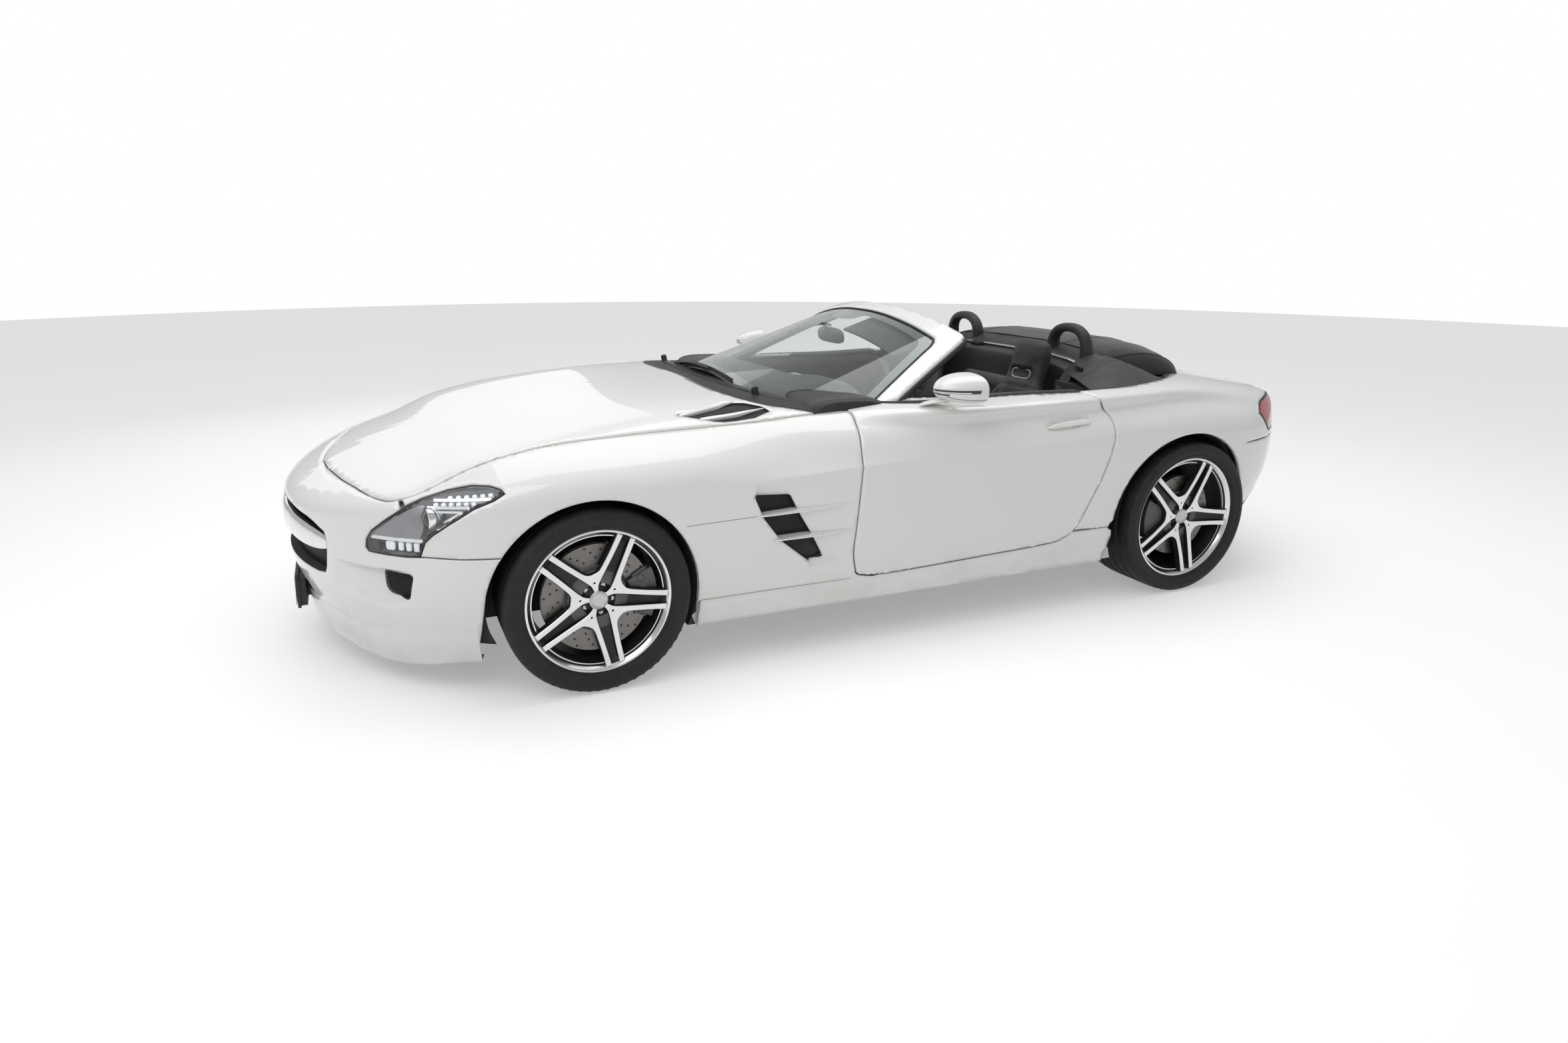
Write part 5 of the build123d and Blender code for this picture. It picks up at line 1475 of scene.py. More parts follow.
def wheel(tag, side, y, x, radius, half_w, rim, face, disc_r):
    """Tyre, five twin-spoke rim, drilled disc and their fittings for one corner."""
    body = "wheel_" + tag
    put = lambda v: place(v, side, x, y, radius)
    # tyre: bead, sidewall with rim guard, shoulder blocks, four grooves
    w, R = half_w, radius
    grooves = []
    for c in (-0.62, -0.22, 0.22, 0.62):
        gc = c * (w - 0.03)
        grooves += [(gc - 0.0055, R - 0.0002), (gc - 0.004, R - 0.0075), (gc + 0.004, R - 0.0075),
            (gc + 0.0055, R - 0.0002)]
    tread = np.array([(-w + 0.022, R - 0.0025)] + grooves + [(w - 0.022, R - 0.0025)])
    sidewall = lambda s: np.array([(s * (face - 0.006), rim - 0.006), (s * (face + 0.001), rim + 0.0015),
        (s * (w - 0.010), rim + 0.006), (s * (w - 0.003), rim + 0.0125), (s * (w - 0.006), rim + 0.017),
        (s * (w - 0.0015), rim + 0.030), (s * w, rim + 0.040), (s * (w - 0.002), R - 0.024),
        (s * (w - 0.0065), R - 0.0125), (s * (w - 0.013), R - 0.006)])
    prof = np.concatenate([sidewall(-1), tread, sidewall(1)[::-1],
        [(face - 0.02, rim - 0.012), (-face + 0.02, rim - 0.012)]])
    v, f = lathe(soft_profile(prof, 0.003, 2), 120)
    # sipes across the shoulders
    rad = np.hypot(v[:, 1], v[:, 2])
    ang = np.arctan2(v[:, 2], v[:, 1])
    shoulder = (np.abs(v[:, 0]) > w * 0.62) & (rad > R - 0.02)
    phase = (ang * 60 / (2 * math.pi) + np.abs(v[:, 0]) * 9) % 1.0
    dip = shoulder & (phase < 0.17)
    v[dip, 1] *= 1 - 0.0038 / R
    v[dip, 2] *= 1 - 0.0038 / R
    # the sidewall bears no letters
    piece(f"tyre_skin_{tag}", [(put(v), turned(f, -side), 0)], body, "tyre", f"tyre_{tag}", "tyre", angle=50)
    # rim
    barrel = soft_profile([(face, rim), (face + 0.0005, rim - 0.0075), (face - 0.006, rim - 0.0125),
        (face - 0.016, rim - 0.020), (face - 0.034, rim - 0.026), (face - 0.07, rim - 0.034),
        (-face + 0.05, rim - 0.034), (-face + 0.012, rim - 0.022), (-face, rim - 0.009), (-face, rim),
        (-face + 0.008, rim), (-face + 0.012, rim - 0.012), (face - 0.014, rim - 0.012),
        (face - 0.008, rim)], 0.0025, 3)
    v, f = lathe(barrel, 120)
    seg = np.tile(np.arange(len(barrel)) // 3, 120)
    parts = [(put(v), turned(f, -side), np.where(np.isin(seg, (0, 1, 2)), 0, 1))]
    # thin machined ring inside the lip
    v, f = lathe(soft_profile([(face - 0.020, rim - 0.0225), (face - 0.020, rim - 0.027),
        (face - 0.027, rim - 0.0275), (face - 0.027, rim - 0.0225)], 0.001, 3), 120)
    parts.append((put(v), turned(f, -side), 0))
    # hub dish, cap and rings
    hub = soft_profile([(face - 0.060, 0.030), (face - 0.060, 0.078), (face - 0.046, 0.076),
        (face - 0.041, 0.060), (face - 0.036, 0.040), (face - 0.030, 0.034), (face - 0.030, 0.028)], 0.002, 3)
    v, f = lathe(hub, 80)
    seg = np.tile(np.arange(len(hub)) // 3, 80)
    parts.append((put(v), turned(f, -side), 1))
    cap_p = [(face - 0.0235, 0.0), (face - 0.0232, 0.012), (face - 0.0225, 0.024),
        (face - 0.0195, 0.0275), (face - 0.0190, 0.0300), (face - 0.0215, 0.0335), (face - 0.030, 0.0335)]
    v, f = lathe(cap_p, 64, close=False)
    parts.append((put(v), turned(f, -side), 2))
    v_leg, f_leg, m_leg = legs(rim, face)
    for k in range(5):
        a = math.radians(24 + 72 * k)            # middle of a pair of arms, from straight up towards the rear
        rot = np.array(((1, 0, 0), (0, math.cos(a), math.sin(a)), (0, -math.sin(a), math.cos(a))))
        b = a + math.pi / 5
        rot_leg = np.array(((1, 0, 0), (0, math.cos(b), math.sin(b)), (0, -math.sin(b), math.cos(b))))
        parts.append((put(v_leg @ rot_leg.T), turned(f_leg, -side), m_leg))
        # dark floor of the channel between two arms, with a step up at the rim
        q = np.linspace(0, 1, 12)
        rr = 0.064 + (rim - 0.016 - 0.064) * q
        ww = 0.030 - 0.006 * q
        floor = face - 0.046 + 0.012 * q + 0.016 * np.clip(q - 0.90, 0, 1) * 10
        top = np.stack([np.stack([floor + 0.004, floor, floor, floor + 0.004], 1),
            np.stack([-ww, -ww * 0.5, ww * 0.5, ww], 1), np.repeat(rr[:, None], 4, 1)], -1)
        v, f, m = shell(top, 0.010, 1)
        parts.append((put(v @ rot.T), turned(f, -side), m))
        # bolt pocket and bolt between the arms
        t = np.linspace(0, 2 * math.pi, 25)[:-1]
        pad = np.stack([np.stack([np.full(24, face - h), r_ * np.cos(t), 0.052 + r_ * np.sin(t)], -1)
            for h, r_ in ((0.060, 0.0175), (0.0385, 0.0175), (0.0370, 0.0160), (0.0370, 0.0122),
            (0.052, 0.0115))])
        parts.append((put(pad.reshape(-1, 3) @ rot.T), turned(grid_faces(5, 24, close_m=True), -side), 1))
        t6 = np.linspace(0, 2 * math.pi, 7)[:-1]
        bolt = np.stack([np.stack([np.full(6, face - h), r_ * np.cos(t6), 0.052 + r_ * np.sin(t6)], -1)
            for h, r_ in ((0.052, 0.0098), (0.0400, 0.0098), (0.0385, 0.0083), (0.0385, 0.001))])
        parts.append((put(bolt.reshape(-1, 3) @ rot.T), turned(grid_faces(4, 6, close_m=True), -side), 2))
    # balance valve
    parts.append((put(tube([(face - 0.030, 0.03, rim - 0.045), (face - 0.010, 0.031, rim - 0.050)],
        0.0035, 8)[0]), turned(tube([(0, 0, 0), (1, 0, 0)], 1, 8)[1], side), 1))
    piece(f"rim_skin_{tag}", parts, body, ["alloy", "pocket", "silver"], f"rim_{tag}", "alloy")
    # drilled, vented disc on its hat
    rows_r = np.linspace(disc_r * 0.60, disc_r, 3)
    n = 120
    t = np.linspace(0, 2 * math.pi, n, endpoint=False)
    parts = []
    x_out, x_in = face - 0.052, face - 0.078
    prof = np.concatenate([[(x_in, rows_r[0])], [(x_in, r) for r in rows_r[1:]],
        [(x_in + 0.009, disc_r), (x_in + 0.010, disc_r - 0.006), (x_out - 0.010, disc_r - 0.006),
        (x_out - 0.009, disc_r)], [(x_out, r) for r in rows_r[::-1]]])
    v, f = lathe(prof, n)
    parts.append((put(v), turned(f, -side), 0))
    hat = soft_profile([(x_out, disc_r * 0.62), (x_out + 0.004, disc_r * 0.58),
        (x_out + 0.020, disc_r * 0.55), (x_out + 0.024, 0.062), (x_out + 0.012, 0.060), (x_in, 0.06),
        (x_in, disc_r * 0.60)], 0.003, 3)
    v, f = lathe(hat, 72)
    parts.append((put(v), turned(f, -side), 1))
    # the drilled holes are not cut: each is a flat dark octagon on the disc face in the mesh finish, painted
    # shade standing for the dark inside of a hole
    for k in range(60):
        a = 2 * math.pi * k / 60
        r = disc_r * (0.70, 0.80, 0.90, 0.75, 0.85, 0.95)[k % 6]
        c = np.array((r * math.cos(a), r * math.sin(a)))
        q = np.linspace(0, 2 * math.pi, 9)[:-1]
        hole = np.c_[np.full(8, x_out + 0.0003), c[0] + 0.0045 * np.cos(q), c[1] + 0.0045 * np.sin(q)]
        parts.append((put(hole), turned([list(range(8))], side), 2))
    obj = piece(f"disc_{tag}", parts, body, ["disc", "cast", "mesh"])
    v = np.empty(len(obj.data.vertices) * 3)
    obj.data.vertices.foreach_get("co", v)
    v = v.reshape(-1, 3)
    ring = obj.data.attributes.new("ring", "FLOAT", "POINT")
    ring.data.foreach_set("value", np.hypot(v[:, 1] - y, v[:, 2] - radius))


WHEELS = {
    "fl": (1, -1.310, 0.841, 0.334, 0.1325, 0.2595, 0.114, 0.195),
    "fr": (-1, -1.310, 0.841, 0.334, 0.1325, 0.2595, 0.114, 0.195),
    "rl": (1, 1.370, 0.8265, 0.3425, 0.1475, 0.272, 0.128, 0.180),
    "rr": (-1, 1.370, 0.8265, 0.3425, 0.1475, 0.272, 0.128, 0.180),
}
for wheel_tag, sizes in WHEELS.items():
    wheel(wheel_tag, *sizes)


def caliper(name, side, y, x, z, face, disc_r, toward, body):
    """Fixed caliper over the disc with its bridge and bolts: an arc block whose outer and inner
    profiles follow the disc."""
    parts = []
    a = np.linspace(-0.50, 0.50, 22)
    bulge = 1 - (np.abs(a) / 0.50) ** 4
    # section round the disc edge: outboard cheek, bridge, inboard cheek
    rows = []
    for ang, b in zip(a, bulge):
        r_in, r_out = disc_r - 0.062 + 0.012 * (1 - b), disc_r + 0.006 + 0.013 * b
        x_o, x_c, x_i = face - 0.046 + 0.010 * b, face - 0.047, face - 0.100
        sec = [(x_o, r_in), (x_o + 0.002 * b, (r_in + r_out) / 2), (x_o - 0.002, r_out - 0.006),
            (x_o - 0.009, r_out), (x_i, r_out), (x_i, r_in), (x_i + 0.014, r_in),
            (x_i + 0.016, disc_r + 0.004), (x_c, disc_r + 0.004), (x_c, r_in)]
        rows.append([(h, toward * r * math.cos(ang), r * math.sin(ang)) for h, r in sec])
    v = np.array(rows)
    f = grid_faces(len(a), 10, close_m=True).tolist() + [list(range(9, -1, -1)), list(range(210, 220))]
    flip = side * toward
    parts.append((place(v, side, x, y, z), turned(f, -flip), 0))
    for ang in (-0.34, -0.11, 0.11, 0.34):
        r = disc_r - 0.028
        c = np.array((face - 0.0375, toward * r * math.cos(ang), r * math.sin(ang)))
        prof = [(0.006, 0.0), (0.006, 0.010), (0.003, 0.0145), (-0.004, 0.015)]
        vv, ff = lathe(prof, 20, close=False)
        parts.append((place(vv + c, side, x, y, z), turned(ff, -side), 0))
    return piece(name, parts, body, ["cast"])


# along the car, hub out from the middle, height, face out from the hub, disc radius, and which way it sits
FRONT_CALIPER = (-1.310, 0.841, 0.334, 0.114, 0.195, 1)
REAR_CALIPER = (1.370, 0.8265, 0.3425, 0.1190, 0.180, -1)
for side_tag, side_sign in (("l", 1), ("r", -1)):
    caliper("caliper_f" + side_tag, side_sign, *FRONT_CALIPER, "knuckle_f" + side_tag)
for side_tag, side_sign in (("l", 1), ("r", -1)):
    caliper("caliper_r" + side_tag, side_sign, *REAR_CALIPER, "body")
# ---------------------------------------------------------------- nose fittings
NOSE_CHART = round_end(-1, NOSE_C)


def collar(chart, loop, depth, wall=0.0025, mark=0, flare=0.0):
    """The turned-in edge of an opening: a band that follows the outline and runs straight in from the
    surface by depth, narrowing by flare."""
    loop = resample(loop, 0.008)
    p = chart(loop)
    n = body_field(p)[1]
    d = np.roll(p, -1, 0) - np.roll(p, 1, 0)
    d /= np.linalg.norm(d, axis=1)[:, None] + 1e-12
    side = np.cross(d, n)
    side *= np.sign((side * (p - p.mean(0))).sum())
    k = np.linspace(0, 1, 5)[:, None, None]
    start = (dent(p) + 0.002)[:, None]
    grid = p - n * (start + (depth - start) * k) - side * (flare * k)
    return shell(grid, wall, mark, close_v=True)


def bed(chart, loop, step, depth, thick=0.004, mark=0):
    """A panel-like floor under an outline, set in by depth."""
    uv, tri = triangulate([loop], step)
    p = chart(uv)
    n = body_field(p)[1]
    rim = border_edges(tri)
    k = len(p)
    v = np.concatenate([p - n * depth, p - n * (depth + thick)])
    f = both_sides(tri, rim, k)
    return v, f, mark


def grille():
    """Diamond mesh behind the mouth, the plain broad bar across it, and the black duct behind."""
    mouth = fan(seen_front(mirrored(MOUTH)), -1, NOSE_C)
    inner = offset_loop(mouth, 0.004)
    parts = lattice(NOSE_CHART, inner, 0.0125, 0.0030, 0.034)
    parts.append(collar(NOSE_CHART, offset_loop(mouth, 0.0005), 0.062, mark=1))
    parts.append(bed(NOSE_CHART, inner, (0.03, 0.02), 0.060, mark=1))
    piece("mouth_mesh", parts, "body", ["mesh", "under"], "grille_mesh", "black_trim")
    # bar: a lens-like section carried round the nose, thinning to its ends
    half = np.linspace(-0.5, 0.5, 81)
    fade = np.sqrt(np.clip(1 - (np.abs(half) / 0.515) ** 6, 0, 1))
    zmid = 0.5255 - 0.012 * (np.abs(half) / 0.5) ** 2 + 0.004
    mid = seen_front(np.c_[half * 1.06, zmid])
    n = body_field(mid)[1]
    flat = n.copy()
    flat[:, 2] = 0
    flat /= np.linalg.norm(flat, axis=1)[:, None]
    sec = oval(1, 1, 28, 2.6)
    height = 0.045 * fade + 0.003
    depth = 0.017 * fade + 0.003
    section = np.stack([sec[None, :, 0] * depth[:, None], sec[None, :, 1] * height[:, None]], -1)
    body_path = mid - flat * (0.012 + 0.010 * (np.abs(half) / 0.5)[:, None] ** 4)
    parts = [sweep(body_path, section, up=(0, 0, 1), mark=0)]
    # two thin gloss black lines along its face, above and below its middle: painted shade standing for
    # grooves
    for s in (-1, 1):
        line = body_path + flat * 0.0165 * fade[:, None] + (0, 0, s * 0.012)
        parts.append(sweep(line[6:-6], oval(0.0012, 0.0009, 8), mark=1))
    piece("mouth_bar", parts, "body", ["bright", "gloss"], "grille_bar", "bright")


def intakes():
    """Side intakes with the same mesh in turned-in openings."""
    loop = fan(seen_front(soft_profile(INTAKE, 0.010)), -1, NOSE_C)
    parts = lattice(NOSE_CHART, offset_loop(loop, 0.003), 0.0115, 0.0028, 0.022)
    parts.append(collar(NOSE_CHART, offset_loop(loop, 0.0005), 0.045, mark=1))
    parts.append(bed(NOSE_CHART, offset_loop(loop, 0.002), (0.02, 0.02), 0.044, mark=1))
    piece("intake_mesh", parts + [mirror_part(q) for q in parts], "body", ["mesh", "under"],
        slot="black_trim")


def centre_inlet():
    """Low centre opening: mesh, the plate on its black holder in front, and the towing-eye cover."""
    box = np.array(((0, 0.215), (0.31, 0.215), (0.325, 0.225), (0.305, 0.300), (0.29, 0.310), (0, 0.310)))
    loop = fan(seen_front(mirrored(box)), -1, NOSE_C)
    parts = lattice(NOSE_CHART, offset_loop(loop, 0.003), 0.014, 0.003, 0.030)
    parts.append(collar(NOSE_CHART, offset_loop(loop, 0.0005), 0.05, mark=1))
    parts.append(bed(NOSE_CHART, offset_loop(loop, 0.002), (0.03, 0.02), 0.05, mark=1))
    piece("low_inlet", parts, "body", ["mesh", "under"], slot="black_trim")
    # plate: slightly bowed sheet with a pressed border, on a holder with ribs
    u, w = np.meshgrid(np.linspace(-1, 1, 49), np.linspace(-1, 1, 17), indexing="ij")
    corner = np.clip(np.maximum(np.abs(u) * 0.26 - 0.252, 0) / 0.008, 0,
        1) * np.clip(np.maximum(np.abs(w) * 0.056 - 0.048, 0) / 0.008, 0, 1)
    border = 0.0012 * np.exp(-((np.maximum(np.abs(u) * 0.26 - 0.26, np.abs(w) * 0.056 - 0.056) + 0.006)
        / 0.0022) ** 2)
    lean = 0.02
    plate = np.stack([u * 0.26 * (1 - 0.006 * corner), -2.2985 + w * lean * 0.056 - border,
        0.262 + w * 0.056 * (1 - 0.03 * corner)], -1)
    piece("front_plate", [shell(plate[:, ::-1], 0.002)], "body", ["plate"], slot="bright")
    holder = []
    for grow, y0, y1 in ((0.0105, -2.2945, -2.2850), (0.004, -2.2850, -2.262)):
        o = soft_profile([(-0.26 - grow, 0.206 - grow), (0.26 + grow, 0.206 - grow),
            (0.26 + grow, 0.318 + grow), (-0.26 - grow, 0.318 + grow)], 0.012, 5)
        rings = np.stack([np.c_[o[:, 0] * s, np.full(len(o), y), 0.262 + (o[:, 1] - 0.262) * s]
            for y, s in ((y0 - 0.0015, 0.92), (y0 - 0.0015, 0.995), (y0, 1.0), (y1, 1.0), (y1, 0.9))])
        holder.append((rings.reshape(-1, 3), capped(5, len(o)), 0))
    for x in (-0.2, -0.07, 0.07, 0.2):
        v, f = slab_box((x - 0.012, -2.268, 0.225), (x + 0.012, -2.235, 0.300), 0.003)
        holder.append((v, f, 0))
    piece("plate_holder", holder, "body", ["trim"], slot="black_trim")
    # screws at the plate's corners
    screws = [lathe_at([(0.0, 0.0), (0.0, 0.003), (0.0012, 0.0045), (0.003, 0.0048)], (x, -2.3015, z),
        (0, 1, 0), 16) for x in (-0.225, 0.225) for z in (0.235, 0.290)]
    piece("plate_screws", screws, "body", ["cast"], slot="bright")
    t = np.linspace(0, 2 * math.pi, 29)[:-1]
    spot = seen_front(np.c_[-0.43 + 0.0215 * np.cos(t), 0.30 + 0.0215 * np.sin(t)])
    n = body_field(spot)[1]
    mid, nm = spot.mean(0), n.mean(0)
    rings = np.stack([mid + (spot - mid) * s - nm * d
        for s, d in ((1, 0.006), (1, 0.0015), (0.95, 0.0), (0.5, -0.0006), (0.02, -0.0008))])
    piece("tow_cover", [(rings.reshape(-1, 3), capped(5, 28), 0)], "body", ["paint"], slot="paint")


def splitter():
    """The lower lip: a painted blade that springs from the nose and hangs below it, its lower edge rolled
    back under it."""
    up_edge = np.array(((0, 0.262), (0.25, 0.262), (0.433, 0.261), (0.529, 0.251), (0.642, 0.244)))
    top = np.concatenate([seen_front(up_edge), from_side(1)(
        np.array(((-1.968, 0.249), (-1.90, 0.258), (-1.837, 0.268), (-1.76, 0.272), (-1.7185, 0.274))))])
    top = resample(top, 0.02, closed=False)
    s = np.concatenate([[0], np.cumsum(np.linalg.norm(np.diff(top, axis=0), axis=1))])
    s /= s[-1]
    n = body_field(top)[1]
    flat = n.copy()
    flat[:, 2] = 0
    flat /= np.linalg.norm(flat, axis=1)[:, None]
    # lip line: proud of the surface, low
    drop = np.interp(s, (0, 0.35, 0.6, 0.8, 1), (0.118, 0.135, 0.150, 0.150, 0.138))
    proud = np.interp(s, (0, 0.3, 0.7, 0.9, 1), (0.026, 0.024, 0.010, 0.0015, 0.0))
    rows = []
    for k in np.linspace(0, 1, 15):
        z = top[:, 2] - drop * k
        base = top - (0, 0, 1) * (drop * k)[:, None]
        f = body_field(base)[0]
        on = base - flat * f[:, None] * 1.02
        rows.append(on + flat * (0.0012 + proud * k ** 1.5 + 0.004 * math.sin(math.pi * k)
            * (1 - s ** 4))[:, None])
    rows = np.stack(rows)
    under = rows[-1] - flat * 0.05 - (0, 0, 0.001)
    roll = rows[-1] + (0, 0, -0.003) - flat * 0.003
    grid = np.concatenate([rows, roll[None], under[None]])
    part = shell(grid, 0.004)
    piece("splitter", [part, mirror_part(part)], "body", ["paint"], slot="paint", angle=50)
    # round parking sensors flush in the nose
    dots = []
    for x, z in ((0.712, 0.300), (0.36, 0.345)):
        c = seen_front(np.array(((x, z),)))[0]
        nm = body_field(c[None])[1][0]
        dots.append(lathe_at([(-0.003, 0.0122), (0.0005, 0.0122), (0.0011, 0.0112), (0.0013, 0.0)], c, nm,
            28))
    piece("park_sensors", dots + [mirror_part(d) for d in dots], "body", ["paint"], slot="paint")


grille()
intakes()
centre_inlet()
splitter()


# ---------------------------------------------------------------- headlamps
def squares_row(chart_side, uv0, uv1, count, size, depth, bright=0, tall=1.0):
    """A row of small square lights on the surface set in by depth, between two side-view points."""
    out = []
    for q in (np.arange(count) + 0.5) / count:
        c = np.array(uv0) * (1 - q) + np.array(uv1) * q
        p = from_side(1)(c[None])
        n = body_field(p)[1][0]
        p = p[0] - n * depth
        a = np.array((0, 1.0, 0))
        a -= n * (a @ n)
        a /= np.linalg.norm(a)
        b = np.cross(n, a)
        o = soft_profile(np.array(((-1, -tall), (1, -tall), (1, tall), (-1, tall))) * size, size * 0.5, 4)
        rings = np.stack([p + a * (o[:, :1] * s) + b * (o[:, 1:] * s) + n * h
            for s, h in ((1, -0.006), (1, 0.0), (0.86, 0.002), (0.4, 0.003))])
        m = len(o)
        out.append((rings.reshape(-1, 3), capped(4, m), bright))
    return out


def headlamp(tag, side):
    """Clear cover flush with the wing, a grey bucket under it, and the lights: projector with its
    bracket, two slanting rows at the rear, a low row in front, a side marker."""
    left = side_chart(1)
    flip = (lambda part: part) if side > 0 else mirror_part
    loop = side_angles(soft_profile(LAMP_LOOP, 0.006, 3), 1)
    cover = panel(f"headlamp_cover_{tag}", side_chart(side), [offset_loop(loop, -0.0005)], (0.012, 0.010),
        0.003, turn=0.002)
    wear(cover, "body", "lens", slot="lamp")
    parts = [collar(left, offset_loop(loop, -0.001), 0.05, 0.002, 0, 0.004),
        bed(left, offset_loop(loop, -0.002), (0.012, 0.012), 0.048)]
    # stepped inner skirt: front half stands higher, like the printed grey mask of the lamp
    mask = np.array(((-2.030, 0.594), (-2.012, 0.612), (-1.960, 0.660), (-1.906, 0.698), (-1.862, 0.716),
        (-1.850, 0.700), (-1.865, 0.66), (-1.872, 0.62), (-1.885, 0.592), (-1.93, 0.588)))
    parts.append(bed(left, side_angles(soft_profile(mask, 0.008, 3), 1), (0.012, 0.012), 0.010, 0.030, 0))
    parts += squares_row(left, (-1.996, 0.562), (-1.955, 0.566), 1, 0.017, 0.014, 1, 0.9)
    parts += squares_row(left, (-1.955, 0.565), (-1.885, 0.565), 3, 0.0085, 0.014, 1, 1.7)
    parts += squares_row(left, (-1.792, 0.737), (-1.642, 0.746), 6, 0.0075, 0.012, 1, 0.8)
    parts += squares_row(left, (-1.838, 0.717), (-1.700, 0.720), 6, 0.0075, 0.014, 1, 0.8)
    # shelves between the rows
    for a, b in (((-1.828, 0.7285), (-1.655, 0.7325)), ((-1.852, 0.7065), (-1.725, 0.7065))):
        line = from_side(1)(np.linspace(a, b, 24))
        n = body_field(line)[1]
        parts.append(sweep(line - n * 0.010, np.array(
            ((-0.005, -0.0022), (0.005, -0.0022), (0.005, 0.0022), (-0.005, 0.0022))), up=n, mark=2))
    # low shelf over the front row
    line = from_side(1)(np.linspace((-2.030, 0.5885), (-1.875, 0.590), 24))
    n = body_field(line)[1]
    parts.append(sweep(line - n * 0.011, np.array(
        ((-0.006, -0.002), (0.006, -0.002), (0.006, 0.002), (-0.006, 0.002))), up=n, mark=2))
    # projector
    c, axis = np.array((0.858, -1.838, 0.668)), np.array((0.25, -1.0, -0.05))
    parts.append(lathe_at([(-0.030, 0.0), (-0.030, 0.026), (-0.006, 0.034), (0.010, 0.036),
        (0.016, 0.0355), (0.018, 0.031), (0.010, 0.030)], c, axis, 48, 3))
    parts.append(lathe_at([(0.010, 0.0305), (0.014, 0.0300), (0.022, 0.024), (0.028, 0.014),
        (0.030, 0.0)], c, axis, 40, 4))
    # bright bracket: a bent flat arm from the projector to the rear edge
    for a, b, w in (((-1.822, 0.693), (-1.748, 0.6925), 0.0035), ((-1.752, 0.6915), (-1.806, 0.658), 0.0028)):
        line = from_side(1)(np.linspace(a, b, 14))
        n = body_field(line)[1]
        parts.append(sweep(line - n * 0.012, np.array(
            ((-w, -0.002), (w, -0.002), (w, 0.002), (-w, 0.002))), up=n, mark=3))
    # side marker block at the front end
    mark_loop = side_angles(np.array(((-2.034, 0.5415), (-2.005, 0.5405), (-2.006, 0.581),
        (-2.034, 0.580))), 1)
    parts.append(bed(left, mark_loop, (0.01, 0.01), 0.0075, 0.012, 5))
    piece(f"headlamp_inside_{tag}", [flip(q) for q in parts], "body",
        ["housing", "led", "reflector", "bright", "lens", "pocket"], "headlamps" if side > 0 else (), "lamp")
    # thin black gasket round the cover
    p = side_chart(side)(resample(loop, 0.008))
    n = body_field(p)[1]
    gasket = sweep(p - n * 0.0022, oval(0.0024, 0.0021, 8), up=n, closed=True)
    piece(f"headlamp_gasket_{tag}", [gasket], "body", ["rubber"], slot="black_trim")


headlamp("l", 1)
headlamp("r", -1)

# ---------------------------------------------------------------- windscreen
SLOPE, SCREEN_R = math.radians(17.8), 1.7
GLASS_EDGE = mirrored(np.array(((0, -0.596), (0.300, -0.585), (0.450, -0.566), (0.650, -0.470),
    (0.752, -0.300), (0.772, -0.190), (0.600, 0.212), (0.585, 0.238), (0.560, 0.257), (0.300, 0.236),
    (0, 0.222)))[:])


def on_screen(xy, h=0.0):
    """Plan points put on the screen: a cylinder of the screen's radius bent about its sloping middle
    line, h further out."""
    c, s = math.cos(SLOPE), math.sin(SLOPE)
    x = np.asarray(xy, float)[:, 0]
    drop = SCREEN_R - np.sqrt(SCREEN_R ** 2 - x ** 2)
    t = (xy[:, 1] + 0.6 - drop * s) / c
    return np.c_[x, xy[:, 1], 0.962 - drop * c + t * s] + screen_normal(x) * np.broadcast_to(h,
        x.shape)[:, None]


def screen_normal(x):
    a = np.asarray(x) / SCREEN_R
    return np.c_[a, -np.sqrt(1 - a ** 2) * math.sin(SLOPE), np.sqrt(1 - a ** 2) * math.cos(SLOPE)]


def screen_sheet(loops, step, h, thick, mark=0, fine=None):
    """A sheet cut to plan outlines on the screen's curve, its outside at h."""
    uv, tri = triangulate(loops, step, fine=fine)
    rim = border_edges(tri)
    k = len(uv)
    v = np.concatenate([on_screen(uv, h), on_screen(uv, h - thick)])
    f = both_sides(tri, rim, k)
    return v, f, mark


def frame_loop():
    """Plan outline of the pillars and header: up the outside, over, and back along the glass."""
    outer = np.array(((0.7535, -0.3), (0.788, -0.215), (0.793, -0.060), (0.775, -0.012), (0.652, 0.322),
        (0.637, 0.350), (0.606, 0.368), (0.450, 0.342), (0.225, 0.312), (0, 0.300)))
    inner = np.array(((0, 0.2265), (0.300, 0.2405), (0.562, 0.2615), (0.588, 0.2405), (0.604, 0.2145),
        (0.7755, -0.190), (0.7555, -0.298)))
    half_out, half_in = smooth_loop(outer, 5, False), inner
    return half_out, half_in


def frame_outline():
    """The same outline closed right round: outer line from the left foot to the right foot, inner line
    back."""
    half_out, half_in = frame_loop()
    outer = np.concatenate([half_out, (half_out[:-1] * (-1, 1))[::-1]])
    inner = np.concatenate([(half_in[1:] * (-1, 1))[::-1], half_in])
    return np.concatenate([outer, inner])


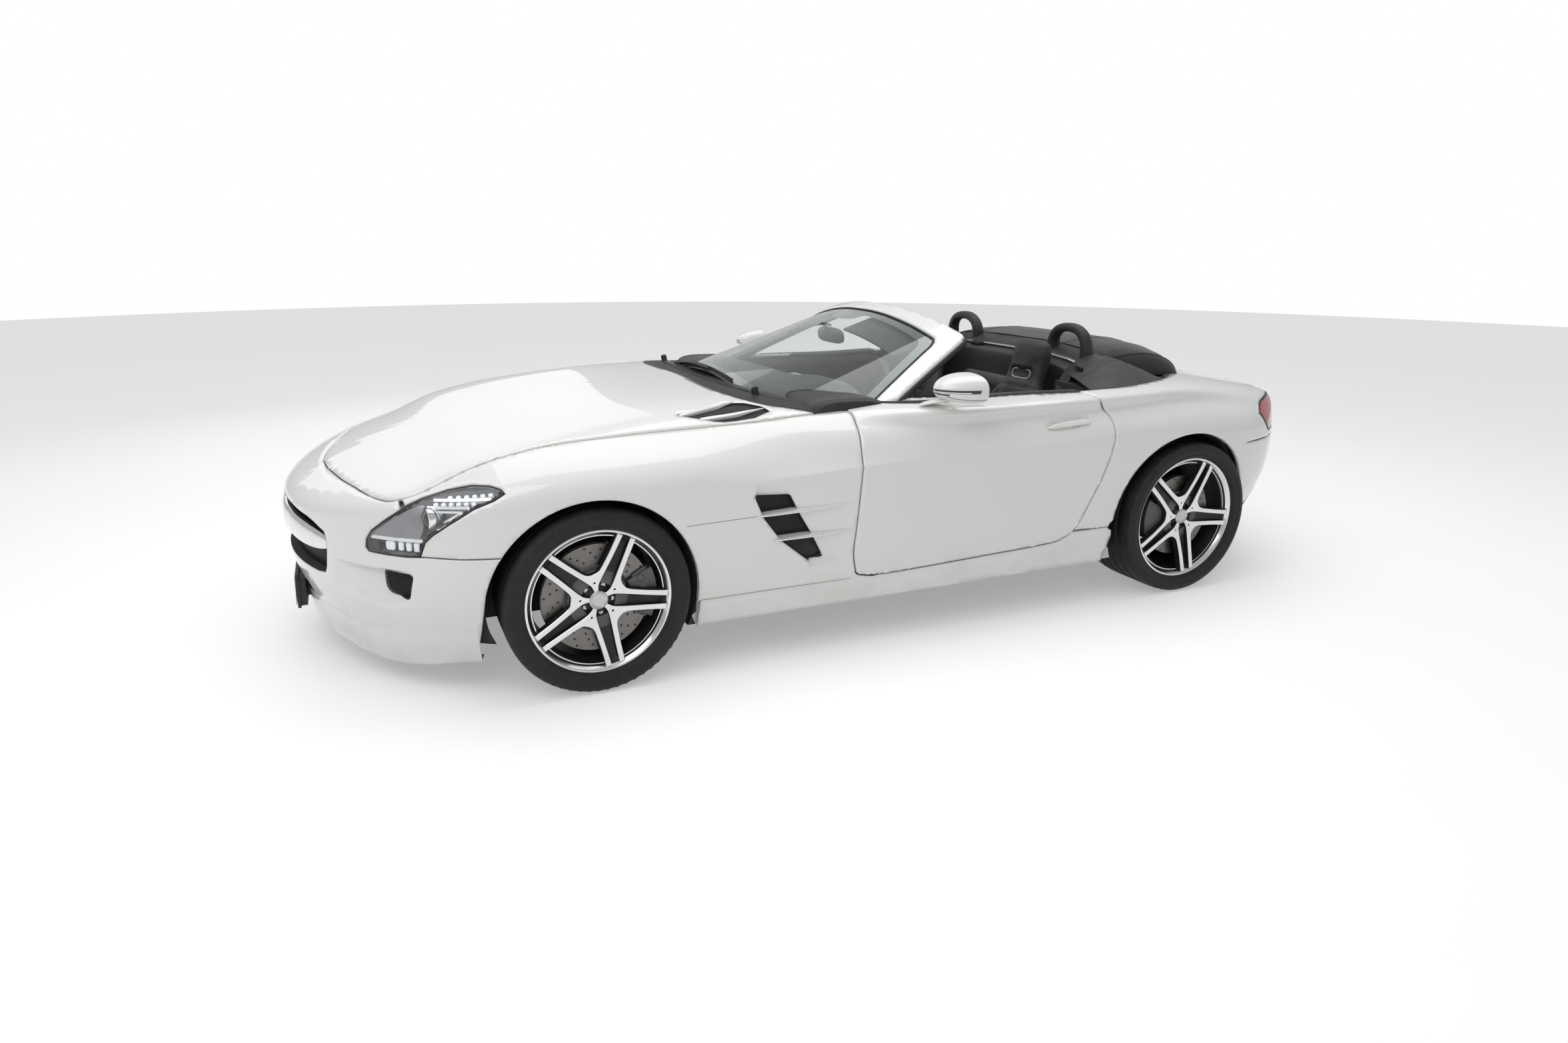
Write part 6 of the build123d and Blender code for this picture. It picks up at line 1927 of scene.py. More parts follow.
def windscreen():
    pane = screen_sheet([GLASS_EDGE], (0.03, 0.03), 0.0, 0.005, fine=0.012)
    v, f, _ = pane
    glass = new_mesh("screen_glass", v, f)
    glass.data.set_sharp_from_angle(angle=math.radians(40))
    wear(glass, "body", "glass", "windscreen_glass", "glass")
    # black ceramic border and the shaded patch behind the mirror
    day = mirrored(np.array(((0, -0.500), (0.30, -0.490), (0.44, -0.474), (0.60, -0.405), (0.690, -0.290),
        (0.722, -0.190), (0.712, -0.150), (0.560, 0.180), (0.535, 0.205), (0.30, 0.192), (0.115, 0.182),
        (0.10, 0.128), (0.03, 0.110), (0, 0.108))))
    border = screen_sheet([offset_loop(GLASS_EDGE, -0.001), soft_profile(day, 0.02, 4)], (0.02, 0.02),
        -0.0056, 0.0006, fine=0.010)
    piece("screen_border", [border], "body", ["gloss"], slot="black_trim", angle=60)
    # painted pillars and header, one smooth pressing
    outline = frame_outline()
    body_col = panel("screen_frame", lambda uv: on_screen(uv, 0.010), [outline], (0.014, 0.014), 0.030,
        normal=lambda p: screen_normal(p[:, 0]), turn=0.011, fine=0.010)
    wear(body_col, "body", "paint", "windscreen_frame", "paint")
    # glass bonding seal, a thin raised rubber line between glass and frame
    edge = resample(GLASS_EDGE, 0.012)
    seal = sweep(on_screen(edge, 0.0018), oval(0.0042, 0.0026, 10), up=screen_normal(edge[:, 0]), closed=True)
    piece("screen_seal", [seal], "body", ["rubber"], slot="black_trim")
    # fat rubber seal along the rear edge of pillars and header, which the side glass and roof close on
    half_out, _ = frame_loop()
    run = np.concatenate([half_out[2:], (half_out[2:-1] * (-1, 1))[::-1]])
    run = resample(run, 0.012, closed=False)
    d = np.gradient(run, axis=0)
    d /= np.linalg.norm(d, axis=1)[:, None]
    out = np.c_[d[:, 1], -d[:, 0]]
    out *= np.sign((out * (run - (0, 0))).sum(1).mean())
    path = on_screen(run + out * 0.003, -0.016)
    piece("pillar_seal", [sweep(path, oval(0.0085, 0.0125, 14), up=screen_normal(run[:, 0]))], "body",
        ["rubber"], slot="black_trim")
    # trimmed inside of the frame and the sun visors
    inner = offset_loop(outline, -0.004)
    lining = screen_sheet([inner], (0.02, 0.02), -0.0205, 0.010, fine=0.012)
    visors = []
    for s in (-1, 1):
        o = soft_profile(np.array(((0.12, 0.060), (0.53, 0.080), (0.545, 0.235), (0.12, 0.215))) * (s, 1),
            0.02, 6)
        uv, tri = triangulate([o], 0.02)
        d0 = np.min(np.linalg.norm(uv[:, None] - resample(o, 0.01)[None], axis=2), axis=1)
        puff = 0.007 * np.sqrt(np.clip(d0 / 0.03, 0, 1) * (2 - np.clip(d0 / 0.03, 0, 1)))
        v = np.concatenate([on_screen(uv, -0.026 + puff * 0.4), on_screen(uv, -0.030 - puff)])
        k = len(uv)
        rim = border_edges(tri)
        visors.append((v, both_sides(tri, rim, k), 1))
    piece("frame_lining", [lining] + visors, "body", ["fabric", "leather"], slot="black_trim")
    # inner mirror: shell, bevelled glass, ball stalk and its foot on the screen
    rim = oval(0.118, 0.036, 48, 3.2)
    c = np.array((0.0, 0.075, 1.108))
    ax, az, ay = np.array((1, 0, 0.0)), np.array((0, -0.16, 0.987)), np.array((0, 0.987, 0.16))
    rings = np.stack([c + rim[:, :1] * s * ax + rim[:, 1:] * s * az + ay * h
        for s, h in ((0.10, -0.026), (0.55, -0.023), (0.85, -0.014), (1.0, 0.0), (1.0, 0.006),
        (0.965, 0.009), (0.93, 0.0075))])
    face = np.stack([c + rim[:, :1] * s * ax + rim[:, 1:] * s * az + ay * h
        for s, h in ((0.94, 0.004), (0.925, 0.0082), (0.02, 0.0084))])
    parts = [(rings.reshape(-1, 3), capped(7, 48), 0),
             (face.reshape(-1, 3), capped(3, 48), 1)]
    foot = on_screen(np.array(((0, 0.045),)), -0.008)[0]
    parts.append(sweep(np.array([c + ay * -0.02, c + (0, -0.035, 0.02), foot + (0, 0.0, -0.012), foot]),
        oval(0.010, 0.008, 12), up=(1, 0, 0), mark=0))
    parts.append(lathe_at([(0.0, 0.0), (0.0, 0.030), (0.010, 0.026), (0.014, 0.0)], foot + (0, 0, -0.008),
        (0, 0.2, 1), 24, 0))
    piece("inner_mirror", parts, "body", ["trim", "reflector"], slot="black_trim")


def cowl_and_wipers():
    """Black grille between bonnet and screen, its slots, and two crossed wipers at rest."""
    front_half = np.array(((0, -0.6275), (0.25, -0.6205), (0.45, -0.5955), (0.602, -0.5355),
        (0.693, -0.4375), (0.7425, -0.3475), (0.788, -0.3365)))
    back_half = np.array(((0.789, -0.262), (0.757, -0.262), (0.742, -0.300), (0.640, -0.455),
        (0.445, -0.548), (0.300, -0.567), (0, -0.578)))
    loop = np.concatenate([front_half, back_half, (back_half[:-1] * (-1, 1))[::-1],
        (front_half[1:] * (-1, 1))[::-1]])
    obj = panel("cowl_skin", from_above, [loop], 0.012, 0.008, turn=0.002, fine=0.008)
    wear(obj, "body", "trim", "cowl", "black_trim")
    # the strip that rides with the bonnet
    skin_half = offset_loop(BONNET_SKIN, 0.0015)
    rear_pts = skin_half[(skin_half[:, 0] >= 0) & (skin_half[:, 1] > -0.72)]
    rear_pts = rear_pts[np.argsort(rear_pts[:, 0])]
    rear_pts = rear_pts[rear_pts[:, 0] < 0.7925]
    lid_rear = smooth_loop(BONNET_REAR, 4, False)
    loop = np.concatenate([rear_pts, [(0.7925, -0.41)], lid_rear])
    loop = np.concatenate([loop[loop[:, 0] > 1e-6], (loop * (-1, 1))[::-1][(loop[::-1, 0] > 1e-6)]])
    loop = np.concatenate([rear_pts[rear_pts[:, 0] > 1e-6], [(0.7925, -0.41), (0.7925, -0.345)],
        lid_rear[lid_rear[:, 0] > 1e-6][1:]])
    loop = np.concatenate([loop, (loop * (-1, 1))[::-1]])
    obj = panel("bonnet_strip", from_above, [loop], 0.012, 0.010, turn=0.002, fine=0.008)
    wear(obj, "bonnet", "trim", slot="black_trim")
    # slots across the cowl
    slots = []
    for x in np.arange(-0.52, 0.521, 0.026):
        y0 = np.interp(abs(x), (0, 0.25, 0.45, 0.602), (-0.6275, -0.6205, -0.5955, -0.5355)) + 0.008
        line = from_above(np.array(((x, y0), (x, y0 + 0.012), (x, y0 + 0.024))))
        slots.append(sweep(line + (0, 0, 0.0008), oval(0.0075, 0.0012, 10), up=(0, 0, 1)))
    piece("cowl_slots", slots, "body", ["gloss"], slot="black_trim")
    for tag, s, lift in (("l", 1, 0.0), ("r", -1, 0.012)):
        pivot = from_above(np.array(((s * 0.560, -0.560),)))[0] + (0, 0, 0.006)
        base = np.array(((0.545, -0.552), (0.40, -0.560), (0.22, -0.568), (0.05, -0.572),
            (-0.10, -0.570))) * (s, 1)
        arm = on_screen(smooth_loop(base, 6, False), 0.020 + lift)
        arm[0] = pivot + (0, 0, 0.016)
        widths = np.linspace(0.011, 0.006, len(arm))
        sec = oval(1, 1, 12, 3) * (1, 0.55)
        parts = [sweep(arm, sec[None] * widths[:, None, None], up=(0, -0.3, 1), mark=0),
                 lathe_at([(-0.02, 0.0), (-0.02, 0.014), (0.012, 0.014), (0.018, 0.011), (0.020, 0.0)],
                 pivot + (0, 0, 0.004), (0, -0.25, 1), 24, 0)]
        blade_xy = np.array(((0.30, -0.545), (0.15, -0.553), (0.0, -0.556), (-0.15, -0.553),
            (-0.30, -0.545))) * (s, 1)
        blade = smooth_loop(blade_xy, 6, False)
        parts.append(sweep(on_screen(blade, 0.010 + lift),
            np.array(((-0.008, 0.0), (-0.004, 0.004), (0.0, 0.0085), (0.002, 0.004), (0.006, 0.0))),
            up=screen_normal(blade[:, 0]), mark=0))
        parts.append(sweep(on_screen(blade, 0.0045 + lift * 0.8),
            np.array(((-0.0009, -0.0042), (0.0009, -0.0042), (0.0025, 0.0035), (-0.0025, 0.0035))),
            up=screen_normal(blade[:, 0]), mark=1))
        piece(f"wiper_{tag}", parts, "body", ["trim", "rubber"], slot="black_trim")


windscreen()
cowl_and_wipers()

# ---------------------------------------------------------------- wings, doors and mirrors
def side_vent(tag, side):
    """Diamond mesh in the hollow behind the wheel, its turned-in edge, and two long blades that run on
    over the wing and thin to a point."""
    flip = (lambda part: part) if side > 0 else mirror_part
    left = side_chart(1)
    loop = side_angles(soft_profile(VENT, 0.012, 4), 1)
    parts = lattice(left, offset_loop(loop, 0.003), 0.0115, 0.0028, 0.030)
    parts.append(collar(left, offset_loop(loop, 0.0006), 0.045, 0.002, 1))
    parts.append(bed(left, offset_loop(loop, 0.002), (0.02, 0.02), 0.044, mark=1))
    piece(f"vent_mesh_{tag}", [flip(q) for q in parts], "body", ["mesh", "under"], "vent_mesh"
        if side > 0 else (), "black_trim")
    blades = []
    for (y0, z0), (y1, z1) in (((-0.716, 0.577), (-0.322, 0.592)), ((-0.655, 0.478), (-0.318, 0.4846))):
        t = np.linspace(0, 1, 60)
        line = from_side(1)(np.c_[y0 + (y1 - y0) * t, z0 + (z1 - z0) * t - 0.004 * np.sin(math.pi * t)])
        n = body_field(line)[1]
        inward = np.interp(t, (0, 0.04, 0.35, 0.62, 1), (0.010, 0.034, 0.036, 0.022, 0.002))
        proud = np.interp(t, (0, 0.1, 0.45, 0.8, 1), (0.000, 0.006, 0.008, 0.004, -0.001))
        # plate: from inside the hollow out to the bead, its top face tipped a little
        h = np.interp(t, (0, 0.1, 0.4, 0.8, 1), (0.0022, 0.004, 0.007, 0.004, 0.0012))
        sec = np.stack([np.stack([h * 0.5, proud], -1), np.stack([-h, proud], -1),
            np.stack([-h * 1.1, -inward], -1), np.stack([h * 0.9, -inward], -1)], 1)
        blades.append(sweep(line, sec, up=n, mark=2))
        bead = oval(1, 1, 12)[None] * np.interp(t, (0, 0.05, 0.8, 1), (0.0026, 0.0042, 0.0036, 0.0008))[:,
            None, None]
        blades.append(sweep(line + n * proud[:, None], bead, up=n, mark=0))
    piece(f"vent_blades_{tag}", [flip(q) for q in blades], "body", ["bright", "silver", "paint"],
        "vent_blades" if side > 0 else (), "bright")
    # joint line between wing and its lower part, ahead of and behind the blade
    grooves = []
    line = from_side(1)(np.c_[np.linspace(-0.995, -0.722, 30), np.linspace(0.5715, 0.5768, 30)])
    n = body_field(line)[1]
    grooves.append(sweep(line + n * 0.00015, oval(0.0008, 0.0004, 6), up=n))
    piece(f"wing_joint_{tag}", [flip(q) for q in grooves], "body", ["trim"], slot="black_trim")


def bonnet_outlets():
    """Black slots near the bonnet's rear corners, each parted by two painted fins that run back past
    the opening."""
    parts, fins = [], []
    parts.append(bed(from_above, OUTLET, (0.012, 0.012), 0.0095, 0.002))
    parts.append(collar(from_above, OUTLET, 0.0095, 0.0012, 0))
    for path, wide in ((((0.722, -0.936), (0.705, -0.865), (0.688, -0.80), (0.668, -0.735),
        (0.652, -0.690)), 0.022), (((0.758, -0.868), (0.757, -0.80), (0.752, -0.735), (0.742, -0.665),
        (0.728, -0.600)), 0.020)):
        line = smooth_loop(np.array(path), 8, False)
        p = from_above(line)
        n = body_field(p)[1]
        t = np.linspace(0, 1, len(p))
        w = wide * np.interp(t, (0, 0.12, 0.6, 1), (0.55, 1.0, 0.8, 0.12))
        top = np.interp(t, (0, 0.2, 0.7, 1), (0.0, 0.0035, 0.0045, 0.0))
        low = np.interp(t, (0, 0.6, 0.75, 1), (-0.0095, -0.0095, -0.004, -0.002))
        sec = np.stack([np.stack([-w * 0.5, low], -1), np.stack([w * 0.5, low], -1),
            np.stack([w * 0.5, top - 0.003], -1), np.stack([w * 0.38, top], -1),
            np.stack([-w * 0.2, top + 0.0008], -1), np.stack([-w * 0.5, top - 0.0035], -1)], 1)
        fins.append(sweep(p, sec, up=n))
    piece("outlet_beds", parts + [mirror_part(q) for q in parts], "bonnet", ["under"], slot="black_trim")
    piece("outlet_fins", fins + [mirror_part(q) for q in fins], "bonnet", ["paint"], slot="paint")


def mirror(tag, side):
    """Door mirror: a domed shell whose rounded sections grow from the front, a lower lip, the lamp
    strip round its face, the arm to the door, and the glass set in a black rim."""
    flip = (lambda part: part) if side > 0 else mirror_part
    c = np.array((0.972, 0.105, 0.990))
    hx, hz = 0.078, 0.063
    t = np.linspace(0, 1, 22)
    grow = np.sqrt(np.clip(1 - (1 - t) ** 2.3, 0, 1)) * (1 - 0.03 * t ** 6)
    y = -0.098 + 0.158 * t
    ring = oval(1, 1, 72, 2.7)
    # flatter underneath, fuller at the top outer corner, tapering towards the door
    zz = ring[:, 1] * np.where(ring[:, 1] < 0, 0.78,
        1.0) * (1 - 0.10 * ring[:, 0] * (ring[:, 1] > 0)) - 0.05 * ring[:, 0]
    sweep_x = -0.020 * (1 - t) ** 1.5
    P = np.stack([c[0] + sweep_x[:, None] + hx * grow[:, None] * ring[None, :, 0],
        np.broadcast_to((c[1] + y)[:, None] - 0.016 * ring[None, :, 0] * -1 * t[:, None], (22, 72)) ,
        c[2] + hz * grow[:, None] * zz[None]], -1)
    shell_v = P.reshape(-1, 3)
    faces = capped(22, 72)
    # the whole shell in the one paint finish
    parts = [(shell_v, faces, 0)]
    # parting line between upper and lower shell
    k = np.argmin(np.abs(zz + 0.52) + (ring[:, 0] < 0) * 9)
    line = np.array([P[i, k] for i in range(3, 22)])
    back = np.array([P[i, np.argmin(np.abs(zz + 0.52) + (ring[:, 0] > 0) * 9)] for i in range(3, 22)])[::-1]
    path = np.concatenate([back, line])
    parts.append(sweep(path, oval(0.0011, 0.0011, 6), mark=1))
    # lamp strip across the front and round the outer end
    def on_shell(u, z):
        """Point on the front dome at sideways fraction u and height z: the dome's depth follows its
        own growth curve."""
        r = np.clip((np.abs(u) ** 2.7 + np.abs(z) ** 2.7) ** (1 / 2.7), 0, 0.999)
        tt = 1 - np.clip(1 - r ** 2, 0, 1) ** (1 / 2.3)
        return np.stack([c[0] - 0.020 * (1 - tt) ** 1.5 + hx * u,
            c[1] - 0.098 + 0.158 * tt + 0.016 * u * tt,
            c[2] + hz * (z * (1 - 0.10 * u * (z > 0)) - 0.05 * u)], -1)
    for z_mid, wide0, m, u2, proud in ((0.07, 0.105, 3, np.linspace(-0.30, 0.985, 60), 0.0014),
        (-0.14, 0.045, 3, np.linspace(-0.50, 0.60, 44), 0.0014),
        (0.02, 0.022, 2, np.linspace(0.10, 0.93, 40), 0.0026)):
        q = (u2 - u2[0]) / (u2[-1] - u2[0])
        w = wide0 * np.interp(q, (0, 0.35, 1), (0.05, 0.55, 1.0))
        rows = np.stack([on_shell(u2, z_mid + w * s) for s in (-1, -0.5, 0, 0.5, 1)], 1)
        centre = c + (0, 0.02, 0)
        out = rows - centre
        out /= np.linalg.norm(out, axis=-1, keepdims=True)
        g = rows + out * proud
        sh = shell(g, 0.003, m)
        parts.append(sh)
    # lower lip along the bottom
    lip = np.stack([on_shell(np.linspace(-0.9, 0.9, 40), -0.80 + 0.0 * z) for z in (0,)], 0)[0]
    parts.append(sweep(lip + (0, -0.001, -0.001), oval(0.004, 0.003, 8), mark=0))
    # arm: a swept foot from the door's shoulder
    foot = np.array(((0.862, 0.035, 0.925), (0.880, 0.045, 0.936), (0.905, 0.070, 0.945),
        (0.930, 0.095, 0.950), (0.955, 0.110, 0.955)))
    arm = smooth_loop(foot, 6, False)
    q = np.linspace(0, 1, len(arm))
    sec = oval(1, 1, 20, 2.6)[None] * np.stack([np.interp(q, (0, 0.3, 1), (0.062, 0.042, 0.030)),
        np.interp(q, (0, 0.3, 1), (0.010, 0.009, 0.012))], -1)[:, None]
    parts.append(sweep(arm, sec, up=(0, 0, 1), mark=0))
    # back: black rim and glass
    yb = c[1] + 0.060
    rim = ring * (hx * 0.955, hz * 0.93)
    rim[:, 1] = zz * hz * 0.93
    rim[:, 0] = ring[:, 0] * hx * 0.955
    rings = np.stack([np.stack([c[0] + rim[:, 0] * s, np.full(72, yb + d) + 0.016 * ring[:, 0],
        c[2] + rim[:, 1] * s], -1) for s, d in ((1.0, -0.003), (0.985, 0.0025), (0.93, 0.0035),
        (0.915, -0.001), (0.90, -0.001))])
    parts.append((rings.reshape(-1, 3), capped(5, 72), 1))
    glass = np.stack([np.stack([c[0] + rim[:, 0] * s, np.full(72, yb + d) + 0.016 * ring[:, 0] * s,
        c[2] + rim[:, 1] * s], -1) for s, d in ((0.90, -0.002), (0.895, 0.0005), (0.02, 0.0012))])
    parts.append((glass.reshape(-1, 3), capped(3, 72), 4))
    piece(f"door_mirror_{tag}", [flip(q) for q in parts], f"door_{tag}",
        ["paint", "trim", "led", "gloss", "reflector"], f"mirror_{tag}", "paint")


def door_fittings(tag, side):
    """Handle blade over its bowl with two bright pins, the black belt seal, and the trimmed inside of
    the door with armrest, pull and speaker."""
    flip = (lambda part: part) if side > 0 else mirror_part
    body = f"door_{tag}"
    line = from_side(1)(smooth_loop(np.array(((0.570, 0.803), (0.620, 0.8075), (0.690, 0.8115),
        (0.750, 0.8145), (0.789, 0.816))), 8, False))
    n = body_field(line)[1]
    t = np.linspace(0, 1, len(line))
    w = np.interp(t, (0, 0.12, 0.5, 0.92, 1), (0.003, 0.0085, 0.0115, 0.0110, 0.006))
    h = np.interp(t, (0, 0.15, 0.9, 1), (0.001, 0.0045, 0.0050, 0.001))
    sec = oval(1, 1, 18, 2.6)[None] * np.stack([w, np.full_like(w, 0.0042)], -1)[:, None]
    parts = [sweep(line + n * h[:, None], sec, up=n, mark=0)]
    for y, z in ((0.741, 0.8365), (0.7805, 0.829), (0.752, 0.7965)):
        q = from_side(1)(np.array(((y, z),)))
        m = body_field(q)[1]
        q, m = dented(q, m)
        parts.append(lathe_at([(-0.001, 0.004), (0.002, 0.004), (0.0032, 0.003), (0.0036, 0.0)], q[0],
            m[0], 16, 1))
    piece(f"door_handle_{tag}", [flip(q) for q in parts], body, ["paint", "bright"], slot="paint")
    # belt seal on the door's top edge
    y = np.linspace(-0.262, 0.800, 110)
    edge = from_side(1)(np.c_[y, np.full(110, 0.9255)])
    edge[:, 0] = np.minimum(edge[:, 0], 0.868) - 0.0015
    path = np.c_[edge[:, 0] - 0.010, y, np.full(110, 0.9285)]
    sec = np.array(((-0.012, -0.012), (0.009, -0.012), (0.010, -0.002), (0.004, 0.0035), (-0.006, 0.0035),
        (-0.012, -0.003)))
    belt = [sweep(path, sec, up=(0, 0, 1), mark=0)]
    inner = path + (-0.030, 0, -0.002)
    belt.append(sweep(inner, np.array(((-0.016, -0.010), (0.016, -0.010), (0.017, 0.0), (0.008, 0.004),
        (-0.010, 0.004), (-0.016, -0.002))), up=(0, 0, 1), mark=1))
    piece(f"belt_seal_{tag}", [flip(q) for q in belt], body, ["rubber", "leather"], slot="black_trim")
    # door card: waisted panel with padded upper roll, armrest shelf and pocket
    gy, gz = np.linspace(-0.225, 0.765, 74), np.linspace(0.345, 0.905, 46)
    Y, Z = np.meshgrid(gy, gz, indexing="ij")
    rest = ease(Z, 0.585, 0.625) * (1 - ease(Z, 0.655, 0.668)) * ease(Y, -0.05,
        0.10) * (1 - ease(Y, 0.60, 0.70))
    roll = 0.016 * np.exp(-((Z - 0.875) / 0.035) ** 2)
    pocket = ease(Z, 0.395, 0.405) * (1 - ease(Z, 0.475, 0.485)) * ease(Y, -0.12,
        -0.08) * (1 - ease(Y, 0.42, 0.47))
    X = 0.7955 - 0.040 * rest - roll + 0.004 * pocket - 0.004
    grid = np.stack([X, Y, Z], -1)
    parts = [shell(grid[:, ::-1], 0.004, 0)]
    # bright pull, window switches, speaker rings
    pull = smooth_loop(np.array(((0.760, 0.30, 0.700), (0.748, 0.34, 0.712), (0.746, 0.42, 0.718),
        (0.748, 0.50, 0.714), (0.762, 0.55, 0.703))), 6, False)
    parts.append(sweep(pull, oval(0.008, 0.0055, 12), up=(0, 0, 1), mark=1))
    lever = smooth_loop(np.array(((0.784, -0.02, 0.765), (0.776, 0.03, 0.770), (0.775, 0.08, 0.770))), 6,
        False)
    parts.append(sweep(lever, oval(0.004, 0.010, 12), up=(1, 0, 0.2), mark=1))
    for k, r in enumerate((0.066, 0.058)):
        parts.append(lathe_at([(0.002, r), (-0.004, r), (-0.006, r - 0.004), (0.002, r - 0.005)],
            (0.7895, -0.10, 0.500), (1, 0, 0), 48, 1 if k == 0 else 2, close=True))
    parts.append(lathe_at([(0.004, 0.056), (-0.001, 0.054), (-0.003, 0.0)], (0.7895, -0.10, 0.500),
        (1, 0, 0), 48, 2))
    for yy in (0.12, 0.155):
        v, f = slab_box((0.757, yy, 0.664), (0.777, yy + 0.024, 0.672), 0.002)
        parts.append((v, f, 2))
    piece(f"door_card_{tag}", [flip(q) for q in parts], body, ["leather", "silver", "trim"], slot="leather")
    # stitch run under the padded roll
    sy = np.arange(-0.21, 0.76, 0.0075)
    stitches = []
    for yy in sy:
        stitches.append(sweep(np.array(((0.7865, yy, 0.838), (0.7862, yy + 0.0045, 0.838))),
            oval(0.0007, 0.0006, 5), mark=0))
    piece(f"door_stitch_{tag}", [flip(q) for q in stitches], body, ["stitch"], slot="leather")


for tag, side in (("l", 1), ("r", -1)):
    side_vent(tag, side)
    mirror(tag, side)
    door_fittings(tag, side)
bonnet_outlets()

# ---------------------------------------------------------------- stuffed seats
def closed_loft(line, section):
    """Closed form: at each point of a spine (y, z) a ring section(s, v) of (across x, outward n); both
    ends run to a small ring and are shut."""
    line = np.asarray(line, float)
    d = np.gradient(line, axis=0)
    d /= np.linalg.norm(d, axis=1)[:, None]
    n = np.c_[-d[:, 1], d[:, 0]]
    sec = section
    v = np.concatenate([sec[..., :1], line[:, None, :] + n[:, None, :] * sec[..., 1:]], -1)
    k, m = v.shape[:2]
    return v.reshape(-1, 3), capped(k, m, True)


def stuffed(v, f, cap=(0.004, 0.012), voxel=0.011, force=4.0):
    """Leather over foam: the closed form is remeshed to an even net, blown up by cloth pressure with no
    weight, and each point's way is cut to at most the cap's second value; the cap's first value is not used.
    Gives points, faces and normals."""
    mesh = bpy.data.meshes.new("stuffing")
    mesh.from_pydata(np.asarray(v).tolist(), [], f)
    bm = bmesh.new()
    bm.from_mesh(mesh)
    bmesh.ops.recalc_face_normals(bm, faces=bm.faces)
    bm.to_mesh(mesh)
    bm.free()
    obj = bpy.data.objects.new("stuffing", mesh)
    bpy.context.scene.collection.objects.link(obj)

    def settle():
        bpy.context.view_layer.update()
        obj.data = bpy.data.meshes.new_from_object(obj.evaluated_get(bpy.context.evaluated_depsgraph_get()))
        obj.modifiers.clear()

    net = obj.modifiers.new("net", "REMESH")
    net.mode = "VOXEL"
    net.voxel_size = voxel
    settle()
    n = len(obj.data.vertices)
    start = np.empty(n * 3)
    obj.data.vertices.foreach_get("co", start)
    start = start.reshape(-1, 3)
    cloth = obj.modifiers.new("cloth", "CLOTH")
    s = cloth.settings
    s.quality, s.mass, s.use_pressure, s.uniform_pressure_force = 5, 0.3, True, force
    s.tension_stiffness = s.compression_stiffness = 18
    s.shear_stiffness = 6
    s.bending_stiffness = 1.0
    s.effector_weights.gravity = 0
    cloth.point_cache.frame_start, cloth.point_cache.frame_end = 1, 20
    for frame_no in range(1, 21):
        bpy.context.scene.frame_set(frame_no)
    blown = obj.evaluated_get(bpy.context.evaluated_depsgraph_get()).data
    end = np.empty(n * 3)
    blown.vertices.foreach_get("co", end)
    end = end.reshape(-1, 3)
    way = end - start
    far = np.linalg.norm(way, axis=1)[:, None]
    way *= np.clip(far, 0, cap[1]) / (far + 1e-9)
    obj.modifiers.clear()
    obj.data.vertices.foreach_set("co", (start + way).ravel())
    bpy.context.scene.frame_set(1)
    m = obj.data
    v = np.empty(len(m.vertices) * 3)
    m.vertices.foreach_get("co", v)
    nrm = np.empty(len(m.vertices) * 3)
    m.vertices.foreach_get("normal", nrm)
    c = np.empty(len(m.loops), np.int32)
    m.loops.foreach_get("vertex_index", c)
    faces = c.reshape(-1, 4)
    bpy.data.objects.remove(obj)
    return v.reshape(-1, 3), faces, nrm.reshape(-1, 3)


def lay(points, v, n, axis, sign, lift=0.0):
    """Height of points given in the other two axes on the side of a skin that faces along axis: the
    mean of the nearest skin points, weighted by one over squared distance."""
    ok = n[:, axis] * sign > 0.2
    other = [k for k in range(3) if k != axis]
    q = v[ok][:, other]
    p = np.asarray(points, float)
    d = ((p[:, None] - q[None]) ** 2).sum(-1)
    near = np.argpartition(d, 6, axis=1)[:, :6]
    w = 1 / (np.take_along_axis(d, near, 1) + 1e-7)
    h = (v[ok][:, axis][near] * w).sum(1) / w.sum(1) + sign * lift
    out = np.empty((len(p), 3))
    out[:, other] = p
    out[:, axis] = h
    return out


def stitch_run(path, up, gap=0.0085, mark=0):
    """Thread seen along a seam: short rounded dashes at even spacing on a path."""
    path = np.asarray(path, float)
    s = np.concatenate([[0], np.cumsum(np.linalg.norm(np.diff(path, axis=0), axis=1))])
    out = []
    for a in np.arange(0, s[-1] - gap, gap):
        t = np.array((a, a + gap * 0.3, a + gap * 0.62))
        out.append(sweep(np.stack([np.interp(t, s, path[:, k]) for k in range(3)], -1),
            oval(0.0007, 0.0006, 5), up=up, mark=mark))
    return out


def groove(v, n, d, depth=0.006, width=0.005):
    """Skin pulled in along a line: each point goes back along its normal by depth times exp of minus
    (distance over width) squared."""
    return v - n * (depth * np.exp(-(d / width) ** 2))[:, None]


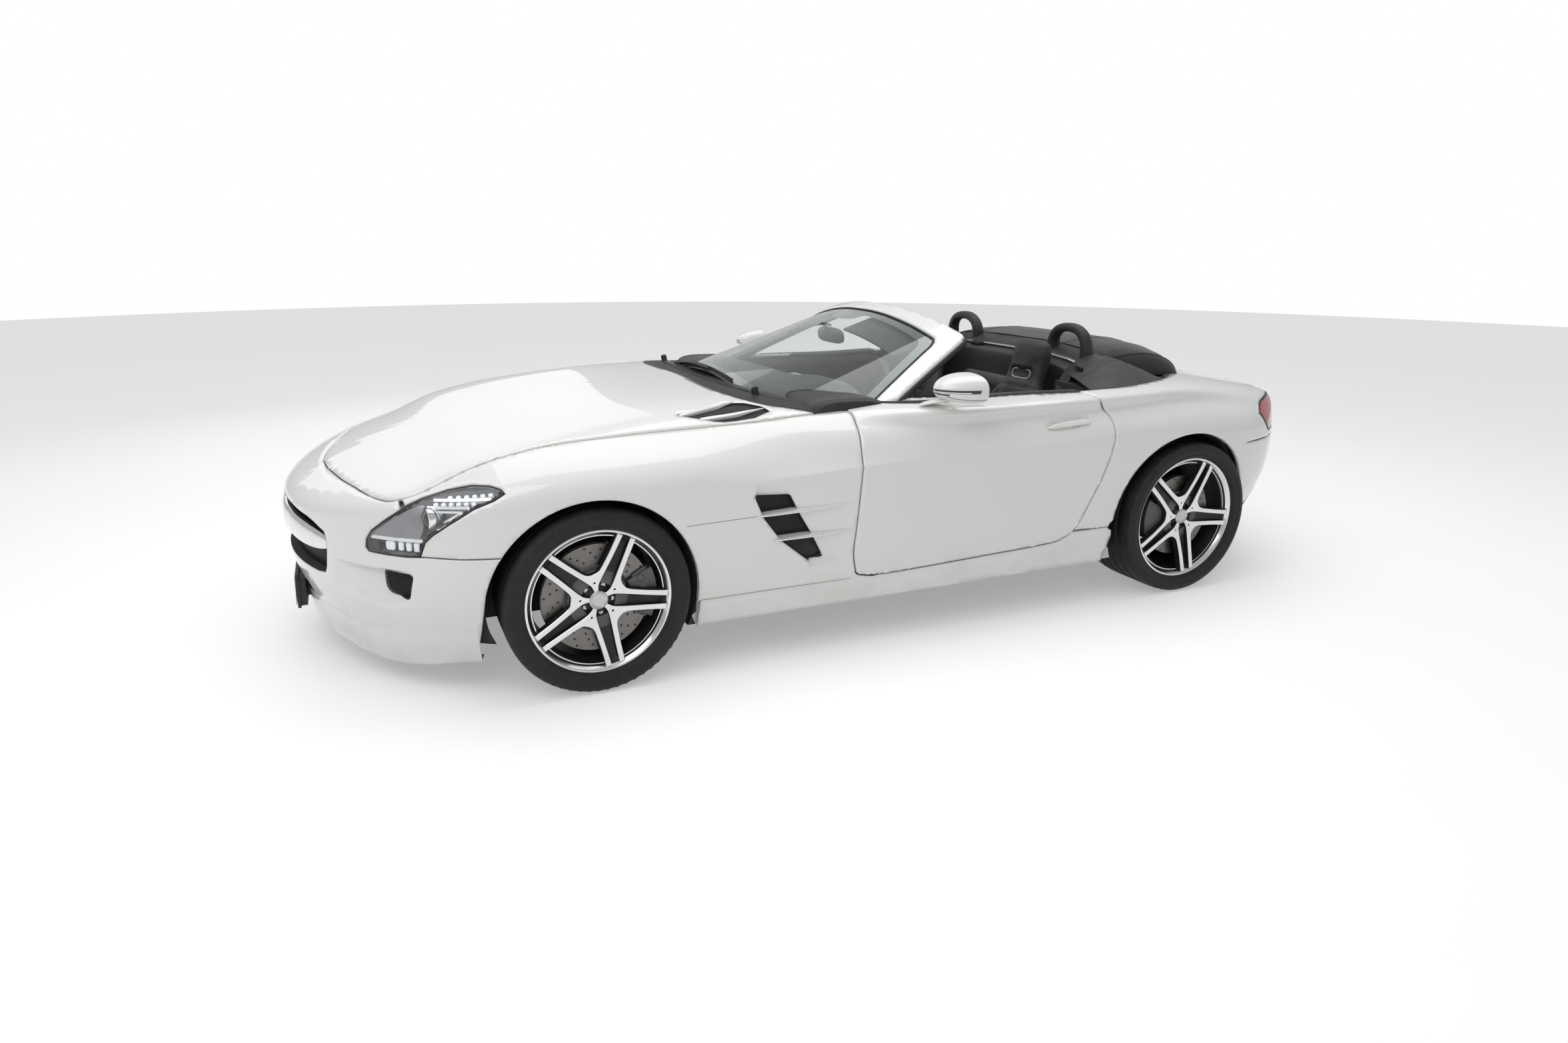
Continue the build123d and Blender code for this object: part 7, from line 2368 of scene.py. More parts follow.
def seats():
    ring = np.linspace(0, 2 * math.pi, 56, endpoint=False)
    co, si = np.cos(ring), np.sin(ring)
    sup = lambda e: (np.sign(co) * np.abs(co) ** (2 / e), np.sign(si) * np.abs(si) ** (2 / e))
    # backrest with its integral head part: half width, half depth and side bolster height by height
    # up the spine
    spine = smooth_loop(np.array(((716, 330), (742, 450), (777, 580), (824, 720), (872, 850), (908, 930),
        (928, 1000), (938, 1060), (941, 1106))) / 1000, 5, False)
    z = spine[:, 1]
    half = np.interp(z, (0.33, 0.345, 0.40, 0.62, 0.74, 0.82, 0.875, 0.91, 0.97, 1.05, 1.085, 1.106),
        (0.15, 0.20, 0.226, 0.222, 0.205, 0.178, 0.142, 0.122, 0.114, 0.112, 0.100, 0.070))
    deep = np.interp(z, (0.33, 0.345, 0.38, 0.60, 0.80, 0.90, 0.95, 1.03, 1.085, 1.106),
        (0.025, 0.040, 0.048, 0.047, 0.040, 0.040, 0.045, 0.045, 0.036, 0.014))
    wing = np.interp(z, (0.33, 0.42, 0.60, 0.74, 0.84, 0.9), (0.0, 0.020, 0.030, 0.026, 0.008, 0.0))
    cx, sy = sup(3.0)
    x = half[:, None] * cx[None]
    out = deep[:, None] * sy[None] + wing[:, None] * np.clip(sy, 0,
        1)[None] ** 0.5 * np.exp(-((np.abs(cx)[None] - 0.86) / 0.20) ** 2) - 0.010 * (
        wing[:, None] > 0) * np.clip(sy, 0, 1)[None] * np.exp(-(cx[None] / 0.5) ** 2)
    bv, bf, bn = stuffed(*closed_loft(spine, np.stack([x, out], -1)), cap=(0, 0.011))
    # seat pad: waterfall front edge, bolsters along both sides
    run = smooth_loop(np.array(((85, 352), (100, 364), (200, 368), (400, 362), (560, 358), (622, 360)))
        / 1000, 6, False)
    y = run[:, 0]
    half = np.interp(y, (0.085, 0.10, 0.16, 0.45, 0.60, 0.622), (0.195, 0.215, 0.232, 0.230, 0.215, 0.19))
    deep = np.interp(y, (0.085, 0.10, 0.14, 0.5, 0.60, 0.622), (0.018, 0.030, 0.040, 0.038, 0.032, 0.02))
    wing = np.interp(y, (0.085, 0.16, 0.32, 0.56, 0.62), (0.0, 0.018, 0.030, 0.024, 0.006))
    cx, sy = sup(3.2)
    x = half[:, None] * cx[None]
    out = deep[:, None] * sy[None] + wing[:, None] * np.clip(sy, 0,
        1)[None] ** 0.5 * np.exp(-((np.abs(cx)[None] - 0.85) / 0.2) ** 2)
    cv, cf, cn = stuffed(*closed_loft(run, np.stack([x, out], -1)), cap=(0, 0.011))

    # sewn channels and seams
    ax = np.abs(bv[:, 0])
    front = ease(-bn[:, 1], 0.15, 0.4)
    seam_x = lambda z: np.interp(z, (0.40, 0.62, 0.78, 0.86), (0.140, 0.138, 0.120, 0.098))
    middle = (ax < seam_x(bv[:, 2])) & (bv[:, 2] < 0.80)
    channel = np.min(np.abs(bv[:, 2][:, None] - np.arange(0.46, 0.81, 0.062)[None]), 1)
    bv = groove(bv, bn, np.where(middle, channel, 1) + 9 * (front < 0.1), 0.0058)
    bv = groove(bv, bn, np.where((bv[:, 2] < 0.86) & (bv[:, 2] > 0.39), np.abs(ax - seam_x(bv[:, 2])), 1)
        + 9 * (front < 0.1), 0.0065)
    bv = groove(bv, bn, np.where((bv[:, 2] > 0.88) & (ax < 0.12),
        np.abs(ax - np.interp(bv[:, 2], (0.88, 0.95, 1.06, 1.12), (0.090, 0.082, 0.080, 0.058))), 1),
        0.0045, 0.004)
    bv = groove(bv, bn, np.abs(bv[:, 2] - 0.884) + 9 * (front < 0.1), 0.005)
    # hollow for the neck vent
    hole = ease(0.066 - ax, -0.012, 0.004) * ease(0.024 - np.abs(bv[:, 2] - 0.940), -0.012, 0.003) * front
    bv = bv + np.c_[0 * hole, 0.020 * hole, 0 * hole]
    ax = np.abs(cv[:, 0])
    top = ease(cn[:, 2], 0.1, 0.4)
    middle = (ax < 0.140) & (cv[:, 1] > 0.12)
    channel = np.min(np.abs(cv[:, 1][:, None] - np.arange(0.175, 0.60, 0.062)[None]), 1)
    cv = groove(cv, cn, np.where(middle, channel, 1) + 9 * (top < 0.1), 0.0058)
    cv = groove(cv, cn, np.where(cv[:, 1] > 0.11, np.abs(ax - 0.143), 1) + 9 * (top < 0.1), 0.0065)
    cv = groove(cv, cn, np.where(ax < 0.15, np.abs(cv[:, 1] - 0.118), 1) + 9 * (top < 0.1), 0.0055)

    zz = np.linspace(0.41, 0.85, 60)
    pipes, threads, extras = [], [], []
    for s in (1, -1):
        p = lay(np.c_[s * seam_x(zz), zz], bv, bn, 1, -1, 0.0006)
        pipes.append(sweep(p, oval(0.0024, 0.0024, 8), up=(1, 0, 0)))
        p = lay(np.c_[s * (seam_x(zz) + 0.011), zz], bv, bn, 1, -1, 0.0004)
        threads += stitch_run(p, (0, -1, 0))
        yy = np.linspace(0.125, 0.60, 60)
        p = lay(np.c_[np.full(60, s * 0.143), yy], cv, cn, 2, 1, 0.0006)
        pipes.append(sweep(p, oval(0.0024, 0.0024, 8), up=(1, 0, 0)))
        p = lay(np.c_[np.full(60, s * 0.154), yy], cv, cn, 2, 1, 0.0004)
        threads += stitch_run(p, (0, 0, 1))
        hz = np.linspace(0.90, 1.075, 30)
        p = lay(np.c_[s * (np.interp(hz, (0.88, 0.95, 1.06, 1.12), (0.090, 0.082, 0.080, 0.058)) - 0.008),
            hz], bv, bn, 1, -1, 0.0004)
        threads += stitch_run(p, (0, -1, 0))
    # neck vent: frame and vanes; belt loop at the shoulder
    w = np.linspace(0, 2 * math.pi, 48, endpoint=False)
    fx, fz = 0.060 * np.sign(np.cos(w)) * np.abs(np.cos(w)) ** 0.45, 0.940 + 0.020 * np.sign(
        np.sin(w)) * np.abs(np.sin(w)) ** 0.45
    ringp = np.c_[fx, np.full(48, 0.8775) + (fz - 0.94) * 0.3, fz]
    extras.append(sweep(ringp, oval(0.0035, 0.004, 8), up=(0, 1, 0), closed=True, mark=1))
    for k in (-0.009, 0.0, 0.009):
        extras.append(sweep(np.array(((-0.056, 0.880, 0.940 + k), (0, 0.880, 0.940 + k),
            (0.056, 0.880, 0.940 + k))), oval(0.004, 0.0013, 8), up=(0, 0, 1), mark=2))
    v, f = slab_box((-0.056, 0.884, 0.922), (0.056, 0.892, 0.958), 0.003)
    extras.append((v, f, 0))
    for tag, side in (("l", 1), ("r", -1)):
        put = lambda v, s=side: np.asarray(v) * (s, 1, 1) + (s * 0.385, 0, 0)
        turn = lambda parts, s=side: [(put(v), turned(f, s), m) for v, f, m in parts]
        back = piece(f"backrest_leather_{tag}", [(put(bv), turned(bf, side), 0)], "body", ["leather"],
            f"backrest_{tag}", "leather", angle=80)
        pad = piece(f"seat_leather_{tag}", [(put(cv), turned(cf, side), 0)], "body", ["leather"],
            f"cushion_{tag}", "leather", angle=80)
        piece(f"seat_piping_{tag}", turn(pipes), "body", ["leather"], slot="leather")
        piece(f"seat_threads_{tag}", turn(threads), "body", ["stitch"], slot="leather")
        piece(f"neck_vent_{tag}", turn(extras), "body", ["under", "silver", "gloss"], slot="black_trim")
        # hard base: rounded tray, rails, side cover with adjusters
        parts = []
        tray = soft_profile([(0.10, 0.236), (0.66, 0.205), (0.76, 0.215), (0.775, 0.30), (0.66, 0.322),
            (0.10, 0.330), (0.085, 0.30)], 0.03, 6)
        xs = np.concatenate([[-0.246, -0.243, -0.235], np.linspace(-0.22, 0.22, 5), [0.235, 0.243, 0.246]])
        inn = np.interp(np.abs(xs), (0, 0.235, 0.243, 0.246), (0, 0, 0.004, 0.010))
        mid = tray.mean(0)
        rows = np.stack([mid + (tray - mid) * (1 - i / 0.06) for i in inn])
        g = np.concatenate([np.broadcast_to(xs[:, None, None], (len(xs), len(tray), 1)), rows], -1)
        parts.append((g.reshape(-1, 3), capped(len(xs), len(tray)), 0))
        for rx in (-0.19, 0.19):
            v, f = slab_box((rx - 0.016, 0.06, 0.192), (rx + 0.016, 0.80, 0.214), 0.004)
            parts.append((v, f, 1))
            for yy in (0.12, 0.72):
                v, f = slab_box((rx - 0.012, yy - 0.03, 0.208), (rx + 0.012, yy + 0.03, 0.245), 0.004)
                parts.append((v, f, 1))
        for yy, r in ((0.30, 0.022), (0.42, 0.026)):
            parts.append(lathe_at([(0, r * 0.9), (0.006, r * 0.9), (0.010, r * 0.8), (0.011, 0)],
                (0.243, yy, 0.275), (1, 0, 0), 24, 2))
        piece(f"seat_base_{tag}", turn(parts), "body", ["trim", "under", "silver"], slot="black_trim")
        # belt buckle on its stalk, and the belt from the shoulder
        parts = []
        stalk = smooth_loop(np.array(((-0.262, 0.62, 0.25), (-0.264, 0.60, 0.33), (-0.262, 0.57, 0.40))),
            5, False)
        parts.append(sweep(stalk, oval(0.010, 0.006, 12), up=(1, 0, 0), mark=0))
        v, f = slab_box((-0.272, 0.535, 0.395), (-0.252, 0.585, 0.460), 0.006)
        parts.append((v, f, 0))
        v, f = slab_box((-0.268, 0.548, 0.458), (-0.256, 0.572, 0.464), 0.002)
        parts.append((v, f, 1))
        piece(f"buckle_{tag}", turn(parts), "body", ["trim", "red"], slot="black_trim")
        belt = smooth_loop(np.array(((0.226, 1.004, 0.99), (0.210, 0.965, 0.965), (0.216, 0.905, 0.86),
            (0.232, 0.850, 0.72), (0.246, 0.800, 0.55), (0.256, 0.760, 0.36), (0.258, 0.752, 0.27))), 8,
            False)
        piece(f"belt_{tag}", turn([sweep(belt, oval(0.0235, 0.0008, 12, 4), up=(0.3, -1, 0.2), mark=0)]),
            "body", ["web"], slot="black_trim")
        parts = [sweep(np.array(((0.200, 0.998, 0.984), (0.228, 0.998, 0.990), (0.256, 0.998, 0.984))),
            oval(0.009, 0.006, 12, 3), up=(0, 1, 0), mark=0)]
        piece(f"belt_guide_{tag}", turn(parts), "body", ["trim"], slot="black_trim")


# ---------------------------------------------------------------- dashboard, console and wheel
def dashboard():
    """Padded top with the instrument hood, a crease over the band, and the knee part below: one closed
    profile carried across the cabin, lifted by a smooth hump over the instruments."""
    prof = smooth_loop(np.array(((-430, 850), (-424, 905), (-398, 938), (-340, 950), (-250, 950),
        (-170, 946), (-112, 930), (-80, 905), (-66, 880), (-72, 862), (-92, 852), (-96, 836), (-94, 800),
        (-86, 772), (-78, 760), (-84, 735), (-112, 680), (-150, 645), (-300, 642), (-425, 646))) / 1000, 5)
    xs = np.unique(np.r_[np.linspace(-0.792, 0.792, 104), -0.7955, 0.7955])
    X = np.broadcast_to(xs[:, None], (len(xs), len(prof)))
    Y, Z = (np.broadcast_to(prof[:, k], X.shape).copy() for k in (0, 1))
    upper = ease(Z, 0.868, 0.905)
    hump = np.exp(-((X - 0.385) / 0.175) ** 4) * ease(Y, -0.36, -0.16)
    Z += 0.030 * hump * upper
    Y += 0.012 * hump * upper * ease(Y, -0.14, -0.08)
    # hollow of the hood round the instruments, and a gentle forward bow of the centre
    cave = np.exp(-((X - 0.385) / 0.150) ** 6) * ease(0.902 - Z, -0.02, 0.015) * ease(Z, 0.765,
        0.80) * ease(Y, -0.12, -0.098)
    Y -= 0.030 * cave
    Y += 0.010 * np.exp(-(X / 0.17) ** 4) * ease(Y, -0.13, -0.09)
    end = np.clip((np.abs(X) - 0.76) / 0.036, 0, 1) ** 3
    c = prof.mean(0)
    Y += (c[0] - Y) * end * 0.10
    Z += (c[1] - Z) * end * 0.10
    k, m = X.shape
    grid = np.stack([X, Y, Z], -1)
    body = (grid.reshape(-1, 3), capped(k, m), 0)
    piece("dash_body", [body], "body", ["leather"], "dashboard", "leather", angle=50)
    parts = []
    band = np.c_[np.linspace(-0.775, 0.775, 120), np.zeros(120), np.full(120, 0.818)]
    band[:, 1] = -0.0955 + 0.010 * np.exp(-(band[:, 0] / 0.17) ** 4) - 0.028 * np.exp(
        -((band[:, 0] - 0.385) / 0.150) ** 6)
    parts.append(sweep(band, soft_profile(np.array(
        ((-0.004, -0.020), (0.004, -0.020), (0.004, 0.020), (-0.004, 0.020))), 0.002, 3), up=(0, 0, 1),
        mark=0))
    # four round vents with cross vanes
    for x0 in (-0.675, -0.128, 0.128, 0.675):
        c = np.array((x0, -0.086 + 0.009 * math.exp(-(x0 / 0.17) ** 4), 0.818))
        ax = np.array((0, 1, 0.12))
        parts.append(lathe_at([(-0.012, 0.046), (0.006, 0.046), (0.011, 0.043), (0.011, 0.040),
            (0.004, 0.037), (-0.012, 0.036)], c, ax, 48, 1, close=True))
        parts.append(lathe_at([(-0.010, 0.037), (-0.009, 0.030), (-0.008, 0.0)], c, ax, 48, 2))
        parts.append(lathe_at([(-0.008, 0.014), (0.003, 0.013), (0.0055, 0.010), (0.0065, 0.0)], c, ax,
            32, 1))
        for a in range(6):
            t = a * math.pi / 3 + 0.52
            d = np.array((math.cos(t), 0, math.sin(t)))
            q = np.array([c + d * r + (0, -0.001, 0) for r in (0.012, 0.025, 0.037)])
            parts.append(sweep(q, oval(0.0016, 0.006, 8), up=(0, 1, 0), mark=2))
    # instruments
    for x0, r in ((0.309, 0.058), (0.461, 0.058)):
        c = np.array((x0, -0.104, 0.856))
        ax = np.array((0, 1, 0.18))
        ax = ax / np.linalg.norm(ax)
        parts.append(lathe_at([(-0.03, r), (0.014, r), (0.019, r - 0.003), (0.018, r - 0.006),
            (0.002, r - 0.008), (-0.03, r - 0.008)], c, ax, 64, 1, close=True))
        parts.append(lathe_at([(-0.004, r - 0.004), (-0.003, r - 0.010), (-0.0025, 0.0)], c, ax, 64, 3))
        up = np.cross((1, 0, 0), ax)
        for a in np.linspace(-0.75 * math.pi, 0.75 * math.pi, 25):
            d = np.array((math.sin(a), 0, 0)) + up * math.cos(a)
            q = c + ax * -0.0018 + np.array([d * rr for rr in (r - 0.020, r - 0.015, r - 0.011)])
            parts.append(sweep(q, oval(0.0007, 0.0005, 4), up=ax, mark=4))
        a = -2.0
        d = np.array((math.sin(a), 0, 0)) + up * math.cos(a)
        q = c + ax * 0.002 + np.array([d * rr for rr in (-0.008, 0.012, r - 0.014)])
        parts.append(sweep(q, oval(0.0013, 0.0008, 6), up=ax, mark=5))
        parts.append(lathe_at([(-0.004, 0.007), (0.003, 0.007), (0.0045, 0.004), (0.005, 0)], c, ax, 20, 2))
    v, f = slab_box((0.362, -0.118, 0.826), (0.408, -0.100, 0.890), 0.004)
    parts.append((v, f, 3))
    # centre display, its surround, and the column of keys below
    v, f = slab_box((-0.096, -0.108, 0.868), (0.096, -0.052, 0.928), 0.010)
    parts.append((v, f, 2))
    v, f = slab_box((-0.086, -0.056, 0.875), (0.086, -0.0502, 0.921), 0.002)
    parts.append((v, f, 3))
    v, f = slab_box((-0.108, -0.110, 0.610), (0.108, -0.068, 0.772), 0.012)
    parts.append((v, f, 2))
    for r0 in range(3):
        for q in range(6):
            v, f = slab_box((-0.090 + q * 0.0305, -0.070, 0.640 + r0 * 0.030),
                (-0.0635 + q * 0.0305, -0.0635, 0.662 + r0 * 0.030), 0.002)
            parts.append((v, f, 3 if r0 == 1 else 6))
    for x0 in (-0.075, 0.0, 0.075):
        parts.append(lathe_at([(0, 0.017), (0.010, 0.0165), (0.013, 0.014), (0.0135, 0)],
            (x0, -0.068, 0.748), (0, 1, 0), 28, 1))
    piece("dash_fittings", parts, "body", ["silver", "bright", "gloss", "display", "led", "red", "trim"],
        slot="bright")
    # stitching along the pad's lid line
    xx = np.linspace(-0.77, 0.77, 200)
    zz = 0.945 + 0.030 * np.exp(-((xx - 0.385) / 0.175) ** 4) * ease(np.full(200, -0.19), -0.36, -0.16)
    line = np.c_[xx, np.full(200, -0.186), zz + 0.0022]
    piece("dash_stitches", stitch_run(line, (0, 0, 1)), "body", ["stitch"], slot="leather")
    # steering column cover and stalks
    a = np.array((0, math.cos(math.radians(20)), math.sin(math.radians(20))))
    c = np.array((0.385, 0.205, 0.770))
    parts = [lathe_at([(-0.30, 0.0), (-0.30, 0.052), (-0.12, 0.050), (-0.035, 0.040), (-0.022, 0.036),
        (-0.018, 0.030), (-0.018, 0.0)], c, a, 40, 0)]
    for s, n_ in ((1, 0.150), (-1, 0.150), (1, 0.12)):
        root = c - a * (0.062 if n_ > 0.13 else 0.085)
        tip = root + np.array((s * n_, 0.012, 0.012 if n_ > 0.13 else -0.03))
        q = np.array([root + (tip - root) * t for t in (0.2, 0.5, 0.85, 1.0)])
        parts.append(sweep(q, oval(1, 1, 14)[None]
            * np.array((0.006, 0.006, 0.0085, 0.004))[:, None, None] * (1.3, 0.8), up=a, mark=0
            if n_ < 0.13 else 1))
    piece("column_cover", parts, "body", ["trim", "silver"], slot="black_trim")


def console():
    """Tunnel top between the seats: a rounded beam with a bright plate, lever, controls, and a padded
    lid behind."""
    parts = []
    sec = soft_profile([(-0.112, 0.405), (0.112, 0.405), (0.108, 0.555), (0.095, 0.566), (-0.095, 0.566),
        (-0.108, 0.555)], 0.012, 5)
    ys = np.r_[-0.100, -0.095, np.linspace(-0.08, 0.98, 14), 0.99]
    sc = np.interp(ys, (-0.1, -0.09, 0.98, 0.99), (0.97, 1, 1, 0.97))
    g = np.stack([np.c_[sec[:, 0] * s, np.full(len(sec), y),
        0.48 + (sec[:, 1] - 0.48) * s - (0.0 if y < 0.62 else 0.0)] for y, s in zip(ys, sc)])
    m = len(sec)
    parts.append((g.reshape(-1, 3), capped(len(ys), m), 0))
    plate = soft_profile([(-0.078, -0.085), (0.078, -0.085), (0.078, 0.330), (-0.078, 0.330)], 0.018, 6)
    v, f, _ = raised([plate], (0.02, 0.02), lambda uv: 0.5685 + 0 * uv[:, 0], 0.006)
    parts.append((v, f, 1))
    well = soft_profile([(-0.040, 0.130), (0.040, 0.130), (0.040, 0.255), (-0.040, 0.255)], 0.014, 6)
    v, f, _ = raised([well], (0.02, 0.02), lambda uv: 0.5705 + 0 * uv[:, 0], 0.004)
    parts.append((v, f, 2))
    parts.append(lathe_at([(0.570, 0.026), (0.578, 0.023), (0.590, 0.013), (0.622, 0.0105),
        (0.628, 0.017), (0.640, 0.0215), (0.660, 0.021), (0.672, 0.015), (0.675, 0.0)], (0, 0.192, 0),
        (0, 0.0, 1), 36, [0] * (36 * 8)))
    parts.append(lathe_at([(0.568, 0.030), (0.578, 0.030), (0.586, 0.027), (0.588, 0.020), (0.588, 0.0)],
        (0.0, 0.290, 0), (0, 0, 1), 48, 1))
    for q in range(5):
        v, f = slab_box((-0.066 + q * 0.027, 0.030, 0.568), (-0.044 + q * 0.027, 0.052, 0.5745), 0.002)
        parts.append((v, f, 2))
    cup = lambda x0: lathe_at([(0.5685, 0.038), (0.5735, 0.038), (0.5735, 0.034), (0.545, 0.033),
        (0.545, 0.0)], (x0, -0.028, 0), (0, 0, 1), 40, 2)
    parts += [cup(-0.037), cup(0.037)]
    piece("console_body", parts, "body", ["leather", "silver", "gloss"], "centre_console", "bright")
    lid = soft_profile([(-0.092, 0.355), (0.092, 0.355), (0.092, 0.615), (-0.092, 0.615)], 0.024, 6)
    v, f, _ = raised([lid], (0.012, 0.012), lambda uv: 0.600 - 0.012 * (np.abs(uv[:, 0]) / 0.092) ** 4
        - 0.010 * (np.abs(uv[:, 1] - 0.485) / 0.13) ** 4, 0.045, 0.004, 0.006)
    parts = [(v, f, 0)]
    edge = offset_loop(lid, -0.014)
    edge = np.r_[edge, edge[:1]]
    path = np.c_[edge, 0.6008 - 0.012 * (np.abs(edge[:, 0]) / 0.092) ** 4 - 0.010
        * (np.abs(edge[:, 1] - 0.485) / 0.13) ** 4]
    parts += stitch_run(path, (0, 0, 1), mark=1)
    piece("armrest_lid", parts, "body", ["leather", "stitch"], slot="leather")


def steering_wheel():
    """Leather rim of oval section, three silver-edged spokes, a soft hub pad left plain, key pads and
    paddles."""
    a = np.array((0, math.cos(math.radians(20)), math.sin(math.radians(20))))
    v_up = np.array((0, -a[2], a[1]))
    c = np.array((0.385, 0.205, 0.770)) + a * 0.020
    P = lambda r, t, h=0.0: c + np.multiply.outer(np.asarray(r) * np.cos(t),
        (1, 0, 0)) + np.multiply.outer(np.asarray(r) * np.sin(t), v_up) + np.multiply.outer(np.asarray(h), a)
    t = np.linspace(0, 2 * math.pi, 160, endpoint=False)
    thick = 1 + 0.16 * np.exp(-((np.abs(np.abs(t - math.pi) - math.pi * 0.86) - 0) / 0.16) ** 2)
    sec = oval(1, 1, 20, 2.2)[None] * np.stack([0.0145 * thick, 0.0165 * thick], -1)[:, None]
    parts = [sweep(P(np.full(160, 0.176), t), sec, up=a, closed=True, mark=0)]
    for ang, w0, w1 in ((0, 0.030, 0.017), (math.pi, 0.030, 0.017), (-math.pi / 2, 0.034, 0.022)):
        r = np.linspace(0.035, 0.170, 16)
        h = np.interp(r, (0.035, 0.08, 0.17), (0.012, 0.004, 0.0))
        q = P(r, np.full(16, ang - (0.10 if ang != -math.pi / 2 else 0)), h)
        w = np.interp(r, (0.035, 0.10, 0.17), (w0, (w0 + w1) / 2.1, w1))
        parts.append(sweep(q, oval(1, 1, 20, 3)[None] * np.stack([w, np.full(16, 0.0075)], -1)[:, None],
            up=a, mark=1))
        parts.append(sweep(q + a * 0.004, oval(1, 1, 20, 3)[None]
            * np.stack([w * 0.62, np.full(16, 0.0055)], -1)[:, None], up=a, mark=2))
    # hub pad: rings of a rounded shield, growing by a square-root dome
    k = np.linspace(0, 1, 12)
    ring = oval(0.076, 0.062, 56, 2.6)
    ring[:, 1] *= np.where(ring[:, 1] < 0, 1.12, 0.92)
    rows = [c + ring[:, :1] * f_ * (1, 0, 0) + ring[:, 1:] * f_ * v_up + a * h
        for f_, h in zip(np.r_[0.96, 1.0, 1.0, np.cos(k[1:] * 1.5)],
        np.r_[-0.030, -0.024, 0.010, 0.010 + 0.022 * np.sin(k[1:] * 1.5)])]
    g = np.stack(rows)
    n_, m_ = g.shape[:2]
    parts.append((g.reshape(-1, 3), capped(n_, m_), 0))
    parts.append(lathe_at([(-0.020, 0.0), (-0.020, 0.050), (0.0, 0.054), (0.012, 0.050), (0.012, 0.0)],
        np.array((0.385, 0.205, 0.770)), a, 48, 2))
    for s in (1, -1):
        for j in range(3):
            ctr = P(np.array([0.098]), np.array([0.0 if s > 0 else math.pi]))[0] + a * 0.012 + v_up * (
                -0.020 + j * 0.013)
            q = np.array([ctr + (s * dx, 0, 0) for dx in (-0.013, 0, 0.013)])
            parts.append(sweep(q, oval(0.005, 0.003, 12, 4), up=a, mark=1))
        q = P(np.array([0.095, 0.125, 0.148]), np.full(3, 0.18 if s > 0 else math.pi - 0.18)) - a * 0.022
        parts.append(sweep(q, oval(1, 1, 14, 3)[None]
            * np.array(((0.020, 0.0025), (0.028, 0.0025), (0.022, 0.0022)))[:, None], up=a, mark=1))
    piece("wheel_rim_and_hub", parts, "steering_wheel", ["leather", "silver", "trim"], "steering_wheel",
        "black_trim")
    th = np.linspace(0, 2 * math.pi, 118)
    piece("wheel_threads", stitch_run(P(np.full(118, 0.1625), th, 0.0075), a, 0.0075), "steering_wheel",
        ["stitch"], slot="leather")


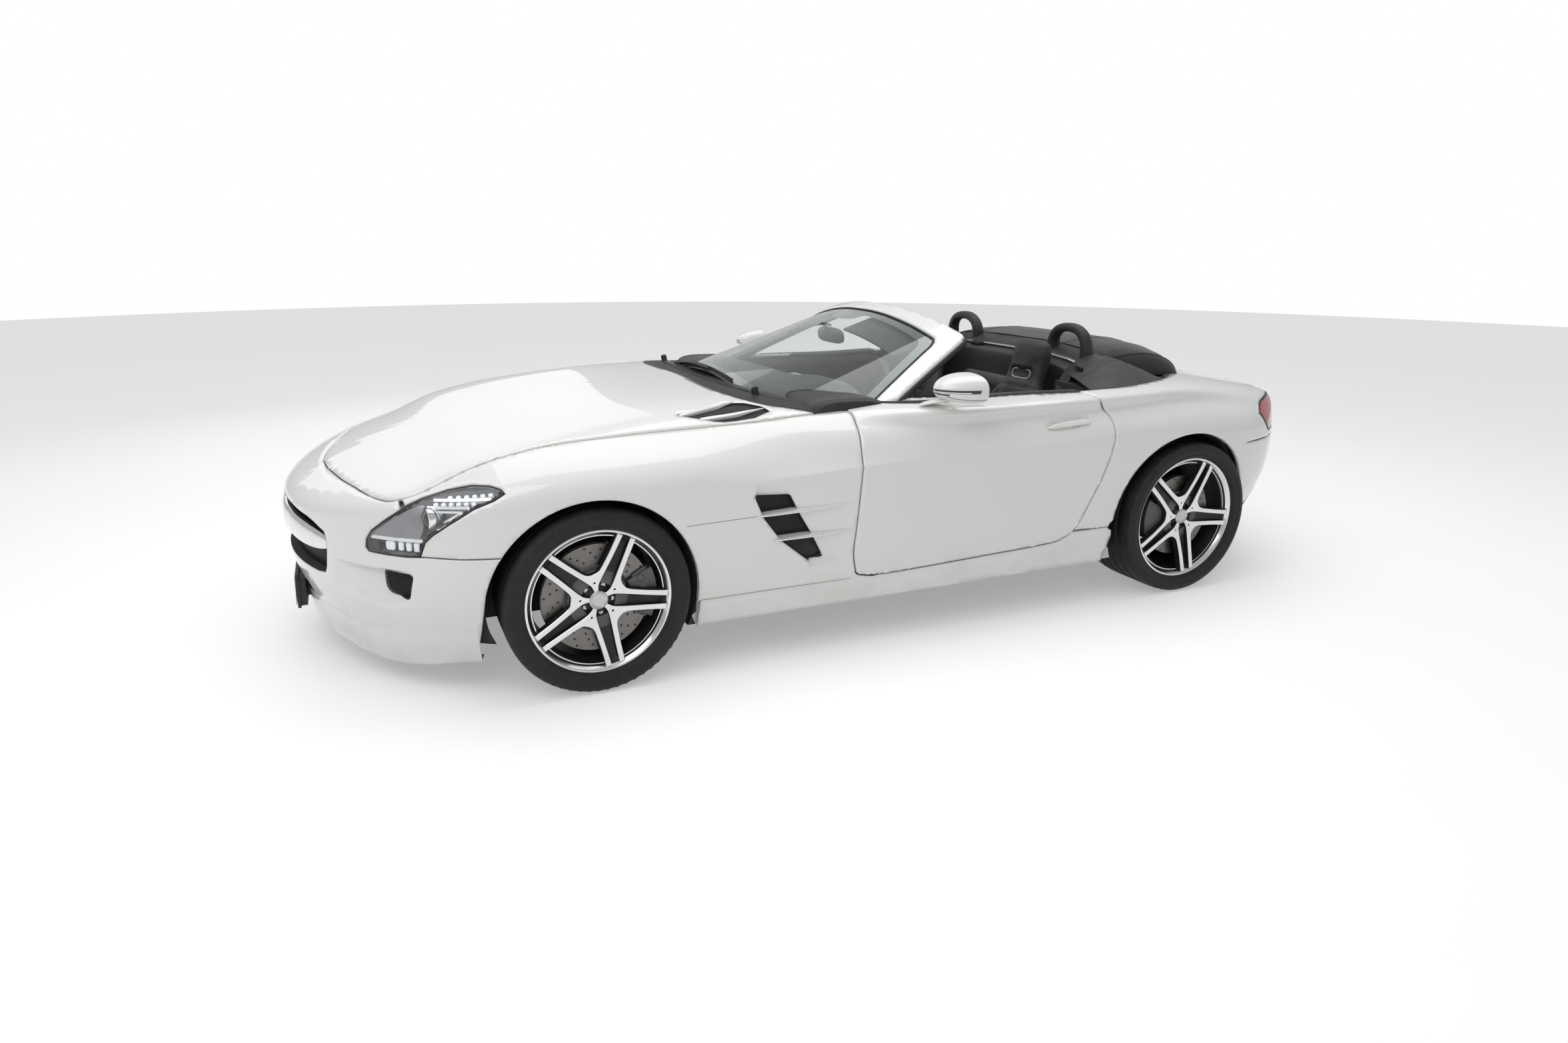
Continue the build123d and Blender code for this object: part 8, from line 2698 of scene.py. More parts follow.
# ---------------------------------------------------------------- behind the seats, floor and pedals
def rear_cabin():
    """Trimmed wall and ledge behind the seats, leather-wrapped roll hoops, the padded quarters that
    rise from the belt to the folded hood, carpets and pedals."""
    prof = smooth_loop(np.array(((1000, 200), (1000, 500), (1000, 900), (1002, 985), (1012, 1004),
        (1034, 1009), (1070, 1008), (1084, 1012), (1094, 1028), (1120, 1045), (1160, 1061), (1186, 1066),
        (1196, 1050), (1180, 1030), (1120, 1000), (1052, 960), (1050, 895), (1050, 500), (1050, 200)))
        / 1000, 4)
    xs = np.linspace(-0.552, 0.552, 90)
    X = np.broadcast_to(xs[:, None], (90, len(prof)))
    Y, Z = (np.broadcast_to(prof[:, k], X.shape).copy() for k in (0, 1))
    arch = np.interp(np.abs(X), (0, 0.30, 0.45, 0.53, 0.552), (0.0, -0.002, -0.016, -0.032, -0.05))
    Z += arch * ease(Z, 0.85, 1.0)
    # the ledge has a shallow tray in its middle
    Z -= 0.010 * ease(0.14 - np.abs(X - 0.0), -0.01, 0.015) * ease(Y, 1.024,
        1.030) * (1 - ease(Y, 1.060, 1.066)) * ease(Z, 0.99, 1.0)
    m = len(prof)
    grid = np.stack([X, Y, Z], -1)
    parts = [(grid.reshape(-1, 3), capped(90, m), 0)]
    xx = np.linspace(-0.50, 0.50, 90)
    drop = np.interp(np.abs(xx), (0, 0.30, 0.45, 0.53), (0.0, -0.002, -0.016, -0.032))
    parts.append(sweep(np.c_[xx, np.full(90, 1.0855), 1.0215 + drop], oval(0.0065, 0.0030, 10, 3),
        up=(0, -0.5, 1), mark=1))
    for s in (1, -1):
        v, f = slab_box((s * 0.185 - 0.030, 1.030, 1.004), (s * 0.185 + 0.030, 1.075, 1.030), 0.008)
        parts.append((v, f, 2))
        v, f = slab_box((s * 0.185 - 0.018, 1.040, 1.028), (s * 0.185 + 0.018, 1.066, 1.036), 0.004)
        parts.append((v, f, 3))
    # net frame between the seats, in satin grey
    pan = soft_profile([(-0.185, 0.46), (0.185, 0.46), (0.185, 0.885), (-0.185, 0.885)], 0.03, 6)
    v, f, _ = raised([pan], (0.03, 0.03), lambda uv: 0.024 + 0 * uv[:, 0], 0.02, 0.004, 0.003)
    parts.append((np.c_[v[:, 0], 1.000 - v[:, 2], v[:, 1]], turned(f, -1), 4))
    pan2 = soft_profile([(-0.160, 0.50), (0.160, 0.50), (0.160, 0.85), (-0.160, 0.85)], 0.03, 6)
    v, f, _ = raised([pan2], (0.03, 0.03), lambda uv: 0.027 + 0 * uv[:, 0], 0.003, 0.0, 0.001)
    parts.append((np.c_[v[:, 0], 1.000 - v[:, 2], v[:, 1]], turned(f, -1), 0))
    piece("rear_wall", parts, "body", ["leather", "silver", "trim", "gloss", "cast"], slot="leather",
        angle=45)
    line = np.c_[xx, np.full(90, 1.0155), 1.0078 + drop]
    piece("wall_threads", stitch_run(line, (0, -0.4, 1)), "body", ["stitch"], slot="leather")
    # hoops: rounded rectangle arch; the section is wide along the car and grows downwards
    parts, threads, plates = [], [], []
    a = np.linspace(math.pi * 1.0, 0, 40)
    arch = np.c_[0.1085 * np.sign(np.cos(a)) * np.abs(np.cos(a)) ** 0.86,
        1.058 + 0.088 * np.abs(np.sin(a)) ** 0.90]
    line = np.r_[[(-0.1125, 0.880), (-0.1120, 0.94), (-0.110, 1.00)], arch,
        [(0.110, 1.00), (0.1120, 0.94), (0.1125, 0.880)]]
    line = smooth_loop(line, 2, False)
    q = np.clip((1.13 - line[:, 1]) / 0.25, 0, 1)
    for s in (1, -1):
        path = np.c_[s * 0.400 + line[:, 0] * (1, ) , 1.128 + 0.02 * q, line[:, 1]]
        sec = oval(1, 1, 24, 2.7)[None] * np.stack([0.0205 + 0.003 * q, 0.0265 + 0.010 * q], -1)[:, None]
        # across = in the hoop's own plane, upward = along the car
        d = np.gradient(path, axis=0)
        d /= np.linalg.norm(d, axis=1)[:, None]
        parts.append(sweep(path, sec, up=(0, 1, 0), mark=0))
        inner = path.copy()
        inner[:, 0] += np.where(path[:, 2] > 1.0, 0, 0)
        side_dir = np.cross(d, (0, 1, 0))
        seam = path + side_dir * 0.0195
        seam2 = path - side_dir * 0.0195
        ctr = np.array((s * 0.400, 1.14, 1.0))
        use = seam if np.linalg.norm(seam[len(seam) // 2] - ctr) < np.linalg.norm(seam2[len(seam) // 2]
            - ctr) else seam2
        threads += stitch_run(use + (0, -0.006, 0), (0, 1, 0), 0.0085)
        for fx in (-0.1125, 0.1125):
            plates.append(sweep(np.array(((s * 0.400 + fx, 1.150, 0.985), (s * 0.400 + fx, 1.150, 0.990),
                (s * 0.400 + fx, 1.150, 1.000))), oval(1, 1, 28, 2.7)[None]
                * np.array(((0.034, 0.046), (0.033, 0.045), (0.029, 0.041)))[:, None], up=(0, 1, 0), mark=0))
    piece("hoop_leather", parts, "body", ["leather"], "roll_hoops", "leather", angle=60)
    piece("hoop_threads", threads, "body", ["stitch"], slot="leather")
    piece("hoop_collars", plates, "body", ["trim"], slot="black_trim")
    # quarter covers: between the belt line (outer) and the hood's front corner (inner), bulged by a sine
    t = np.linspace(0, 1, 60)
    kt = (0, 0.2, 0.4, 0.62, 0.82, 1)
    outer = np.stack([np.interp(t, kt, c) for c in ((0.836, 0.834, 0.822, 0.790, 0.745, 0.700),
        (0.868, 0.985, 1.11, 1.24, 1.345, 1.425), (0.9235, 0.925, 0.927, 0.928, 0.928, 0.925))], -1)
    inner = np.stack([np.interp(t, kt, c) for c in ((0.545, 0.542, 0.524, 0.532, 0.570, 0.592),
        (0.985, 1.03, 1.13, 1.215, 1.300, 1.392), (0.958, 0.983, 1.026, 1.022, 0.975, 0.918))], -1)
    for c in (outer, inner):
        c[:] = c
    s = np.linspace(0, 1, 26)
    P = outer[:, None] * (1 - s[None, :, None]) + inner[:, None] * s[None, :, None]
    w = np.sin(math.pi * s)[None] * np.interp(t, (0, 0.3, 0.7, 1), (0.004, 0.020, 0.022, 0.006))[:, None]
    P[..., 2] += w
    P[..., 2] -= 0.005 * np.exp(-((s[None] - 0.62 - 0.12 * (t[:, None] - 0.5)) / 0.035) ** 2) * (
        t[:, None] > 0.0)
    roll = np.stack([outer + (0.004, 0, -0.016), outer + (0.004, 0, -0.002)], 1)
    P = np.concatenate([roll, P[:, 1:], (inner + (-0.012, 0.008, -0.004))[:, None],
        (inner + (-0.016, 0.010, -0.045))[:, None]], 1)
    cover = shell(P[:, ::-1], 0.005, 0)
    belt = outer + (-0.001, 0, 0.0035)
    sealp = np.array(((-0.007, -0.010), (0.0065, -0.010), (0.0065, 0.001), (0.002, 0.0035), (-0.007, 0.001)))
    parts = [cover, sweep(belt, sealp, up=(0, 0, 1), mark=1)]
    piece("quarter_covers", parts + [mirror_part(p) for p in parts], "body", ["leather", "rubber"],
        slot="leather", angle=50)
    th = stitch_run(P[2:-1, 17] + (0, 0, 0.0009), (0, 0, 1))
    piece("quarter_threads", th + [mirror_part(p) for p in th], "body", ["stitch"], slot="leather")
    # floor carpets and pedals
    parts = []
    for sx in (1, -1):
        mat = soft_profile([(sx * 0.385 - 0.235, -0.36), (sx * 0.385 + 0.235, -0.36),
            (sx * 0.385 + 0.235, 0.055), (sx * 0.385 - 0.235, 0.055)], 0.05, 8)
        if sx < 0:
            mat = mat[::1]
        v, f, _ = raised([mat], (0.03, 0.03), lambda uv: 0.201 + 0.0012 * np.sin(uv[:, 0] * 40)
            * np.sin(uv[:, 1] * 33), 0.009, 0.002, 0.003)
        parts.append((v, f, 0))
        e = offset_loop(mat, -0.004)
        e = np.r_[e, e[:1]]
        parts.append(sweep(np.c_[e, np.full(len(e), 0.200)], oval(0.005, 0.003, 8), up=(0, 0, 1), mark=1))
    piece("floor_mats", parts, "body", ["carpet", "leather"], slot="fabric")
    parts = []
    for x0, w, z0, z1 in ((0.300, 0.030, 0.255, 0.345), (0.470, 0.024, 0.215, 0.345)):
        pad = soft_profile([(x0 - w, z0), (x0 + w, z0), (x0 + w, z1), (x0 - w, z1)], 0.010, 5)
        v, f, _ = raised([pad], (0.02, 0.02), lambda uv: 0 * uv[:, 0], 0.010, 0.001, 0.002)
        parts.append((np.c_[v[:, 0], -0.335 - (v[:, 1] - 0.30) * 0.35 + 0.010 - v[:, 2] * -1, v[:, 1]], f, 0))
        for k in range(4):
            zc = z0 + 0.018 + k * (z1 - z0 - 0.036) / 3
            q = np.array([(x0 + d, -0.327 - (zc - 0.30) * 0.35 + 0.0115, zc) for d in (-w * 0.7, 0, w * 0.7)])
            parts.append(sweep(q, oval(0.0022, 0.003, 8), up=(0, 1, 0), mark=1))
        arm = smooth_loop(np.array(((x0, -0.345, (z0 + z1) / 2), (x0, -0.385, 0.42), (x0, -0.372, 0.56))),
            5, False)
        parts.append(sweep(arm, oval(0.008, 0.006, 10), up=(1, 0, 0), mark=2))
    piece("pedals", parts, "body", ["silver", "rubber", "cast"], slot="steel")


seats()
dashboard()
console()
steering_wheel()
rear_cabin()


def soft_top():
    """The folded hood as one cloth: a path (y, height) over the stack, back under itself and out
    again, carried across the car; every height is scaled over the tray by a crown that is flat in
    the middle, creases near the side and drops, and the front corners are drawn back there."""
    path = smooth_loop(np.array(((1168, 1069), (1200, 1075), (1260, 1082), (1340, 1088), (1420, 1087),
        (1500, 1073), (1575, 1047), (1632, 1014), (1668, 976), (1683, 948), (1678, 932), (1655, 931),
        (1560, 953), (1450, 968), (1330, 968), (1282, 960), (1270, 946), (1290, 936), (1400, 941),
        (1520, 931), (1615, 914), (1662, 905))) / 1000, 6, False)
    top = np.argmax(path[:, 0])
    u = np.sin(np.linspace(-1, 1, 69) * math.pi / 2 * 0.86) / math.sin(math.pi / 2 * 0.86)
    a = np.abs(u)
    k = (0, 0.25, 0.5, 0.74, 0.84, 0.90, 0.925, 0.95, 0.975, 1)
    x = np.sign(u) * np.interp(a, k, (0, 0.155, 0.31, 0.462, 0.523, 0.556, 0.567, 0.573, 0.576, 0.572))
    crown = np.interp(a, k, (1, 0.995, 0.975, 0.90, 0.805, 0.70, 0.62, 0.47, 0.30, 0.15))
    crown = np.convolve(np.r_[crown[:1], crown, crown[-1:]], (0.2, 0.6, 0.2), "valid")
    n = len(path)
    under = ease(np.arange(n).astype(float), top, top + 12)
    X = x[:, None] * (1 - 0.06 * under[None])
    front = 1.168 + 0.20 * ease(a, 0.83, 1.0)
    rear = 1.683 - 0.050 * np.clip((a - 0.45) / 0.55, 0, 1) ** 2.2
    Y = front[:, None] + (path[None, :, 0] - 1.168) / (1.683 - 1.168) * (rear - front)[:, None]
    Z = 0.895 + (path[None, :, 1] - 0.895) * crown[:, None]
    # soft waves where the cloth lies loose over the bows beneath it
    loose = (1 - under)[None] * (1 - a ** 4)[:, None]
    Z += loose * (0.0022 * np.exp(-((Y - 1.30) / 0.018) ** 2) + 0.0020
        * np.exp(-((Y - 1.53) / 0.02) ** 2) - 0.0010 * np.sin(X * 21 + Y * 9) * np.sin(Y * 30))
    grid = np.stack([X, Y, Z], -1)
    cloth = piece("hood_cloth", [shell(grid, 0.003)], "body", ["fabric"], "soft_top", "fabric", angle=60)
    # welts sewn over the bows' ends and along the crease
    parts = []
    for side in (1, -1):
        i = int(np.argmin(np.abs(u - side * 0.905)))
        line = grid[i, 4:top - 4] + (side * 0.0012, 0, 0.0012)
        parts.append(sweep(line, oval(0.0032, 0.0016, 8), up=(side, 0, 1.0), mark=0))
        i = int(np.argmin(np.abs(u - side * 0.50)))
        line = grid[i, 2:top - 3] + (0, 0, 0.0006)
        parts.append(sweep(line, oval(0.0060, 0.0012, 8), up=(0, 0, 1), mark=0))
        parts += stitch_run(line + (0.0045, 0, 0.0008), (0, 0, 1), 0.010, 1)
    j = int(np.argmin(np.abs(path[:top, 0] - 1.60)))
    line = grid[6:-6, j] + (0, 0.0004, 0.0008)
    parts.append(sweep(line, oval(0.0055, 0.0012, 8), up=(0, 0.4, 1), mark=0))
    welts = piece("hood_welts", parts, "body", ["fabric", "rubber"], slot="fabric")
    # tray round the stack: from the paint's edge down and in under the cloth
    d = np.array([p for p in DECK_EDGE if p[1] > 1.38])
    out = smooth_loop(np.r_[d, [(0.30, 1.7075), (0.0, 1.7095)]], 5, False)
    P0 = from_above(out)
    inn = np.c_[out[:, 0] * np.interp(out[:, 1], (1.40, 1.55, 1.71), (0.80, 0.84, 0.98)),
        out[:, 1] - np.interp(out[:, 1], (1.40, 1.6, 1.71), (0.03, 0.06, 0.085)), np.full(len(out), 0.893)]
    rows = [P0 + (0, 0, -0.010), P0 + (0, 0, -0.0015),
        P0 + (inn - P0) * 0.10 * (1, 1, 0) + (0, 0, 0.0005),
        P0 + (inn - P0) * 0.22 * (1, 1, 0) + (0, 0, -0.006), P0 + (inn - P0) * (0.45, 0.45, 0.75), inn]
    g = np.stack(rows, 1)
    tray = shell(g, 0.003, 0)
    piece("hood_tray", [tray, mirror_part(tray)], "body", ["rubber"], slot="black_trim", angle=50)


soft_top()

# ---------------------------------------------------------------- tail
def tail_lamp(tag, side):
    """Red cover wrapped round the corner, flush with the paint, over a bucket with three stepped light
    bars."""
    flip = (lambda part: part) if side > 0 else mirror_part
    chart = round_end(1, TAIL_C)
    s = from_side(1)
    loop = np.concatenate([fan(s(np.array(((1.8135, 0.778), (1.841, 0.8055), (1.870, 0.8215),
        (1.965, 0.8315), (2.045, 0.8345)))), 1, TAIL_C),
                           fan(seen_front([(0.72, 0.8345), (0.665, 0.8345), (0.650, 0.830),
                           (0.645, 0.822), (0.645, 0.706), (0.650, 0.698), (0.665, 0.6945),
                           (0.72, 0.6925)], 1), 1, TAIL_C),
                           fan(s(np.array(((2.045, 0.6925), (1.97, 0.6925), (1.910, 0.6925),
                           (1.868, 0.7265)))), 1, TAIL_C)])
    flipped = loop * (side, 1)
    cover = panel(f"tail_cover_{tag}", chart, [flipped], (0.010, 0.008), 0.004, turn=0.002)
    wear(cover, "body", "red", slot="red_lamp")
    parts = [collar(chart, offset_loop(loop, -0.001), 0.040, 0.002, 0),
        bed(chart, offset_loop(loop, -0.002), (0.014, 0.012), 0.038, mark=0)]
    lo, hi = loop.min(0), loop.max(0)
    for k, (z0, h) in enumerate(((0.722, 0.010), (0.760, 0.012), (0.800, 0.010))):
        a = np.linspace(lo[0] + 0.10 * (hi[0] - lo[0]),
            hi[0] - (0.10 + 0.03 * abs(k - 1)) * (hi[0] - lo[0]), 60)
        line = chart(np.c_[a, np.full(60, z0)])
        n = body_field(line)[1]
        ok = inside(offset_loop(loop, -0.012), np.c_[a, np.full(60, z0)])
        line, n = line[ok], n[ok]
        parts.append(sweep(line - n * 0.022, oval(0.008, h, 14, 3.0), up=(0, 0, 1), mark=1))
        parts.append(sweep(line - n * 0.0145, oval(0.0022, h * 0.35, 10, 2.5), up=(0, 0, 1), mark=2))
    for q in np.linspace(0.2, 0.8, 5):
        a = lo[0] + q * (hi[0] - lo[0])
        p = chart(np.array(((a, 0.780),)))
        n = body_field(p)[1]
        parts.append(lathe_at([(-0.036, 0.0), (-0.030, 0.012), (-0.026, 0.0145), (-0.0265, 0.010),
            (-0.034, 0.0)], p[0], n[0], 24, 1))
    piece(f"tail_inside_{tag}", [flip(q) for q in parts], "body", ["housing", "reflector", "led"],
        "tail_lamps" if side > 0 else (), "red_lamp")
    p = chart(resample(flipped, 0.010))
    n = body_field(p)[1]
    piece(f"tail_gasket_{tag}", [sweep(p - n * 0.0022, oval(0.0024, 0.0021, 8), up=n, closed=True)],
        "body", ["rubber"], slot="black_trim")


def diffuser():
    """Black under-tail: a panel bent over the lower edge with a sunk middle, upright fins, and two
    pairs of flattened pipes with rolled lips."""
    prof = smooth_loop(np.array(((2080, 396), (2180, 398), (2245, 396), (2262, 386), (2262, 366),
        (2246, 330), (2222, 296), (2180, 268), (2120, 254), (2050, 250))) / 1000, 5, False)
    xs = np.linspace(-0.512, 0.512, 90)
    X = np.broadcast_to(xs[:, None], (90, len(prof)))
    Y, Z = (np.broadcast_to(prof[:, k], X.shape).copy() for k in (0, 1))
    sunk = ease(0.345 - np.abs(X), -0.012, 0.02) * ease(Z, 0.262, 0.275) * (1 - ease(Z, 0.362, 0.374))
    Y -= 0.030 * sunk
    end = np.clip((np.abs(X) - 0.445) / 0.067, 0, 1) ** 2
    Y -= 0.105 * end * ease(Y, 2.06, 2.20)
    parts = [shell(np.stack([X, Y, Z], -1)[::-1], 0.004, 0)]
    for x0 in (-0.30, -0.15, 0.0, 0.15, 0.30):
        fin = soft_profile([(2.050, 0.204), (2.225, 0.214), (2.246, 0.236), (2.256, 0.330),
            (2.240, 0.352), (2.180, 0.320), (2.060, 0.290)], 0.012, 5)
        v, f, _ = raised([fin], (0.02, 0.02), lambda uv: 0.006 + 0 * uv[:, 0], 0.006, 0.0, 0.002)
        for s in (1, -1):
            part = (np.c_[x0 + s * v[:, 2] * 0.8, v[:, 0], v[:, 1]], turned(f, s), 0)
            parts.append(part)
    for z0 in (0.300, 0.330):
        for s in (1, -1):
            line = np.c_[np.linspace(0.020, 0.132, 8) * s, np.full(8, 2.2150 + (z0 - 0.30) * 0.55),
                np.full(8, z0)]
            parts.append(sweep(line, oval(0.003, 0.004, 8), up=(0, 1, 0), mark=0))
    piece("under_tail", parts, "body", ["trim"], "diffuser", "black_trim")
    parts = []
    for x0 in (0.400, 0.455, -0.400, -0.455):
        ring = oval(1, 1, 56, 3.2)
        rows = []
        for y, gx, gz in ((2.110, 0.0185, 0.0255), (2.235, 0.0225, 0.0295), (2.276, 0.0240, 0.0310),
            (2.2835, 0.0238, 0.0308), (2.285, 0.0225, 0.0295), (2.2830, 0.0210, 0.0280),
            (2.270, 0.0205, 0.0275), (2.150, 0.0170, 0.0240)):
            rows.append(np.c_[x0 + ring[:, 0] * gx, np.full(56, y) - ring[:, 1] * gz * 0.20,
                0.318 + ring[:, 1] * gz])
        g = np.stack(rows)
        n_, m_ = g.shape[:2]
        parts.append((g.reshape(-1, 3), capped(n_, m_), [0] * (6 * 56) + [1] * 56 + [0, 1]))
    for s in (1, -1):
        body = oval(0.055, 0.040, 40, 3)
        g = np.stack([np.c_[s * 0.4275 + body[:, 0] * k, np.full(40, y), 0.318 + body[:, 1] * k]
            for y, k in ((2.00, 0.7), (2.02, 0.95), (2.06, 1.0), (2.09, 1.0), (2.115, 0.9))])
        parts.append((g.reshape(-1, 3), capped(5, 40), 2))
    piece("exhaust_tips", parts, "body", ["bright", "under", "cast"], slot="bright")


def rear_details():
    """Bare plate in its sunk holder, plate lights, high brake light, side reflectors, parking eyes, the joint
    line round the bumper's towing cover, and the boot's carpeted floor."""
    u, w = np.meshgrid(np.linspace(-1, 1, 49), np.linspace(-1, 1, 17), indexing="ij")
    border = 0.0012 * np.exp(-((np.maximum(np.abs(u) * 0.26 - 0.26, np.abs(w) * 0.056 - 0.056) + 0.006)
        / 0.0022) ** 2)
    zc = 0.520
    mid = seen_front([(0.0, zc), (0.25, zc), (0.0, zc + 0.05), (0.0, zc - 0.05)], 1)
    y0 = mid[:, 1].max()
    lean = (mid[2, 1] - mid[3, 1]) / 0.1
    plate = np.stack([u * 0.26, y0 + 0.0065 + w * 0.056 * lean + border, zc + w * 0.056], -1)
    piece("rear_plate", [shell(plate, 0.002)], "body", ["plate"], slot="bright")
    box = soft_profile([(-0.272, -0.066), (0.272, -0.066), (0.272, 0.066), (-0.272, 0.066)], 0.010, 5)
    v, f, _ = raised([box], (0.02, 0.02), lambda uv: 0 * uv[:, 0] + 0.004, 0.016, 0.002, 0.002)
    holder = [(np.c_[v[:, 0], y0 + v[:, 2] + v[:, 1] * lean, zc + v[:, 1]], turned(f, -1), 0)]
    for s in (1, -1):
        q = np.array([(s * 0.12 + d, y0 + 0.010 + 0.072 * lean, zc + 0.072) for d in (-0.03, 0, 0.03)])
        holder.append(sweep(q, oval(0.010, 0.006, 12, 3), up=(0, 0, 1), mark=1))
        for k in (1, -1):
            holder.append(lathe_at([(0.006, 0.0045), (0.0085, 0.0045), (0.0095, 0.003), (0.0095, 0)],
                (s * 0.235, y0 + k * 0.04 * lean, zc + k * 0.0), (0, 1, 0), 16, 2))
    piece("rear_plate_holder", holder, "body", ["trim", "led", "cast"], slot="black_trim")
    # parking eyes and corner reflectors
    parts = []
    for x0 in (-0.62, -0.36, 0.36, 0.62):
        p = seen_front([(x0, 0.475)], 1)
        n = body_field(p)[1]
        parts.append(lathe_at([(-0.004, 0.0115), (0.0008, 0.0115), (0.0016, 0.0100), (0.0018, 0.0)], p[0],
            n[0], 28, 0))
    piece("rear_park_sensors", parts, "body", ["paint"], slot="paint")
    parts = []
    for s in (1, -1):
        line = seen_front([(s * x, 0.428 + 0.006 * (x - 0.5)) for x in np.linspace(0.52, 0.70, 20)], 1)
        n = body_field(line)[1]
        parts.append(sweep(line, oval(0.0095, 0.0035, 12, 3), up=n, mark=0))
    piece("rear_reflectors", parts, "body", ["red"], slot="red_lamp")
    # high brake light let into the boot's rear edge
    line = from_above(np.c_[np.linspace(-0.17, 0.17, 30), 2.128 - 0.04 * np.linspace(-0.17, 0.17, 30) ** 2])
    n = body_field(line)[1]
    piece("high_brake_light", [sweep(line, oval(0.007, 0.0022, 12, 3), up=n, mark=0)], "boot_lid",
        ["red"], slot="red_lamp")
    # joint line round the towing cover
    t = np.linspace(0, 2 * math.pi, 20, endpoint=False)
    ring = seen_front(np.c_[0.44 + 0.0225 * np.cos(t), 0.43 + 0.0225 * np.sin(t)], 1)
    n = body_field(ring)[1]
    piece("rear_tow_joint", [sweep(ring, oval(0.0008, 0.0005, 6), up=n, closed=True)], "body", ["trim"],
        slot="black_trim")
    # boot: carpeted floor
    parts = []
    g = np.stack(np.meshgrid(np.linspace(-0.545, 0.545, 70), np.linspace(1.262, 2.165, 60),
        indexing="ij"), -1)
    floor = np.concatenate([g, (0.4845 + 0.0015 * np.sin(g[..., :1] * 31) * np.sin(g[..., 1:] * 27))], -1)
    parts.append(shell(floor[::-1], 0.003, 0))
    piece("boot_carpet", parts, "body", ["carpet"], slot="fabric")


def valance():
    """Black lower lip from the bumper's edge down beside the diffuser and round to the wheel arch."""
    s = from_side(1)
    top = np.concatenate([fan(seen_front([(x, 0.4015) for x in np.linspace(0.480, 0.74, 14)], 1), 1,
        TAIL_C), fan(s(np.array([(2.0, 0.4045), (1.919, 0.402), (1.887, 0.358), (1.842, 0.3155),
        (1.802, 0.2865), (1.766, 0.2745)]))  , 1, TAIL_C)])
    low = np.concatenate([fan(s(np.array([(1.772, 0.238), (1.84, 0.240), (1.92, 0.246), (2.0, 0.254)])),
        1, TAIL_C), fan(seen_front([(x, 0.262 + 0.0 * x) for x in np.linspace(0.74, 0.480, 14)], 1), 1,
        TAIL_C)])
    half = np.concatenate([top, low])
    for tag, side in (("l", 1), ("r", -1)):
        obj = panel(f"valance_{tag}", round_end(1, TAIL_C), [half * (side, 1)], (0.02, 0.014), 0.006)
        wear(obj, "body", "trim", slot="black_trim")


tail_lamp("l", 1)
tail_lamp("r", -1)
diffuser()
valance()
rear_details()

# ---------------------------------------------------------------- solids that stay as they are, in
# their own finishes
for node, kinds in (("tub", "carpet"), ("engine", "cast"), ("front_suspension", "cast"),
    ("rear_suspension", "cast"), ("knuckle_fl", "cast"), ("knuckle_fr", "cast")):
    for slot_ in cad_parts[node].material_slots:
        slot_.material = FINISH[kinds]

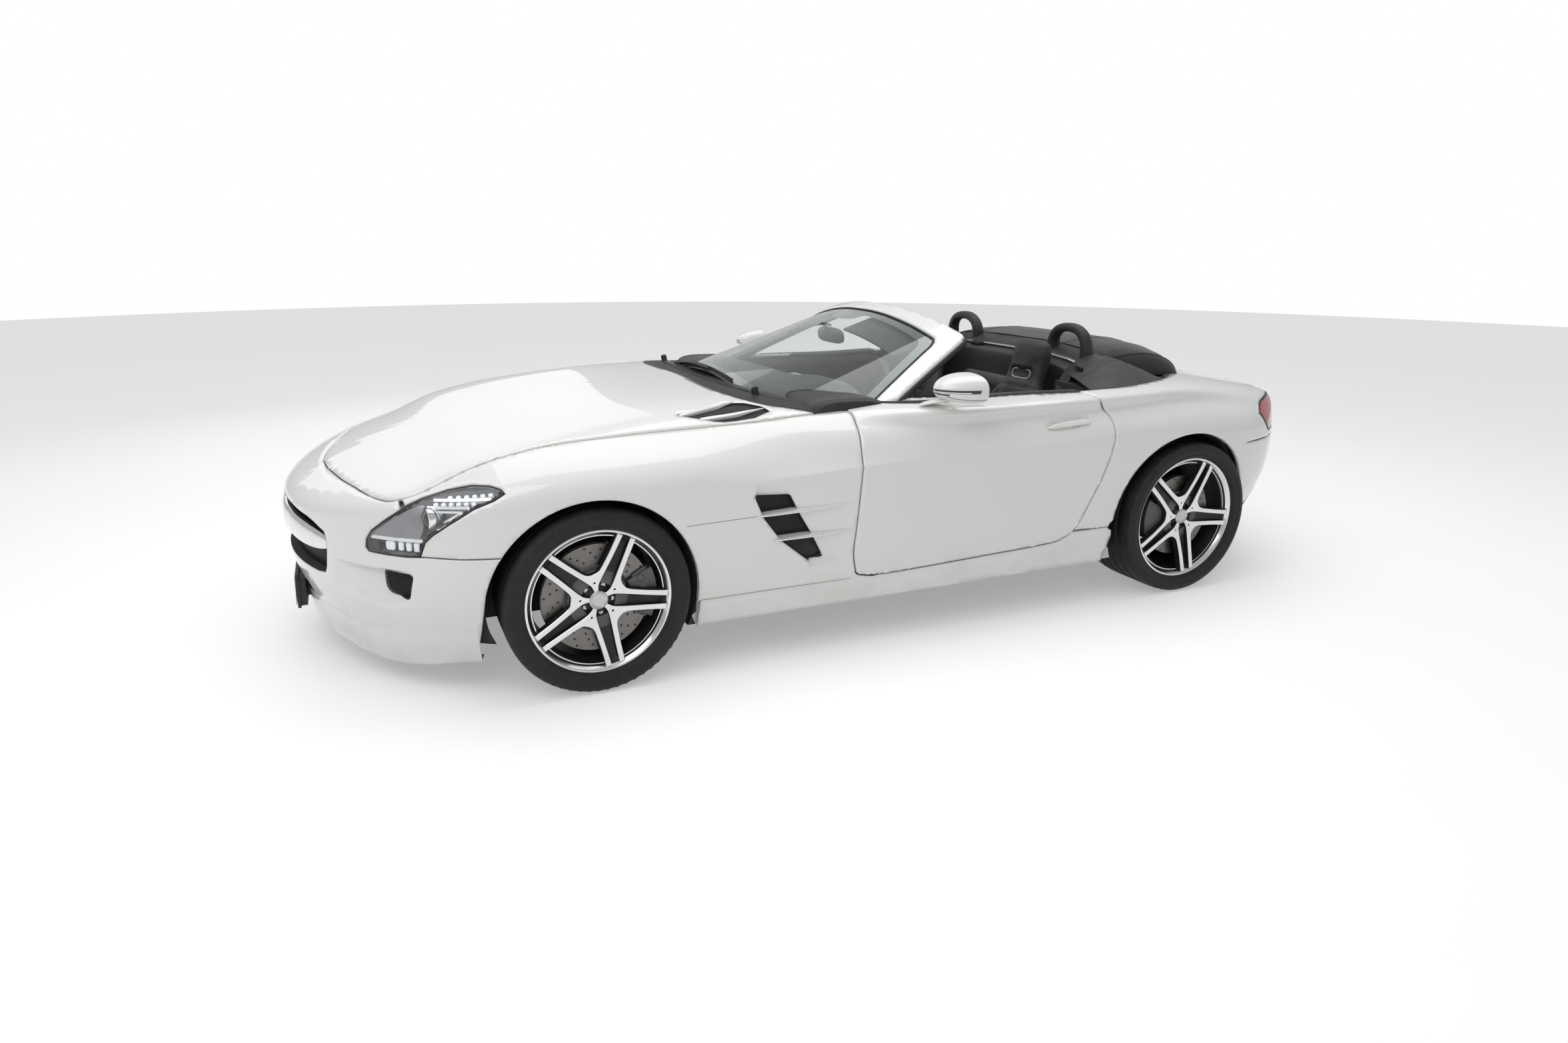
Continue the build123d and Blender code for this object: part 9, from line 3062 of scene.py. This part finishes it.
# ---------------------------------------------------------------- under the bonnet
def engine_bay():
    """Dressed engine: two ribbed covers over the heads, a plenum with its throat and ducts running
    forward to air boxes, a cross brace, reservoirs, battery box, caps and hoses."""
    parts = []
    for s in (1, -1):
        sec = soft_profile([(s * 0.085, 0.640), (s * 0.270, 0.640), (s * 0.285, 0.690),
            (s * 0.235, 0.722), (s * 0.100, 0.722)], 0.014, 5)
        ys = np.r_[-1.135, -1.128, np.linspace(-1.11, -0.67, 23), -0.652, -0.645]
        sc = np.interp(ys, (-1.135, -1.128, -0.652, -0.645), (0.9, 0.98, 0.98, 0.9))
        c = sec.mean(0)
        rib = 1 + 0.035 * (np.arange(len(ys)) % 2) * (sc > 0.97)
        g = np.stack([np.c_[c[0] + (sec[:, 0] - c[0]) * k, np.full(len(sec), y),
            c[1] + (sec[:, 1] - c[1]) * k * r] for y, k, r in zip(ys, sc, rib)])
        m = len(sec)
        parts.append((g.reshape(-1, 3), capped(len(ys), m), 0))
        for y in (-1.09, -0.89, -0.69):
            parts.append(lathe_at([(0.722, 0.011), (0.728, 0.011), (0.731, 0.008), (0.731, 0)],
                (s * 0.168, y, 0), (0, 0, 1), 16, 2))
        duct = smooth_loop(np.array(((s * 0.06, -1.02, 0.705), (s * 0.10, -1.16, 0.70),
            (s * 0.20, -1.30, 0.675), (s * 0.32, -1.44, 0.655))), 8, False)
        t = np.linspace(0, 1, len(duct))
        parts.append(sweep(duct, oval(1, 1, 28, 2.4)[None]
            * (np.c_[0.040 + 0.012 * t, 0.030 + 0.004 * t] * (1 + 0.05 * np.sin(t * 60))[:, None])[:,
            None], up=(0, 0, 1), mark=1))
        v, f = slab_box((min(s * 0.27, s * 0.46), -1.62, 0.56), (max(s * 0.27, s * 0.46), -1.42, 0.69), 0.02)
        parts.append((v, f, 1))
        hose = smooth_loop(np.array(((s * 0.24, -1.13, 0.60), (s * 0.34, -1.24, 0.58),
            (s * 0.38, -1.42, 0.50), (s * 0.30, -1.66, 0.46))), 8, False)
        parts.append(sweep(hose, oval(0.018, 0.018, 16), up=(0, 0, 1), mark=1))
    xx, yy = np.meshgrid(np.linspace(-0.075, 0.075, 24), np.linspace(-1.08, -0.66, 40), indexing="ij")
    dome = 0.742 - 0.030 * (np.abs(xx) / 0.075) ** 3 + 0.004 * (np.sin(yy * 75) > 0) * (
        np.abs(xx) < 0.05) - 0.03 * ease(np.abs(yy + 0.87), 0.18, 0.21)
    parts.append(shell(np.stack([xx, yy, dome], -1)[::-1], 0.03, 3))
    parts.append(lathe_at([(0.70, 0.030), (0.738, 0.030), (0.744, 0.026), (0.744, 0)], (0.0, -0.635, 0),
        (0, 0, 1), 28, 1))
    for a, b in (((-0.50, -0.72, 0.66), (-0.12, -0.62, 0.752)),
        ((0.50, -0.72, 0.66), (0.12, -0.62, 0.752)), ((-0.12, -0.62, 0.752), (0.12, -0.62, 0.752))):
        parts.append(sweep(np.linspace(a, b, 6), oval(0.012, 0.016, 14), up=(0, 0, 1), mark=0))
    # the three reservoirs wear the lit strip finish (index 4) and so glow faintly though they are no lamps:
    # painted light
    for x0, y0, r, h, m in ((0.50, -0.56, 0.055, 0.70, 4), (-0.50, -0.58, 0.045, 0.68, 4),
        (-0.52, -1.62, 0.040, 0.64, 4)):
        parts.append(lathe_at([(0.42, 0), (0.42, r), (h - 0.02, r), (h, r * 0.6), (h + 0.004, r * 0.5),
            (h + 0.03, r * 0.48), (h + 0.034, r * 0.4), (h + 0.034, 0)], (x0, y0, 0), (0, 0, 1), 32, m))
    v, f = slab_box((-0.60, -0.90, 0.42), (-0.42, -0.68, 0.64), 0.015)
    parts.append((v, f, 1))
    v, f = slab_box((-0.595, -0.895, 0.638), (-0.425, -0.685, 0.662), 0.008)
    parts.append((v, f, 5))
    rad = [(-0.46, -2.02, 0.24), (0.46, -1.97, 0.62)]
    v, f = slab_box(*rad, 0.012)
    parts.append((v, f, 1))
    for k in range(22):
        z = 0.26 + k * 0.016
        parts.append(sweep(np.array(((-0.44, -1.968, z), (0, -1.968, z), (0.44, -1.968, z))),
            oval(0.003, 0.004, 6), up=(0, 1, 0), mark=2))
    piece("engine_dress", parts, "body", ["silver", "trim", "bright", "cast", "led", "gloss"], slot="engine")


engine_bay()



# ---------------------------------------------------------------- room
FLOOR_GLOW = 0.34      # what the floor gives off where it is looked at
WORLD_LEVEL = 0.50     # light from all round on the car; the background itself is white
LAMPS = (              # name, place, size, power
    ("key", (2.5, -3.5, 4.2), (5, 3), 76),
    ("fill", (-4.5, -1.5, 3.2), (4, 4), 26),
    ("top", (0.0, 0.6, 4.6), (3.2, 6), 96),
)


def room():
    """Pale floor and an even, soft studio: white all round for the camera, plain level light on the car."""
    n = 97
    a = np.linspace(0, 2 * math.pi, n)[:-1]
    rings = [0.0, 1.0, 3.0, 8.0, 20.0]
    verts = [(0, 0, -0.0005)] + [(r * math.cos(t), r * math.sin(t), -0.0005) for r in rings[1:] for t in a]
    faces = [(0, 1 + k, 1 + (k + 1) % (n - 1)) for k in range(n - 1)]
    for j in range(len(rings) - 2):
        o = 1 + j * (n - 1)
        faces += [(o + k, o + (n - 1) + k, o + (n - 1) + (k + 1) % (n - 1), o + (k + 1) % (n - 1))
            for k in range(n - 1)]
    mesh = bpy.data.meshes.new("floor")
    mesh.from_pydata(verts, [], faces)
    floor = bpy.data.objects.new("floor", mesh)
    bpy.context.scene.collection.objects.link(floor)
    m = Finish("studio floor", rough=0.55)
    p = m.coords()
    m.put("Base Color", p.noise(0.8, 4, 0.6).mix((0.74, 0.74, 0.74), (0.80, 0.80, 0.80)))
    path = m.mat.node_tree.nodes.new("ShaderNodeLightPath")
    glow = (Sock(m.mat.node_tree, path.outputs["Is Camera Ray"])
        + Sock(m.mat.node_tree, path.outputs["Is Transmission Ray"])
        + Sock(m.mat.node_tree, path.outputs["Is Glossy Ray"])).min(1.0)
    m.put("Emission Color", glow.mix((0, 0, 0), (FLOOR_GLOW,) * 3))
    m.shader.inputs["Emission Strength"].default_value = 1.0
    m.put("Roughness", 0.5 + p.noise(3, 4) * 0.2)
    mesh.materials.append(m.mat)
    world = bpy.data.worlds.new("studio")
    bpy.context.scene.world = world
    world.use_nodes = True
    t = world.node_tree
    t.nodes.clear()
    out = t.nodes.new("ShaderNodeOutputWorld")
    bg = t.nodes.new("ShaderNodeBackground")
    t.links.new(bg.outputs[0], out.inputs[0])
    path = t.nodes.new("ShaderNodeLightPath")
    seen = (Sock(t, path.outputs["Is Camera Ray"]) + Sock(t, path.outputs["Is Transmission Ray"])).min(1.0)
    bg.inputs["Color"].default_value = (1, 1, 1, 1)
    t.links.new((WORLD_LEVEL + seen * (1 - WORLD_LEVEL)).out, bg.inputs["Strength"])
    for name, where, size, power in LAMPS:
        lamp = bpy.data.lights.new(name, "AREA")
        lamp.shape = "RECTANGLE"
        lamp.size, lamp.size_y, lamp.energy = size[0], size[1], power
        o = bpy.data.objects.new(name, lamp)
        d = np.array((0, 0, 0.5)) - np.array(where)
        d /= np.linalg.norm(d)
        o.rotation_euler = Vector(d).to_track_quat("-Z", "Y").to_euler()
        o.location = where
        bpy.context.scene.collection.objects.link(o)


room()
scene = bpy.context.scene
scene.view_settings.view_transform = "Standard"
